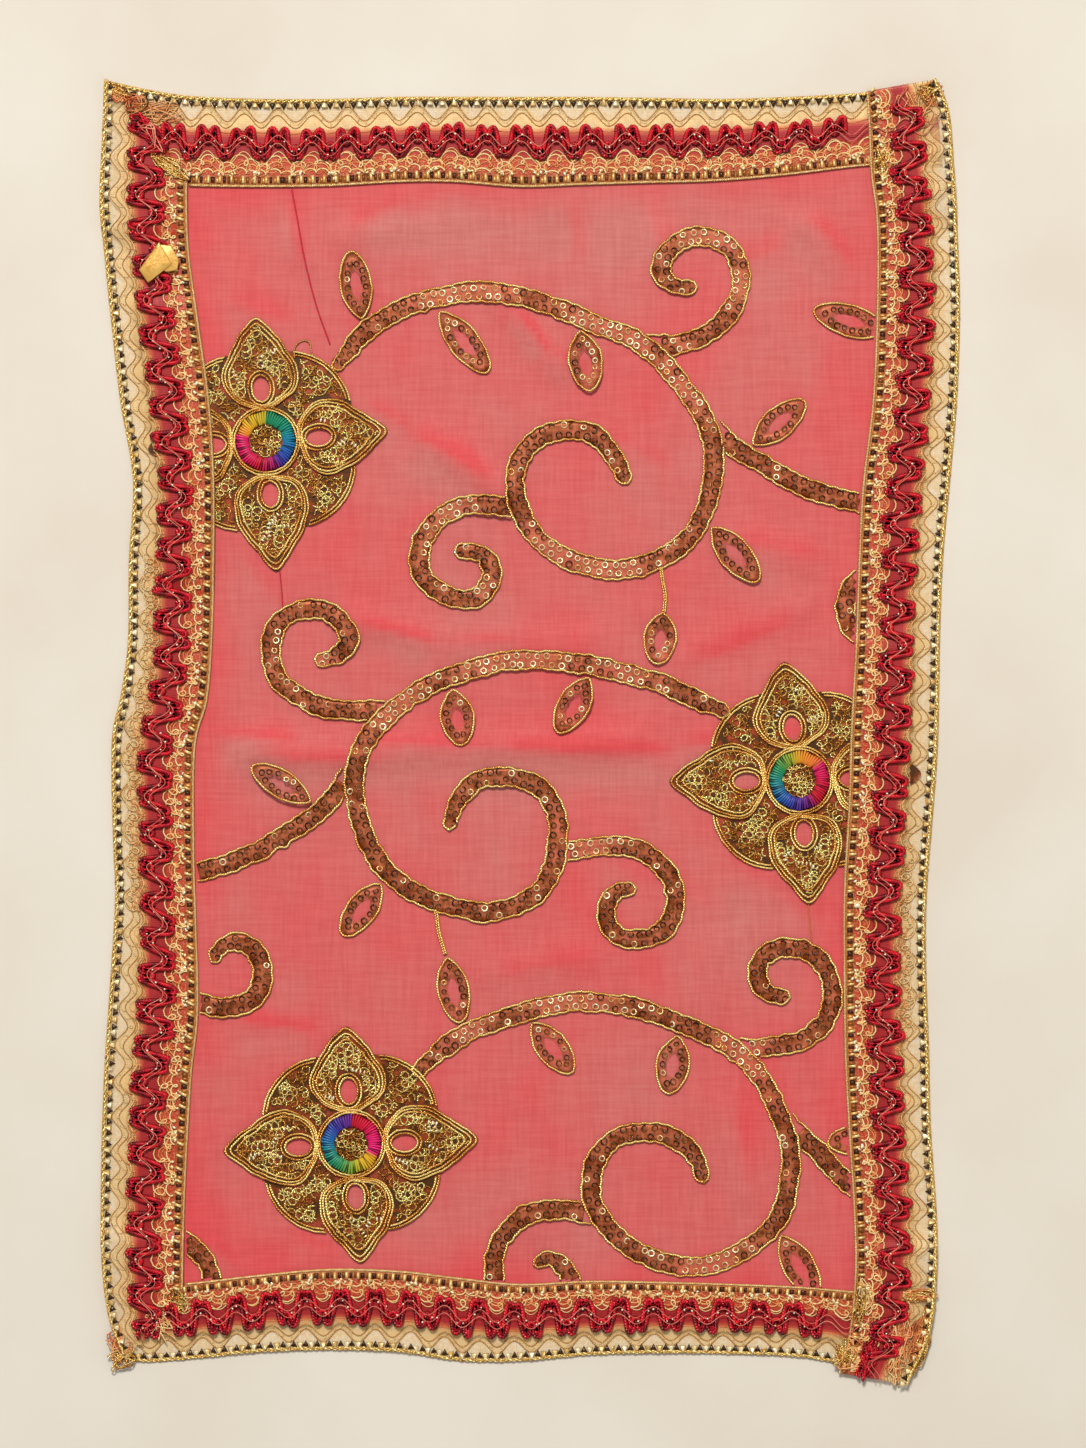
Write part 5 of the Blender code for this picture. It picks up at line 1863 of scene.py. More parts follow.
KNITS = {
    Side.TOP: open_knit(Meander(0.36, 0.50, 0.50, 0.66, 0.55, 0.19, 0.10), 0.0, (0.6, 2.6)),
    Side.BOTTOM: open_knit(Meander(0.34, 0.48, 0.52, 0.72, 0.66, 0.17, 0.14), 0.0, (0.8, 2.6)),
    Side.LEFT: crowded_knit(-0.42, 0.8, (-90.0, 90.0)),
    Side.RIGHT: crowded_knit(0.15, 1.0, (-150.0, -55.0)),
}


@dataclass
class LaceBorder(SewnPart):
    """One length of lace: its knitted ground, threads, crimson yarn, edge chain, ladder and cords."""

    side: Side
    steps: int = 14  # points of a thread in a wave
    web_steps: int = 14
    web_wall: float = 0.18
    web_lift: float = 0.4
    stock_width: float = 42.5
    thread: float = 0.27
    crimson_radius: float = 1.2
    crimson_apart: float = 1.12
    chain_radius: float = 0.52
    cord_radius: float = 0.31
    cord_turns: int = 9  # in a wave
    teeth: int = 3  # of the edge chain and the ladder, in a wave
    pale_foil: Spot = (1.5, 1.1, 0.8)
    beads_in_wave: int = 6

    def __post_init__(self) -> None:
        """Finds the lace's line, its knit and the middles of its teeth."""
        self.line = LACES[self.side]
        self.knit = KNITS[self.side]
        self.name = self.side.value
        self.draw = Dice(SEED + list(Side).index(self.side))
        self.trims: list[Piece] = []
        self.tooth = (np.arange(self.line.waves * self.teeth) + 0.5) / self.teeth

    def drift(self, wave: Line, scale: float) -> Line:
        """A slow wobble along the lace.

        Args:
            wave: places along it.
            scale: how large it is.

        Returns:
            The wobble at each place.
        """
        phase = self.draw.uniform(0, math.tau, 3)
        beats = np.sin(wave * 1.7 + phase[0]) + np.sin(wave * 3.1 + phase[1]) + np.sin(wave * 5.3 + phase[2])
        return scale * beats / 2

    def rippled(self, ripple: Ripple | Scribble, wave: Line, beats: float = 1.0, shift: float = 0.0) -> Line:
        """The place across of a ripple, at places along the lace."""
        middle, swing = (ripple.crest + ripple.trough) / 2, (ripple.crest - ripple.trough) / 2
        return middle + swing * np.cos(math.tau * (wave - shift) * beats)

    def along(self, steps: int) -> Line:
        """Places along the whole lace, so many in each wave."""
        return np.linspace(0, self.line.waves, self.line.waves * steps + 1)

    def web(self) -> Piece:
        """The thin knitted ground, only a veil where the threads part.

        Returns:
            The piece.
        """
        wave = self.along(self.web_steps)
        first, second = self.rippled(self.knit.first, wave), self.rippled(self.knit.second, wave)
        # Thin in the half moons inside its crests.
        moon = 0.60 - 0.40 * self.knit.half_moons * (0.5 + 0.5 * np.cos(math.tau * wave)) ** 2
        # Rows of the ground, each with how closed it is.
        rows = [
            (0.0, 0.9), (0.05, 0.35), (0.098, 0.15), (np.maximum(first - 0.012, 0.100), 0.17),
            (np.maximum(first, 0.104), 0.48), ((first + second) / 2, 0.38), (second, 0.50),
            (np.maximum(0.365, second + 0.005), moon), (0.44, 0.66), (0.58, 0.74), (0.68, 0.66), (0.78, 0.74),
            (0.87, 0.88), (0.94, 0.98), (1.0, 0.9),
        ]
        acrosses = [np.broadcast_to(across, wave.shape) for across, _ in rows]
        lifts = [self.web_lift + 0.25 * smoothstep(0.3, 0.5, across) for across in acrosses]
        points = np.vstack([self.line.points(wave, across, lift) for across, lift in zip(acrosses, lifts)])
        density = np.concatenate([value + self.drift(wave, 0.10) for _, value in rows])
        past = past_mitre(self.side, points)
        faces = [quad for quad in grid_faces(len(rows), len(wave)) if not (past[quad[0]] and past[quad[2]])]
        name = f"lace_web_{self.name}"
        mesh = sheet_mesh(name, points, faces, np.clip(density, 0, 1), np.concatenate(acrosses))
        return self.room.cloth(name, mesh, Cloth.WEB, self.web_wall)

    def lay(self, paths: Paths, line: Line, tint: Line, thick: Line = 1.0) -> None:
        """Adds a thread where it isn't past a mitre.

        Args:
            paths: what to add it to.
            line: its points.
            tint: how light it is.
            thick: a factor for its radius.
        """
        line = raised(raised(line, tint), thick)
        for run in kept_runs(line, ~past_mitre(self.side, line)):
            paths.add(run[:, :3], run[:, 3], run[:, 4])

    def threads(self) -> None:
        """Works the rippling and scribbled threads, one piece for each yarn."""
        books: Book = {}
        wave = self.along(self.steps)
        for ripple in (self.knit.first, self.knit.second, *self.knit.ripples):
            across = self.rippled(ripple, wave + self.drift(wave, 0.02), ripple.beats, ripple.shift)
            across = across + self.drift(wave, 0.008)
            tint = ripple.tint + self.drift(wave, 0.2)
            place = self.line.points(wave, across, ripple.lift)
            self.lay(books.setdefault(ripple.yarn, Paths()), place, tint, ripple.thick)
        for scribble in self.knit.scribbles:
            line = self.scribbled(scribble)
            low, high = scribble.between or (-math.inf, math.inf)
            for run in kept_runs(line, (line[:, 1] > low) & (line[:, 1] < high), 9):
                self.lay(books.setdefault(scribble.yarn, Paths()), run[:, :3], run[:, 3], scribble.thick)
        for yarn, paths in books.items():
            self.trim(self.room.cords(f"lace_{yarn.value.name}_{self.name}", paths, yarn, self.thread, 4))

    def scribbled(self, scribble: Scribble) -> Line:
        """A looped thread.

        Args:
            scribble: how it is worked.

        Returns:
            X, Y, Z and lightness of each of its points.
        """
        wave = np.linspace(0.2, self.line.waves - 0.2, self.line.waves * (scribble.loops * 9))
        turn = math.tau * scribble.loops * wave + self.drift(wave, 1.3)
        size = scribble.reach * (1 + self.drift(wave * 2.3, 0.22))
        along = wave + size / self.line.pitch * np.cos(turn)
        across = self.rippled(scribble, wave) + size * scribble.tall / self.line.width(wave) * np.sin(turn)
        across = np.clip(across + self.drift(wave * 1.9, 0.015), 0.04, 0.865)
        lift = scribble.lift + 0.3 * np.sin(turn + 0.7)
        return raised(self.line.points(along, across, lift), scribble.tint + 0.25 * np.sin(turn * 0.5))

    def crimson(self) -> None:
        """Works the crimson yarn: two strands side by side that meander over the ground."""
        start, end = self.knit.bare
        waves = range(self.line.waves + 1)
        knots = [(k + along, across) for k in waves for along, across in self.knit.meander.knots()]
        knots = np.array([knot for knot in knots if start < knot[0] < self.line.waves - end])
        knots += self.draw.normal(0, 1, knots.shape) * (0.018, 0.014)
        along, across = spline_rows(knots, 7).T
        left = sideways(np.stack(self.line.place(along, across), axis=1))
        paths = Paths()
        for side, lift in ((-self.crimson_apart, 1.75), (self.crimson_apart, 1.95)):
            place = self.line.points(along, across, lift)
            place[:, :2] += left * side
            place = resampled(place, 1.25)
            self.lay(paths, place, 0.46 + 0.16 * side + 0.3 * np.sin(lengths_along(place) * 0.75 + side))
        yarn = self.room.cords(f"crimson_yarn_{self.name}", paths, Yarn.CRIMSON, self.crimson_radius)
        hand_in(yarn, "braid", f"braid_{self.name}")

    def edges(self) -> None:
        """Works the scalloped chain along the outer edge, and the twisted cord along the inner one."""
        wave = self.along(18)
        beat = math.tau * self.teeth * wave
        chain, cord = Paths(), Paths()
        for turn in (0.0, math.pi):
            across = 0.022 + 0.013 * np.cos(beat + turn) + self.drift(wave * 4, 0.004)
            place = self.line.points(wave, across, 0.95 + 0.35 * np.sin(beat + turn))
            self.lay(chain, place, 0.55 + 0.35 * np.cos(beat * 0.5 + turn), 1.0 + 0.3 * np.cos(beat + turn))
        for turn in (0.0, math.pi):
            spin = math.tau * self.cord_turns * wave + turn
            place = self.line.points(wave, 0.984 + 0.009 * np.cos(spin), 1.15 + 0.3 * np.sin(spin))
            # Lighter where a ply rides high: painted light.
            tint = 0.62 + 0.42 * np.sin(spin) + self.drift(wave, 0.2)
            self.lay(cord, place, tint, 1.0 + 0.25 * np.sin(spin))
        self.trim(self.room.cords(f"edge_chain_{self.name}", chain, Yarn.EDGE, self.chain_radius))
        self.trim(self.room.cords(f"inner_cord_{self.name}", cord, Yarn.SELVEDGE, self.cord_radius, 4))

    def heading(self, start: tuple[Line, float], end: tuple[Line, float]) -> Line:
        """The direction between two rows of places."""
        run = self.line.points(*end) - self.line.points(*start)
        return np.arctan2(run[:, 1], run[:, 0])

    def inward(self, wave: Line) -> Line:
        """The direction from the outer edge to the inner one, as an angle."""
        return self.heading((wave, 0.05), (wave, 0.15))

    def set_stamps(
        self, points: Points, wave: Line, across: Line, lift: float, angle: Line, size: Line, tint: Line,
        tilt: float = 0.13,
    ) -> None:
        """Adds stamps at places on the lace that aren't past a mitre.

        Args:
            points: what to add them to.
            wave: their places along.
            across: their places across.
            lift: their height over the lace's underside.
            angle: which way they point.
            size: factors for their size.
            tint: how light each is.
            tilt: how far they tip at random.
        """
        place = self.line.points(wave, across, lift)
        turn = np.column_stack([self.draw.normal(0, tilt, (len(place), 2)), angle])
        size = np.broadcast_to(np.asarray(size, float), place.shape)
        keep = ~past_mitre(self.side, place)
        points.add(place[keep], turn[keep], size[keep], tint[keep])

    def edge_foils(self) -> None:
        """Sets the foil triangles: dark inward ones are painted dark reflection, pale ones between are
        painted highlights.
        """
        count = len(self.tooth)
        foils = Points()
        place = self.tooth + self.draw.normal(0, 0.03, count) / self.teeth
        dark = self.draw.uniform(0.0, 0.3, count)
        self.set_stamps(foils, place, 0.078, 0.85, self.inward(self.tooth), (1.1, 1.05, 1.0), dark)
        between = self.tooth + 0.5 / self.teeth
        bright = self.draw.uniform(0.6, 1.0, count)
        outward = self.inward(between) + math.pi
        self.set_stamps(foils, between, 0.074, 1.15, outward, self.pale_foil, bright, 0.3)
        self.trim(self.room.stamped(f"edge_foils_{self.name}", foils, Stamp.FOIL, Spangle.TRIANGLE, 1.9, 0.5))

    def ladder(self) -> None:
        """Sets the ladder's rungs: two low ones in each tooth and a bright bar between teeth."""
        count, pitch = len(self.tooth), self.line.pitch / self.teeth
        wide = self.line.width(self.tooth)
        heading = self.heading((self.tooth - 0.05, 0.05), (self.tooth + 0.05, 0.05))
        rungs = Points()
        # Where a rung starts, its share of the tooth, its place across, its lightness from and to, its depth.
        kinds = (0.38, 0.36, 0.918, 0.0, 0.5, 0.9), (0.76, 0.28, 0.922, 0.4, 0.75, 0.7)
        for start, share, across, low, high, depth in kinds:
            long = pitch * share * self.draw.uniform(0.6, 1.2, count)
            size = np.stack([long, wide * 0.066, np.full(count, depth)], axis=1)
            tint = self.draw.uniform(low, high, count)
            place = self.tooth + (start - 0.5) / self.teeth
            self.set_stamps(rungs, place, across, 0.9, heading, size, tint, 0.04)
        bar = np.stack([np.full(count, 1.25), wide * 0.086, np.full(count, 0.7)], axis=1)
        tint = self.draw.uniform(0.8, 1.0, count)
        place, tilted = self.tooth - 0.5 / self.teeth, heading + self.knit.rung_tilt
        self.set_stamps(rungs, place, 0.912, 1.35, tilted, bar, tint)
        self.trim(self.room.stamped(f"ladder_{self.name}", rungs, Stamp.BAR, Spangle.RUNG, 1.0, 0.5))

    def beads(self) -> None:
        """Sets the beads beside the crimson yarn and the bright specks on it, which are painted highlights.
        """
        beads, draw = Points(), self.draw
        count = self.line.waves * self.beads_in_wave
        spots = np.repeat(np.arange(self.line.waves) + 0.5, self.beads_in_wave)
        spots = spots + draw.uniform(-0.27, 0.27, count)
        across, turn = 0.85 + draw.normal(0, 0.018, count), draw.uniform(0, 3, count)
        size = draw.uniform(0.7, 1.25, (count, 1)) * (1.5, 0.9, 0.8)
        self.set_stamps(beads, spots, across, 1.5, turn, size, draw.uniform(0.5, 1.0, count))
        start, end = self.knit.bare
        # Bright specks on the crimson yarn: painted highlights.
        specks = np.arange(start + 0.5, self.line.waves - end - 0.5, 0.25)
        count = len(specks)
        specks = specks + draw.uniform(-0.1, 0.1, count)
        middle = (self.knit.meander.outer + self.knit.meander.inner) / 2
        across = middle + 0.09 * np.cos(math.tau * specks + math.pi) + draw.normal(0, 0.03, count)
        size = draw.uniform(0.5, 0.8, (count, 1)) * (1, 1, 0.8)
        self.set_stamps(beads, specks, across, 2.9, np.zeros(count), size, np.ones(count))
        self.trim(self.room.stamped(f"beads_{self.name}", beads, Stamp.BEAD, Spangle.BEAD, 0.8, 0.8))

    def trim(self, piece: Piece) -> None:
        """Hands in a piece that is worked on the ground."""
        self.trims.append(hand_in(piece, "lace"))

    def build(self) -> None:
        """Makes the whole length."""
        web = hand_in(self.web(), "lace", f"lace_{self.name}")
        for work in (self.crimson, self.threads, self.edges, self.edge_foils, self.ladder, self.beads):
            work()


# ---------------------------------------------------------------- vines, leaves and flowers


# Where the light catches the sequins: the middle of each patch and its reach.
GLINTS = [
    (-30, 221, 26), (40, 198, 30), (76, 176, 18), (36, 83, 26), (14, 90, 20), (-8, 36, 30), (52, 29, 16),
    (-66, 10, 14), (88, 246, 16), (104, 222, 12), (-44, 112, 14), (30, -60, 16), (20, -136, 24),
    (-30, -152, 14), (110, -168, 14), (88, -264, 20), (-112, 36, 12), (66, 40, 10), (33, 176, 14),
    (104, -158, 16),
]


def glints_at(places: Line) -> Line:
    """How near each place is to where the light catches the sequins, from 0 to 1."""
    x, y = places[:, 0], places[:, 1]
    nearness = [
        np.exp(-(((x - spot_x) ** 2 + (y - spot_y) ** 2) / reach**2)) for spot_x, spot_y, reach in GLINTS
    ]
    return np.max(nearness, axis=0)


def sequin_tints(draw: Dice, places: Line, dull: float, lit: float) -> Line:
    """How light sequins are, by chance.

    Args:
        draw: the dice.
        places: where they are.
        dull: the share of bright ones where no light catches them.
        lit: how many more are bright where it does.

    Returns:
        A number for each.
    """
    count = len(places)
    bright = draw.uniform(0, 1, count) < dull + lit * glints_at(places)
    return np.where(bright, draw.uniform(0.75, 1, count), draw.uniform(0, 0.42, count))


def sequin_turns(draw: Dice, count: int) -> Line:
    """Each sequin's Euler angles, tipped a little."""
    return np.column_stack([draw.normal(0, 0.2, (count, 2)), draw.uniform(0, 6, count)])


@dataclass
class Vine(SewnPart):
    """A band of two cords with a gold ground and two rows of sequins between."""

    name: str
    knots: list[Place]
    step: float = VINE_STEP
    springs_from: list[Place] | None = None
    tip_at_start: bool = True
    fine: float = 1.3
    wall: float = 0.15
    cord: float = 0.6
    stitch: float = 4.4  # from one uneven place of the cord to the next
    sequin_pitch: float = 5.0
    sequin_radius: float = 1.45
    sequin_start: float = 3.4  # from the vine's end

    def __post_init__(self) -> None:
        """Finds its centre line, which way is left, and which of its points show."""
        self.centre = self.centre_line()
        self.left = sideways(self.centre)
        self.keep = self.clear(self.centre)
        self.run = lengths_along(self.centre[:, :2])
        self.draw = Dice(SEED + sum(map(ord, self.name)))

    def centre_line(self) -> Line:
        """The line along its middle.

        Returns:
            X, Y, the base's height and half the width at each point.
        """
        coarse = evenly_spaced(self.knots, self.step)
        line = resampled(raised(coarse, highest_net(coarse, VINE_WIDTH * 0.6) + SEAM_GAP), self.fine)
        smooth = evenly_spaced(self.knots, self.fine)
        base = np.interp(np.linspace(0, 1, len(smooth)), np.linspace(0, 1, len(line)), line[:, 2])
        run = lengths_along(smooth)
        half = np.full(len(run), VINE_WIDTH / 2)
        for from_end in [run[-1] - run] + ([run] if self.tip_at_start else []):
            # Round over the last few millimetres, and a little narrower before that.
            near = np.clip(from_end / (VINE_WIDTH * 0.42), 0, 1)
            full = VINE_WIDTH / 2 * (0.78 + 0.22 * smoothstep(4, 22, from_end))
            half = np.minimum(half, full * np.sqrt(1 - (1 - near) ** 2))
        return np.column_stack([smooth, base, half])

    def clear(self, line: Line) -> Line:
        """Which points show: past the lace, and off the vine that this one springs from.

        Args:
            line: the points.

        Returns:
            Whether each shows.
        """
        keep = free_of_lace(line)
        if self.springs_from:
            trunk = evenly_spaced(self.springs_from, 2.0)
            least = np.linalg.norm(line[:, None, :2] - trunk[None], axis=2).min(axis=1)
            keep &= least > VINE_WIDTH / 2 + SEAM_GAP
        return keep

    def build(self) -> None:
        """Makes the ground, the cords and the sequins."""
        self.bed()
        self.cords()
        self.sequins()

    def bed(self) -> None:
        """The thin gold ground between the cords."""
        shares = np.linspace(-0.86, 0.86, 5)
        points, density = [], []
        for share in shares:
            place = self.centre[:, :2] + self.left * (self.centre[:, 3:4] * share)
            points.append(raised(place, self.centre[:, 2] + 0.3 + 0.12 * (1 - share**2)))
            # Thinner, so lighter, where the light catches the sequins: painted light.
            density.append(0.50 + 0.3 * abs(share) - 0.75 * glints_at(self.centre))
        flat = np.vstack(points)
        faces = whole_faces(len(shares), np.tile(self.keep, len(shares)) & free_of_lace(flat))
        mesh = sheet_mesh(f"{self.name}_ground", flat, faces, np.concatenate(density))
        hand_in(self.room.cloth(f"{self.name}_ground", mesh, Cloth.BED, self.wall), "zari", self.name)

    def cords(self) -> None:
        """The cord round both sides of the vine, which goes round its tips."""
        run, sides = self.run, []
        for side in (1, -1):
            knots = np.arange(0, run[-1] + self.stitch, self.stitch)
            wobble = 0.55 * np.abs(np.sin(math.pi * run / 5.4 + self.draw.uniform(0, 3))) - 0.3
            wobble = wobble + np.interp(run, knots, self.draw.normal(0, 0.36, len(knots)))
            reach = np.maximum(self.centre[:, 3:4] - self.cord + wobble[:, None], 0.05)
            sides.append(raised(self.centre[:, :2] + self.left * side * reach, self.centre[:, 2] + 0.68))
        loop = np.vstack([sides[0], sides[1][::-1]])
        if self.tip_at_start:
            loop = looped(loop)
        paths = Paths()
        for part in kept_runs(loop, self.clear(loop)):
            paths.add(part, 0.7 + 0.26 * np.sin(lengths_along(part) * 0.21 + self.draw.uniform(0, 6)))
        hand_in(self.room.cords(f"{self.name}_cords", paths, Yarn.CORD, self.cord), "zari")

    def sequins(self) -> None:
        """Two rows of sequins, not quite in step."""
        points, draw = Points(), self.draw
        rows = np.column_stack([self.centre, self.left, self.keep])
        for side, start in ((1, self.sequin_start), (-1, self.sequin_start + self.sequin_pitch * 0.45)):
            stops = np.arange(start, self.run[-1] - 2.4, self.sequin_pitch)
            stops = stops + draw.normal(0, 0.35, len(stops))
            row = np.stack([np.interp(stops, self.run, column) for column in rows.T], axis=1)
            row[:, :2] += row[:, 4:6] * side * (row[:, 3:4] * 0.42 + draw.normal(0, 0.22, (len(stops), 1)))
            place = row[(row[:, 6] > 0.99) & free_of_lace(row, 1.5), :3]
            tint, turn = sequin_tints(draw, place, 0.10, 0.95), sequin_turns(draw, len(place))
            size = draw.uniform(0.92, 1.1, (len(place), 1)) * (1, 1, 1)
            points.add(place + (0, 0, 0.62), turn, size, tint)
        name = self.name + "_sequins"
        spangles = self.room.stamped(name, points, Stamp.SEQUIN, Spangle.SEQUIN, self.sequin_radius, 0.2)
        hand_in(spangles, "zari")


def leaf_outline(length: float, width: float, count: int, blunt: float = 0.78) -> Line:
    """A leaf along +X from its base at 0.

    Args:
        length: its length.
        width: its width.
        count: points on a side.
        blunt: how pointed its tip is, which is blunter where this is low.

    Returns:
        Its outline.
    """
    share = 0.5 - 0.5 * np.cos(math.pi * np.arange(1, count) / count)
    power = 0.78 + (blunt - 0.78) * smoothstep(0.45, 0.75, share)
    side = np.stack([length * share, width / 2 * np.sin(math.pi * share**0.95) ** power], axis=1)
    return np.vstack([[(0, 0)], side, [(length, 0)], side[::-1] * (1, -1)])


@dataclass
class LeafSprig(SewnPart):
    """A leaf: a cord outline with a ring of sequins inside it, round bare net."""

    number: int
    leaf: Leaf
    wall: float = 0.12
    cord: float = 0.6
    sequin_pitch: float = 4.2
    sequin_radius: float = 1.35
    least_length: float = 12.0

    def __post_init__(self) -> None:
        """Finds its place, its outline and its height."""
        self.base, self.turn, self.length = self.placed()
        self.name = f"leaf_{self.number:02d}"
        self.draw = Dice(SEED + 100 + self.number)
        self.rim = leaf_outline(self.length, self.leaf.width, 20, 0.5)
        self.low = float(highest_net(self.shrunk(1.0, 1.0, 0.0), 4.0).max()) + SEAM_GAP

    def placed(self) -> tuple[Line, float, float]:
        """Moves the leaf's base clear of every vine.

        Returns:
            Its base, its angle and its length.
        """
        lines = [*VINES.values(), *(line for _, line in BRANCHES.values())]
        trunks = np.vstack([evenly_spaced(line, 2.0) for line in lines])
        tip = np.array((self.leaf.tip_x, self.leaf.tip_y))
        base = np.array((self.leaf.base_x, self.leaf.base_y), float)
        while True:
            run = tip - base
            length, turn = float(np.linalg.norm(run)), math.atan2(run[1], run[0])
            rim = turned_flat(leaf_outline(length, self.leaf.width, 6), turn, base)
            least = np.linalg.norm(rim[:, None] - trunks[None], axis=2).min()
            if least > VINE_WIDTH / 2 + LEAF_CLEARANCE or length < self.least_length:
                return base, turn, length
            base = base + run / length * 0.5

    def shrunk(self, long: float, wide: float, start: float) -> Line:
        """The leaf's outline in the world, made smaller."""
        flat = np.stack([start * self.length + long * self.rim[:, 0], wide * self.rim[:, 1]], axis=1)
        return turned_flat(flat, self.turn, self.base)

    def ground(self) -> None:
        """The thin gold ground inside the cord, which is bare in the middle."""
        inner = np.stack([0.30 * self.length + 0.42 * self.rim[:, 0], 0.38 * self.rim[:, 1]], axis=1)
        rings = [
            looped(turned_flat(self.rim * (1 - share) + inner * share, self.turn, self.base))
            for share in (0.04, 0.5, 1.0)
        ]
        flat = raised(np.vstack(rings), self.low + 0.3)
        density = np.repeat((0.42, 0.18, 0.0), len(self.rim) + 1)
        mesh = sheet_mesh(f"{self.name}_ground", flat, whole_faces(3, free_of_lace(flat)), density)
        hand_in(self.room.cloth(f"{self.name}_ground", mesh, Cloth.BED, self.wall), "zari", self.name)

    def outline(self) -> None:
        """The cord round the leaf."""
        paths = Paths()
        world = self.shrunk(1.0, 1.0, 0.0)
        smooth = evenly_spaced(looped(world + self.draw.normal(0, 0.12, world.shape)), 1.4)
        smooth = raised(smooth, self.low + 0.66)
        for run in kept_runs(smooth, free_of_lace(smooth)):
            paths.add(run, 0.68 + 0.22 * np.sin(lengths_along(run) * 0.3 + self.draw.uniform(0, 6)))
        hand_in(self.room.cords(f"{self.name}_cord", paths, Yarn.CORD, self.cord), "zari")

    def sequins(self) -> None:
        """The ring of sequins."""
        points, draw = Points(), self.draw
        ring = resampled(looped(self.shrunk(0.70, 0.60, 0.14)), self.sequin_pitch)[:-1]
        ring = ring + draw.normal(0, 0.3, ring.shape)
        ring = raised(ring, self.low + 0.62)[free_of_lace(ring, 1.5)]
        turn, tint = sequin_turns(draw, len(ring)), sequin_tints(draw, ring, 0.08, 0.85)
        points.add(ring, turn, draw.uniform(0.85, 1.05, (len(ring), 1)) * (1, 1, 1), tint)
        name = self.name + "_sequins"
        spangles = self.room.stamped(name, points, Stamp.SEQUIN, Spangle.SEQUIN, self.sequin_radius, 0.2)
        hand_in(spangles, "zari")

    def build(self) -> None:
        """Makes the ground, the cord and the sequins."""
        self.ground()
        self.outline()
        self.sequins()


def rounded(outline: Line, passes: int = 5) -> Line:
    """A closed outline with its corners rounded.

    Args:
        outline: its points.
        passes: how many times it is smoothed.

    Returns:
        Points about a millimetre and a half apart.
    """
    line = resampled(looped(outline), 1.5)[:-1]
    for _ in range(passes):
        line = (np.roll(line, 1, axis=0) + 2 * line + np.roll(line, -1, axis=0)) / 4
    return line


def swayed(outline: Line, middle: Sequence[float], phase: float) -> Line:
    """An outline that sways in and out a little, as worked by hand.

    Args:
        outline: its points.
        middle: what it sways round.
        phase: where the sway starts.

    Returns:
        The new points.
    """
    off = outline - middle
    turn = np.arctan2(off[:, 1], off[:, 0])
    sway = 1 + 0.020 * np.sin(5 * turn + phase) + 0.012 * np.sin(9 * turn + 2 * phase)
    return middle + off * sway[:, None]


def petal_outline(reach: float, half: float, start: float, count: int) -> Line:
    """A large petal along +X, rounded beside the ring and pointed at its tip.

    Args:
        reach: of its tip from the flower's centre.
        half: half its width.
        start: of its base from the centre.
        count: points on a side.

    Returns:
        Its outline.
    """
    share = (0.5 - 0.5 * np.cos(math.pi * np.arange(1, count) / count)) ** 1.15
    side = np.stack([start + (reach - start) * share, half * np.sin(math.pi * share**0.62) ** 0.92], axis=1)
    return np.vstack([[(start, 0)], side, [(reach, 0)], side[::-1] * (1, -1)])


def inside_petal(points: Line, reach: float, half: float, start: float) -> Line:
    """Which flat points lie in such a petal.

    Args:
        points: the points, in the petal's own directions.
        reach: of its tip from the flower's centre.
        half: half its width.
        start: of its base from the centre.

    Returns:
        Whether each lies in it.
    """
    count = 40
    side = petal_outline(reach, half, start, count)[: count + 1]
    return np.abs(points[:, 1]) < np.interp(points[:, 0], side[:, 0], side[:, 1], left=-1.0, right=-1.0)


def outside_eye(points: Line, margin: float) -> Line:
    """Which flat points, in a large petal's own directions, are at least this far outside its opening."""
    along, across = EYE_ALONG + margin, EYE_ACROSS + margin
    return ((points[:, 0] - EYE_DISTANCE) / along) ** 2 + (points[:, 1] / across) ** 2 > 1


def eye_outline(turn: Line, grow: float = 0.0) -> Line:
    """A large petal's opening at these angles, or a line this far outside it, in its own directions."""
    return ellipse(turn, EYE_ALONG + grow, EYE_ACROSS + grow) + (EYE_DISTANCE, 0.0)


def lobe_reach(angle: Line, inset: float = 0.0) -> Line:
    """How far the small petals reach in each direction from the centre."""
    swell = np.abs(np.sin(2 * angle)) ** 0.55
    return SMALL_PETAL_ROOT + (SMALL_PETAL_REACH - SMALL_PETAL_ROOT) * swell - inset


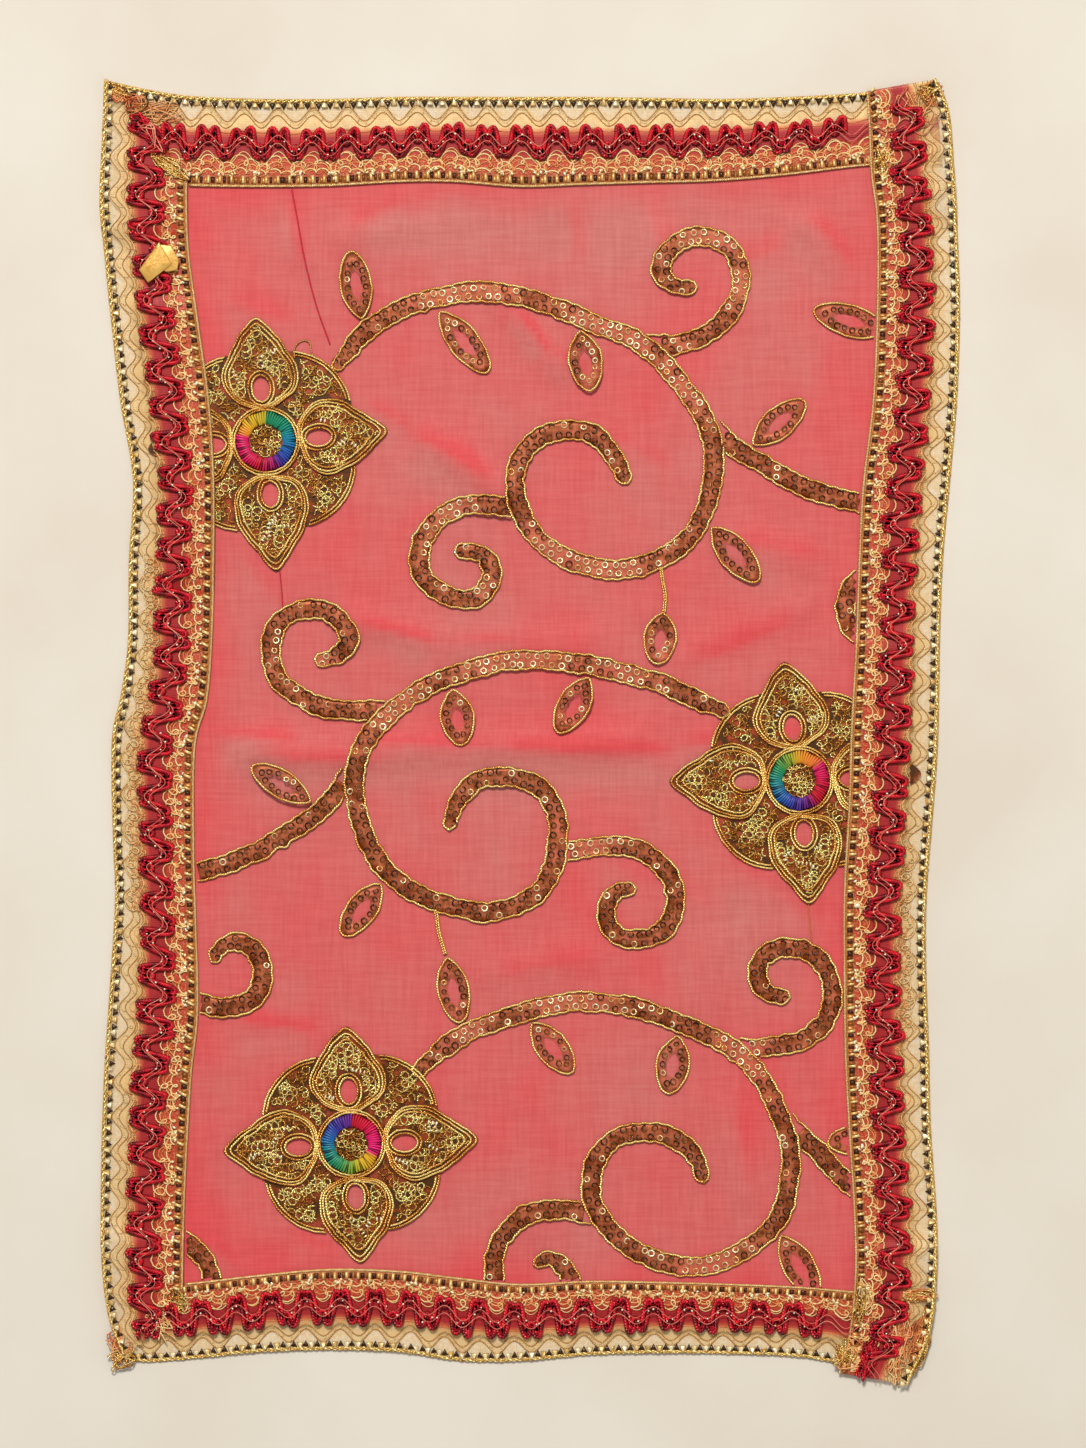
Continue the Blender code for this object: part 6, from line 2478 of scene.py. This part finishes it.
@dataclass
class EmbroideredFlower(SewnPart):
    """A flower of four small petals under four large ones, with gold loops round a thread-wound ring."""

    flower: Flower
    petal_start: float = RING_RADIUS + 0.9
    cord: float = 0.6
    wire: float = 0.42
    row_pitch: float = 3.7
    loop_reach: float = 2.2
    disc_wire: float = 0.36
    disc_pitch: float = 2.0
    disc_reach: float = 1.5
    disc_radius: float = 9.4
    bugle_groups: int = 6  # in a large petal
    wound_radius: float = 11.7  # from the centre to the middle of the winding
    wound_thread: float = 0.68
    turns: int = 64  # of thread round the ring
    turn_steps: int = 11
    bundles: int = 22
    plate_half: float = 0.15  # half the thickness of the ground

    def __post_init__(self) -> None:
        """Finds its height, its petals' angles and its tilt."""
        f = self.flower
        self.name = f.name
        self.centre = np.array((f.x, f.y))
        spots = np.vstack([ellipse(around(24), r, r) + self.centre for r in (0, 32, 64)])
        self.low = float(net_top(spots[:, 0], spots[:, 1]).max()) + SEAM_GAP
        self.tips = [(math.hypot(x, y), math.atan2(y, x)) for x, y in f[3:]]
        self.tilt = math.atan2(f.east[1] - f.west[1], f.east[0] - f.west[0])
        self.draw = Dice(SEED + 300 + int(abs(f.x)))

    def shown(self, line: Line) -> Line:
        """Which points aren't under the lace."""
        return from_sides(line[:, 0], line[:, 1]) > -14.0

    def in_large(self, points: Line, grow: float = 0.0) -> Line:
        """Which flat points lie in one of the large petals.

        Args:
            points: the points, in the world.
            grow: how much larger the petals are taken to be.

        Returns:
            Whether each lies in one.
        """
        found = np.zeros(len(points), bool)
        for reach, angle in self.tips:
            local = turned_flat(points - self.centre, -angle, (0, 0))
            found |= inside_petal(local, reach + grow, LARGE_PETAL_HALF + grow, self.petal_start)
        return found

    def petal(self, reach: float, angle: float, inset: float) -> Line:
        """The outline of a large petal, or a line inside it.

        Args:
            reach: of its tip.
            angle: where it points.
            inset: how far inside its edge the line is.

        Returns:
            Its points in the world.
        """
        root = self.petal_start + inset * 0.6
        flat = petal_outline(reach - inset * 1.9, LARGE_PETAL_HALF - inset, root, 26)
        middle = ((reach + self.petal_start) / 2, 0.0)
        return turned_flat(swayed(rounded(flat), middle, angle * 3), angle, self.centre)

    def plate(self, name: str, outline: Line, height: float, openings: Sequence[Line] = ()) -> Piece:
        """A flat ground inside an outline, with openings.

        Args:
            name: of the piece.
            outline: its flat points.
            height: of its underside.
            openings: each opening's flat points.

        Returns:
            The ground as a mesh, before it has its finish.
        """
        data = bpy.data.curves.new(name, "CURVE")
        data.dimensions = "2D"
        data.fill_mode = "BOTH"
        data.extrude = self.plate_half * MM
        for loop in (outline, *openings):
            spline = data.splines.new("POLY")
            spline.points.add(len(loop) - 1)
            spline.points.foreach_set("co", raised(raised(loop * MM, 0.0), 1.0).ravel())
            spline.use_cyclic_u = True
        obj = linked(name, data)
        graph = bpy.context.evaluated_depsgraph_get()
        mesh = bpy.data.meshes.new_from_object(obj.evaluated_get(graph), depsgraph=graph)
        bpy.data.objects.remove(obj)
        co = np.zeros(len(mesh.vertices) * 3)
        mesh.vertices.foreach_get("co", co)
        co = co.reshape(-1, 3)
        co[:, 2] += (height + self.plate_half) * MM
        mesh.vertices.foreach_set("co", co.ravel())
        mesh.materials.clear()
        mesh.name = name
        store(mesh, "closed", 0.62 + 0.30 * np.sin(co[:, 0] * 900) * np.sin(co[:, 1] * 800))
        return linked(name, mesh)

    def grounds(self) -> None:
        """The grounds of all the petals."""
        turn = around(96)
        lobes = turned_flat(ellipse(turn, lobe_reach(turn), lobe_reach(turn)), self.tilt, self.centre)
        ring = ellipse(turn[::3], RING_RADIUS + 0.5, RING_RADIUS + 0.5) + self.centre
        eyes = [turned_flat(eye_outline(turn[::4]), angle, self.centre) for _, angle in self.tips]
        pieces = [self.plate(self.name + "_small", lobes, self.low, [ring, *eyes])]
        for (reach, angle), eye in zip(self.tips, eyes):
            outline = self.petal(reach, angle, 0.0)
            pieces.append(self.plate(self.name + "_large", outline, self.low + 0.45, [eye]))
        ground = joined(self.name + "_ground", pieces)
        ground.data.materials.append(self.room.material(Cloth.PLATE))
        hand_in(ground, "zari", self.name)

    def lay_cord(self, paths: Paths, flat: Line, height: float) -> None:
        """Lays a cord along flat points where they show.

        Args:
            paths: what to add it to.
            flat: its points, in the world.
            height: how high it lies.
        """
        line = resampled(flat, 1.4)
        line = raised(line + self.draw.normal(0, 0.09, line.shape), height)
        for run in kept_runs(line, self.shown(line)):
            paths.add(run, 0.6 + 0.34 * np.sin(lengths_along(run) * 0.17 + self.draw.uniform(0, 6)))

    def outlines(self) -> None:
        """The double cords round every petal, their eyes and the ring."""
        paths, turn = Paths(), around(30)
        for reach, angle in self.tips:
            for inset in (0.5, 1.9, 3.6):
                self.lay_cord(paths, looped(self.petal(reach, angle, inset)), self.low + 1.25)
            for grow in (0.4, 2.2):
                eye = turned_flat(eye_outline(turn, grow), angle, self.centre)
                self.lay_cord(paths, looped(eye), self.low + 1.3)
        wide = np.linspace(0, math.tau, 200)
        for inset in (0.5, 2.1):
            reach = lobe_reach(wide, inset)
            flat = turned_flat(ellipse(wide, reach, reach), self.tilt, self.centre)
            for run in kept_runs(flat, ~self.in_large(flat, 0.6)):
                self.lay_cord(paths, run, self.low + 0.85)
        for radius in (RING_RADIUS + 0.7, RING_RADIUS + 2.0):
            self.lay_cord(paths, looped(ellipse(turn, radius, radius) + self.centre), self.low + 1.45)
        hand_in(self.room.cords(self.name + "_cords", paths, Yarn.CORD, self.cord), "zari")

    def loop_rows(
        self, low_x: float, high_x: float, half: float, loop_reach: float, pitch: float
    ) -> list[Line]:
        """Rows of small loops over a rectangle, uneven as worked by hand.

        Args:
            low_x: where the rows start.
            high_x: where they end.
            half: half the rectangle's depth.
            loop_reach: half the size of a loop.
            pitch: from one row to the next.

        Returns:
            Each row's points.
        """
        rows, draw = [], self.draw
        for row_y in np.arange(-half, half, pitch):
            run = np.arange(low_x, high_x, 0.45)
            turn = run / 3.2 * math.tau + draw.uniform(0, 6) + 1.1 * np.sin(run * 0.31 + draw.uniform(0, 6))
            size = loop_reach * (1 + 0.25 * np.sin(run * 0.47 + draw.uniform(0, 6)))
            x = run + size * np.cos(turn)
            y = row_y + 0.9 * np.sin(run * 0.23 + draw.uniform(0, 6)) + size * np.sin(turn)
            rows.append(np.stack([x, y], axis=1))
        return rows

    def filling(self) -> None:
        """The gold loops that fill the petals."""
        paths = Paths()
        for reach, angle in self.tips:
            start, half = self.petal_start, LARGE_PETAL_HALF
            for row in self.loop_rows(start, reach, half, self.loop_reach, self.row_pitch):
                inside = inside_petal(row, reach - 5.0, LARGE_PETAL_HALF - 2.6, self.petal_start + 1.8)
                world = turned_flat(row, angle, self.centre)
                self.lay_loops(paths, world, inside & outside_eye(row, 3.0), self.low + 0.95)
        root = RING_RADIUS + 3
        for quarter in range(4):
            turn = self.tilt + math.pi / 4 + quarter * math.pi / 2
            for row in self.loop_rows(root, SMALL_PETAL_REACH, 22.0, self.loop_reach, self.row_pitch):
                world = turned_flat(row, turn, self.centre)
                x, y = turned_flat(row, turn - self.tilt, (0, 0)).T
                far = np.hypot(x, y)
                inside = (far < lobe_reach(np.arctan2(y, x), 2.9)) & (far > root) & ~self.in_large(world, 1.0)
                self.lay_loops(paths, world, inside, self.low + 0.6)
        hand_in(self.room.cords(self.name + "_loops", paths, Yarn.WIRE, self.wire, 3), "zari")

    def lay_loops(self, paths: Paths, flat: Line, inside: Line, height: float) -> None:
        """Adds the stretches of a row of loops that are inside a petal.

        Args:
            paths: what to add them to.
            flat: the row's points.
            inside: which of them are inside.
            height: how high they lie.
        """
        line = raised(flat, height + 0.22 * np.sin(np.arange(len(flat)) * 0.9))
        for run in kept_runs(line, inside & self.shown(line), 4):
            swell = 0.5 * np.sin(np.arange(len(run)) * 0.13 + self.draw.uniform(0, 6))
            paths.add(run, 0.6 + swell * self.draw.uniform(0.5, 1))

    def bugles(self) -> None:
        """The short bright beads among the loops, in small groups: partly beads, partly painted highlights.
        """
        points, draw = Points(), self.draw
        for reach, angle in self.tips:
            for _ in range(self.bugle_groups):
                spot = (draw.uniform(20, reach - 14), draw.uniform(-11, 11))
                slant = draw.uniform(0, math.pi)
                steps = 2.0 * np.arange(int(draw.uniform(2, 5)))
                row = np.stack([spot[0] + steps * math.sin(slant), spot[1] - steps * math.cos(slant)], axis=1)
                inside = inside_petal(row, reach - 7.0, LARGE_PETAL_HALF - 4.5, self.petal_start + 3.0)
                world = turned_flat(row[outside_eye(row, 3.5) & inside], angle, self.centre)
                world = world[self.shown(world)]
                turn = raised(draw.normal(0, 0.15, (len(world), 2)), slant + angle)
                place = raised(world, self.low + 1.55)
                points.add(place, turn, (1.4, 0.6, 0.6), draw.uniform(0.7, 1.0, len(world)))
        bugles = self.room.stamped(self.name + "_bugles", points, Stamp.BEAD, Spangle.BEAD, 0.95, 0.95)
        hand_in(bugles, "zari")

    def winding(self) -> None:
        """The satin thread wound round the ring."""
        count = self.turns * self.turn_steps
        share = np.arange(count) / count
        turn, wind = share * math.tau, share * self.turns * math.tau
        # The thread gathers in bundles, with a crease between one and the next, where the thinner thread is
        # painted in shade.
        crease = np.abs(np.sin(turn * self.bundles / 2 + 0.35 * np.sin(turn * 3)))
        full = smoothstep(0.0, 0.45, crease)
        radius = (self.wound_radius + (2.6 + 0.4 * full) * np.cos(wind)) * (1 + 0.03 * np.cos(turn * 8 + 0.6))
        height = self.low + 1.3 + (0.85 + 0.35 * full) * np.sin(wind)
        line = raised(ellipse(turn, radius, radius) + self.centre, np.maximum(height, self.low + 0.45))
        paths = Paths()
        paths.add(line, (0.25 - share) % 1.0, 0.72 + 0.30 * full, closed=True)
        bands = BandedFinish(self.name + "_thread", RING_BANDS[self.name])
        ring = self.room.cords(self.name + "_winding", paths, bands, self.wound_thread)
        hand_in(ring, "ring", self.name + "_ring")

    def disc_ground(self) -> None:
        """The ground of the disc inside the ring."""
        edge = ellipse(around(32), self.disc_radius, self.disc_radius) + self.centre
        ground = self.plate(self.name + "_disc_ground", edge, self.low + 0.6)
        ground.data.materials.append(self.room.material(Cloth.PLATE))
        hand_in(ground, "ring")

    def disc(self) -> None:
        """The scribbled gold thread of that disc."""
        paths = Paths()
        for row in self.loop_rows(-9.0, 9.0, 9.0, self.disc_reach, self.disc_pitch):
            self.lay_loops(paths, row + self.centre, np.hypot(row[:, 0], row[:, 1]) < 8.7, self.low + 1.5)
        hand_in(self.room.cords(self.name + "_disc", paths, Yarn.WIRE, self.disc_wire, 4), "zari")

    def build(self) -> None:
        """Makes the flower from the ground up."""
        for make in (
            self.grounds, self.outlines, self.filling, self.bugles, self.winding, self.disc_ground, self.disc
        ):
            make()


# ---------------------------------------------------------------- small pieces


@dataclass
class BareStem(SewnPart):
    """A short bare cord that carries a leaf."""

    name: str
    line: list[Place]
    radius: float = 0.55

    def build(self) -> None:
        """Makes the cord as two plies."""
        flat = evenly_spaced(self.line, 1.0)
        base = highest_net(flat, 5.0) + SEAM_GAP + self.radius
        left, paths = sideways(flat), Paths()
        for side in (-0.5, 0.5):
            paths.add(raised(flat + left * side, base + 0.1), 0.55 + 0.2 * side)
        hand_in(self.room.cords(self.name + "_cord", paths, Yarn.CORD, self.radius), "zari", self.name)


# A thread that jumps from one motif to the next, and its radius.
Jump = namedtuple("Jump", "name yarn radius line")
JUMPS = [
    Jump("claret_jump_upper", Yarn.CLARET, 0.36, [
        (-119, 271), (-116, 255), (-112.5, 236), (-107, 214), (-100, 194),
    ]),
    Jump("claret_jump_side", Yarn.CLARET, 0.3, [(-125, 80), (-124, 70), (-123.5, 61)]),
    Jump("orange_jump_lower", Yarn.ORANGE, 0.28, [(139, -86), (140, -96), (141, -107)]),
    Jump("loose_gold_loop", Yarn.WIRE, 0.34, [
        (-117.6, 187), (-117.4, 192.5), (-113.3, 195.8), (-109.9, 194.2), (-109.2, 190), (-107.5, 186),
    ]),
]


@dataclass
class JumpThreads(SewnPart):
    """The threads that jump across the net."""

    clearance: float = 0.35

    def build(self) -> None:
        """Makes each of them."""
        for jump in JUMPS:
            flat = evenly_spaced(jump.line, 2.0)
            paths = Paths()
            paths.add(raised(flat, highest_net(flat, 1.5) + self.clearance + jump.radius), 0.5)
            hand_in(self.room.cords(jump.name, paths, jump.yarn, jump.radius, 4), "net")


@dataclass
class FoilTab(SewnPart):
    """A blank tab of gold foil, folded over on itself."""

    name: str = "gold_tab"
    finish: FoilFinish = FoilFinish("tab_foil", (244, 198, 106), (206, 148, 62))
    steps: int = 10
    step: float = 0.9
    wall: float = 0.25
    crinkle: float = 0.2

    def sheet(self, outline: list[Place], low: float, bow: float) -> Piece:
        """One layer of the tab, bowed up in its middle.

        Args:
            outline: its corners.
            low: its height at the edge.
            bow: how much higher its middle is.

        Returns:
            The layer.
        """
        loop = resampled(np.array([*outline, outline[0]], float), self.step)
        middle = loop.mean(axis=0)
        points, faces, count = [], [], len(loop) - 1
        for ring in range(self.steps):
            share = 1 - ring / self.steps
            flat = middle + (loop[:-1] - middle) * share
            crinkle = np.array([noise.noise((x / 4, y / 4, 2.0)) for x, y in flat])
            points.append(raised(flat, low + bow * (1 - share**2) + self.crinkle * crinkle * (1 - share)))
        last = (self.steps - 1) * count
        for first in range(0, last, count):
            for k in range(count):
                here, after = first + k, first + (k + 1) % count
                faces.append((here, after, after + count, here + count))
        points.append([(*middle, low + bow)])
        faces += [(last + k, last + (k + 1) % count, last + count) for k in range(count)]
        flat = np.vstack(points)
        return linked(self.name, sheet_mesh(self.name, flat, faces, np.ones(len(flat))))

    def build(self) -> None:
        """Makes both layers as one piece."""
        under = float(max(LACES[Side.LEFT].underside(np.arange(3, 7), 0.5)))
        rest = under + LACE_WALL + 0.9 + 2 * SEAM_GAP
        layers = [self.sheet(TAB_FLAP, rest + 0.30, 0.45), self.sheet(TAB_FACE, rest + 0.85, 0.75)]
        for layer in layers:
            thickened(layer, self.wall)
        tab = joined("foil_tab", layers)
        tab.data.materials.clear()
        tab.data.materials.append(self.room.material(self.finish))
        hand_in(tab, "foil", self.name)


@dataclass
class FrayedEnd(SewnPart):
    """The raw end of the lace at a corner, where its threads come loose."""

    start: Place = (187.0, -326.0)
    end: Place = (200.5, -284.0)
    farthest: float = 203.0  # X that no thread reaches past
    between: Place = (-329.0, -280.0)  # the stretch of Y that they keep to
    count: int = 70
    reach: float = 6.5
    root: float = 4.0  # length of a thread before the raw edge
    radius: float = 0.34
    yarns: tuple[Yarn, ...] = (Yarn.EDGE, Yarn.CORD, Yarn.PEACH, Yarn.ORANGE)

    def build(self) -> None:
        """Makes the loose threads, one piece for each yarn."""
        draw = Dice(SEED + 700)
        start, end = np.array(self.start), np.array(self.end)
        run = np.linspace(0, 1, 9)
        books: Book = {}
        for k in range(self.count):
            base = start + (end - start) * ((k + draw.uniform(0.1, 0.9)) / self.count)
            turn = math.radians(draw.uniform(-75, 50))
            reach = self.reach * draw.uniform(0.4, 1.0)
            bend = draw.uniform(-2.5, 2.5)
            ahead, aside = (math.cos(turn), math.sin(turn)), (-math.sin(turn), math.cos(turn))
            flat = base + np.outer(run * reach - self.root, ahead) + np.outer(bend * run**2, aside)
            flat[:, 0] = np.minimum(flat[:, 0], self.farthest)
            flat[:, 1] = np.clip(flat[:, 1], *self.between)
            height = 0.5 + draw.uniform(0, 1.2) + 0.8 * run * draw.uniform(-0.3, 1)
            yarn = self.yarns[min(3, int(draw.uniform(0, 3.5)))]
            books.setdefault(yarn, Paths()).add(raised(flat, height), draw.uniform(0.3, 0.8), 1 - 0.4 * run)
        for yarn, paths in books.items():
            hand_in(self.room.cords(f"frayed_{yarn.value.name}", paths, yarn, self.radius, 3), "lace")


# Threads bunched at a corner: their middle, half the bunch's sizes, its slant, height, yarn, count, thickness
# and lightness.
Bunch = namedtuple("Bunch", "x y reach_x reach_y slant height yarn count thick tint")
BUNCHES = [
    Bunch(-179.0, 282.0, 12, 3.8, -34, 3.7, Yarn.CORD, 4, 1.1, 0.60),
    Bunch(-178.0, 281.5, 10, 3.4, -34, 4.1, Yarn.IVORY, 2, 1.0, 0.80),
    Bunch(-191.0, 300.0, 15, 5.0, -46, 3.4, Yarn.CRIMSON, 4, 2.4, 0.45),
    Bunch(-191.0, 300.0, 14, 4.4, -46, 5.0, Yarn.PINK, 1, 1.0, 0.70),
    Bunch(-198.0, 314.0, 7, 5.0, 10, 3.4, Yarn.PEACH, 3, 1.0, 0.25),
    Bunch(-198.0, 314.0, 8, 6.0, 10, 3.6, Yarn.CORD, 1, 1.0, 0.30),
    Bunch(-206.0, 320.5, 8, 3.6, -25, 3.2, Yarn.CORD, 3, 1.3, 0.55),
    Bunch(-206.0, 318.0, 7, 4.0, -45, 3.2, Yarn.PEACH, 3, 1.1, 0.50),
    Bunch(-184.0, 309.0, 13, 7.5, -12, 1.7, Yarn.PEACH, 3, 0.9, 0.80),
    Bunch(-183.0, 308.0, 13, 7.5, -12, 1.7, Yarn.BRONZE, 1, 0.9, 0.60),
    Bunch(200.0, 320.0, 7, 6.0, 20, 3.6, Yarn.CORD, 4, 1.2, 0.50),
    Bunch(200.0, 319.0, 7, 7.0, 0, 3.6, Yarn.ORANGE, 3, 1.2, 0.60),
    Bunch(192.0, 312.0, 11, 8.0, -20, 3.5, Yarn.PEACH, 4, 0.9, 0.75),
    Bunch(176.0, 285.0, 5, 10.0, 0, 3.7, Yarn.CORD, 3, 1.0, 0.60),
    Bunch(-205.0, -306.0, 7, 10.0, 10, 2.4, Yarn.PEACH, 4, 1.0, 0.55),
    Bunch(-204.0, -313.0, 8, 5.0, 20, 2.6, Yarn.CORD, 3, 1.1, 0.55),
    Bunch(-184.0, -296.0, 7, 11.0, 35, 2.8, Yarn.IVORY, 3, 1.0, 0.75),
    Bunch(-176.0, -283.0, 5, 8.0, 35, 3.0, Yarn.CORD, 3, 1.0, 0.60),
    Bunch(168.0, -280.0, 5, 10.0, 10, 3.7, Yarn.IVORY, 3, 1.0, 0.75),
    Bunch(165.0, -286.0, 4.5, 11.0, -10, 3.8, Yarn.CORD, 2, 1.0, 0.60),
    Bunch(159.0, -311.0, 8, 9.0, -20, 3.7, Yarn.CORD, 5, 1.1, 0.60),
    Bunch(160.0, -311.0, 8, 10.0, -20, 3.5, Yarn.PEACH, 4, 1.2, 0.70),
    Bunch(168.5, -313.0, 4.8, 13.0, -18, 3.5, Yarn.CRIMSON, 5, 2.4, 0.45),
    Bunch(184.5, -306.0, 5.5, 21.0, -8, 3.4, Yarn.PEACH, 6, 1.1, 0.60),
    Bunch(184.0, -308.0, 5, 18.0, -8, 4.0, Yarn.IVORY, 2, 1.0, 0.70),
    Bunch(193.0, -281.5, 11, 3.2, 5, 3.4, Yarn.CORD, 4, 1.0, 0.60),
    Bunch(193.0, -282.0, 11, 4.0, 5, 3.2, Yarn.PEACH, 3, 1.0, 0.60),
    Bunch(195.5, -303.0, 4.5, 20.0, -15, 2.8, Yarn.CORD, 7, 1.3, 0.55),
    Bunch(194.0, -301.0, 4, 16.0, -15, 3.4, Yarn.ORANGE, 3, 1.4, 0.45),
]


@dataclass
class CornerBunches(SewnPart):
    """The threads bunched over the corners, where one length of lace meets the next."""

    radius: float = 0.32
    knots: int = 11
    step: float = 1.1
    thickness: float = 1.2  # of a bunch, in millimetres

    def build(self) -> None:
        """Makes the threads, one piece for each yarn."""
        draw = Dice(SEED + 800)
        books: Book = {}
        for bunch in (bunch for bunch in BUNCHES for _ in range(bunch.count)):
            turn, reach = draw.uniform(0, math.tau, self.knots), np.sqrt(draw.uniform(0, 1, self.knots))
            spots = ellipse(turn, bunch.reach_x * reach, bunch.reach_y * reach)
            flat = evenly_spaced(turned_flat(spots, math.radians(bunch.slant), (bunch.x, bunch.y)), self.step)
            run = lengths_along(flat)
            height = bunch.height + draw.uniform(0, self.thickness) + 0.3 * np.sin(run * 0.4)
            tint = bunch.tint + 0.4 * np.sin(run * 0.35 + draw.uniform(0, 6))
            books.setdefault(bunch.yarn, Paths()).add(raised(flat, height), tint, bunch.thick)
        for yarn, paths in books.items():
            hand_in(self.room.cords(f"bunched_{yarn.value.name}", paths, yarn, self.radius, 4), "lace")


# ---------------------------------------------------------------- studio


@dataclass
class Studio:
    """A pale floor, soft light and a camera that looks straight down."""

    room: Workroom
    floor_size: float = 4.0
    floor_drop: float = 0.05  # below the stole, in millimetres
    floor_finish: FloorFinish = FloorFinish("pale_floor", (224, 217, 204), (217, 208, 192))
    key_power: float = 262.0
    key_size: float = 1.0
    key_place: Spot = (-0.5, 2.9, 4.6)
    key_colour: Spot = (1.0, 0.975, 0.945)
    fill_power: float = 6.0
    fill_size: float = 2.2
    fill_place: Spot = (1.7, -1.2, 1.9)
    fill_colour: Spot = (1.0, 0.98, 0.96)
    world_colour: tuple[float, float, float, float] = (1.0, 0.97, 0.93, 1.0)
    world_strength: float = 0.36

    def floor(self) -> None:
        """Lays the floor just under the stole."""
        half, low = self.floor_size / 2, -self.floor_drop * MM
        mesh = bpy.data.meshes.new("floor")
        corners = [(-half, -half, low), (half, -half, low), (half, half, low), (-half, half, low)]
        mesh.from_pydata(corners, [], [(0, 1, 2, 3)])
        mesh.materials.append(self.room.material(self.floor_finish))
        linked("floor", mesh)

    def light(self, name: str, power: float, size: float, place: Spot, colour: Spot) -> None:
        """Hangs a soft square lamp that faces the stole.

        Args:
            name: of the lamp.
            power: its power.
            size: its size.
            place: where it hangs.
            colour: of its light.
        """
        data = bpy.data.lights.new(name, "AREA")
        data.energy, data.size, data.color = power, size, colour
        lamp = linked(name, data)
        lamp.location = place
        lamp.rotation_euler = (-Vector(place)).to_track_quat("-Z", "Y").to_euler()

    def lights(self) -> None:
        """Sets the lamps and the pale surroundings."""
        self.light("key_light", self.key_power, self.key_size, self.key_place, self.key_colour)
        self.light("fill_light", self.fill_power, self.fill_size, self.fill_place, self.fill_colour)
        world = bpy.data.worlds.new("pale_room")
        world.use_nodes = True
        background = world.node_tree.nodes["Background"]
        background.inputs["Color"].default_value = self.world_colour
        background.inputs["Strength"].default_value = self.world_strength
        bpy.context.scene.world = world
        bpy.context.scene.view_settings.view_transform = "Standard"

    def camera(self) -> None:
        """Hangs the camera over the stole."""
        data = bpy.data.cameras.new("camera")
        data.sensor_fit = "VERTICAL"
        data.sensor_height = SENSOR
        data.lens = SENSOR * VIEW_HEIGHT / VIEW_DEPTH
        data.clip_end = 20.0
        camera = linked("camera", data)
        camera.location = (VIEW_X * MM, VIEW_Y * MM, VIEW_HEIGHT * MM)
        bpy.context.scene.camera = camera


def sub_assemblies(room: Workroom) -> list[SewnPart]:
    """Everything that is sewn or laid on the stole, in the order of making.

    Args:
        room: makes their pieces.

    Returns:
        Each of them, not yet built.
    """
    return [
        NetCloth(room),
        *(LaceBorder(room, side) for side in Side),
        *(Vine(room, name, [VINE_ROOTS[name], *knots]) for name, knots in VINES.items()),
        *(
            Vine(room, name, knots, springs_from=VINES[trunk], tip_at_start=False)
            for name, (trunk, knots) in BRANCHES.items()
        ),
        *(Vine(room, name, knots, VINE_END_STEP, tip_at_start=False) for name, knots in ENDS.items()),
        *(LeafSprig(room, number, leaf) for number, leaf in enumerate(LEAVES, 1)),
        *(EmbroideredFlower(room, flower) for flower in FLOWERS),
        *(BareStem(room, name, [STEM_ROOTS[name], *line]) for name, line in STEMS.items()),
        JumpThreads(room),
        FoilTab(room),
        FrayedEnd(room),
        CornerBunches(room),
    ]


def main() -> None:
    """Builds the studio and every piece of the stole."""
    logging.basicConfig(level=logging.INFO, format="%(message)s")
    room = Workroom()
    studio = Studio(room)
    studio.camera()
    studio.lights()
    studio.floor()
    for part in sub_assemblies(room):
        part.build()


if __name__ == "__main__":
    main()
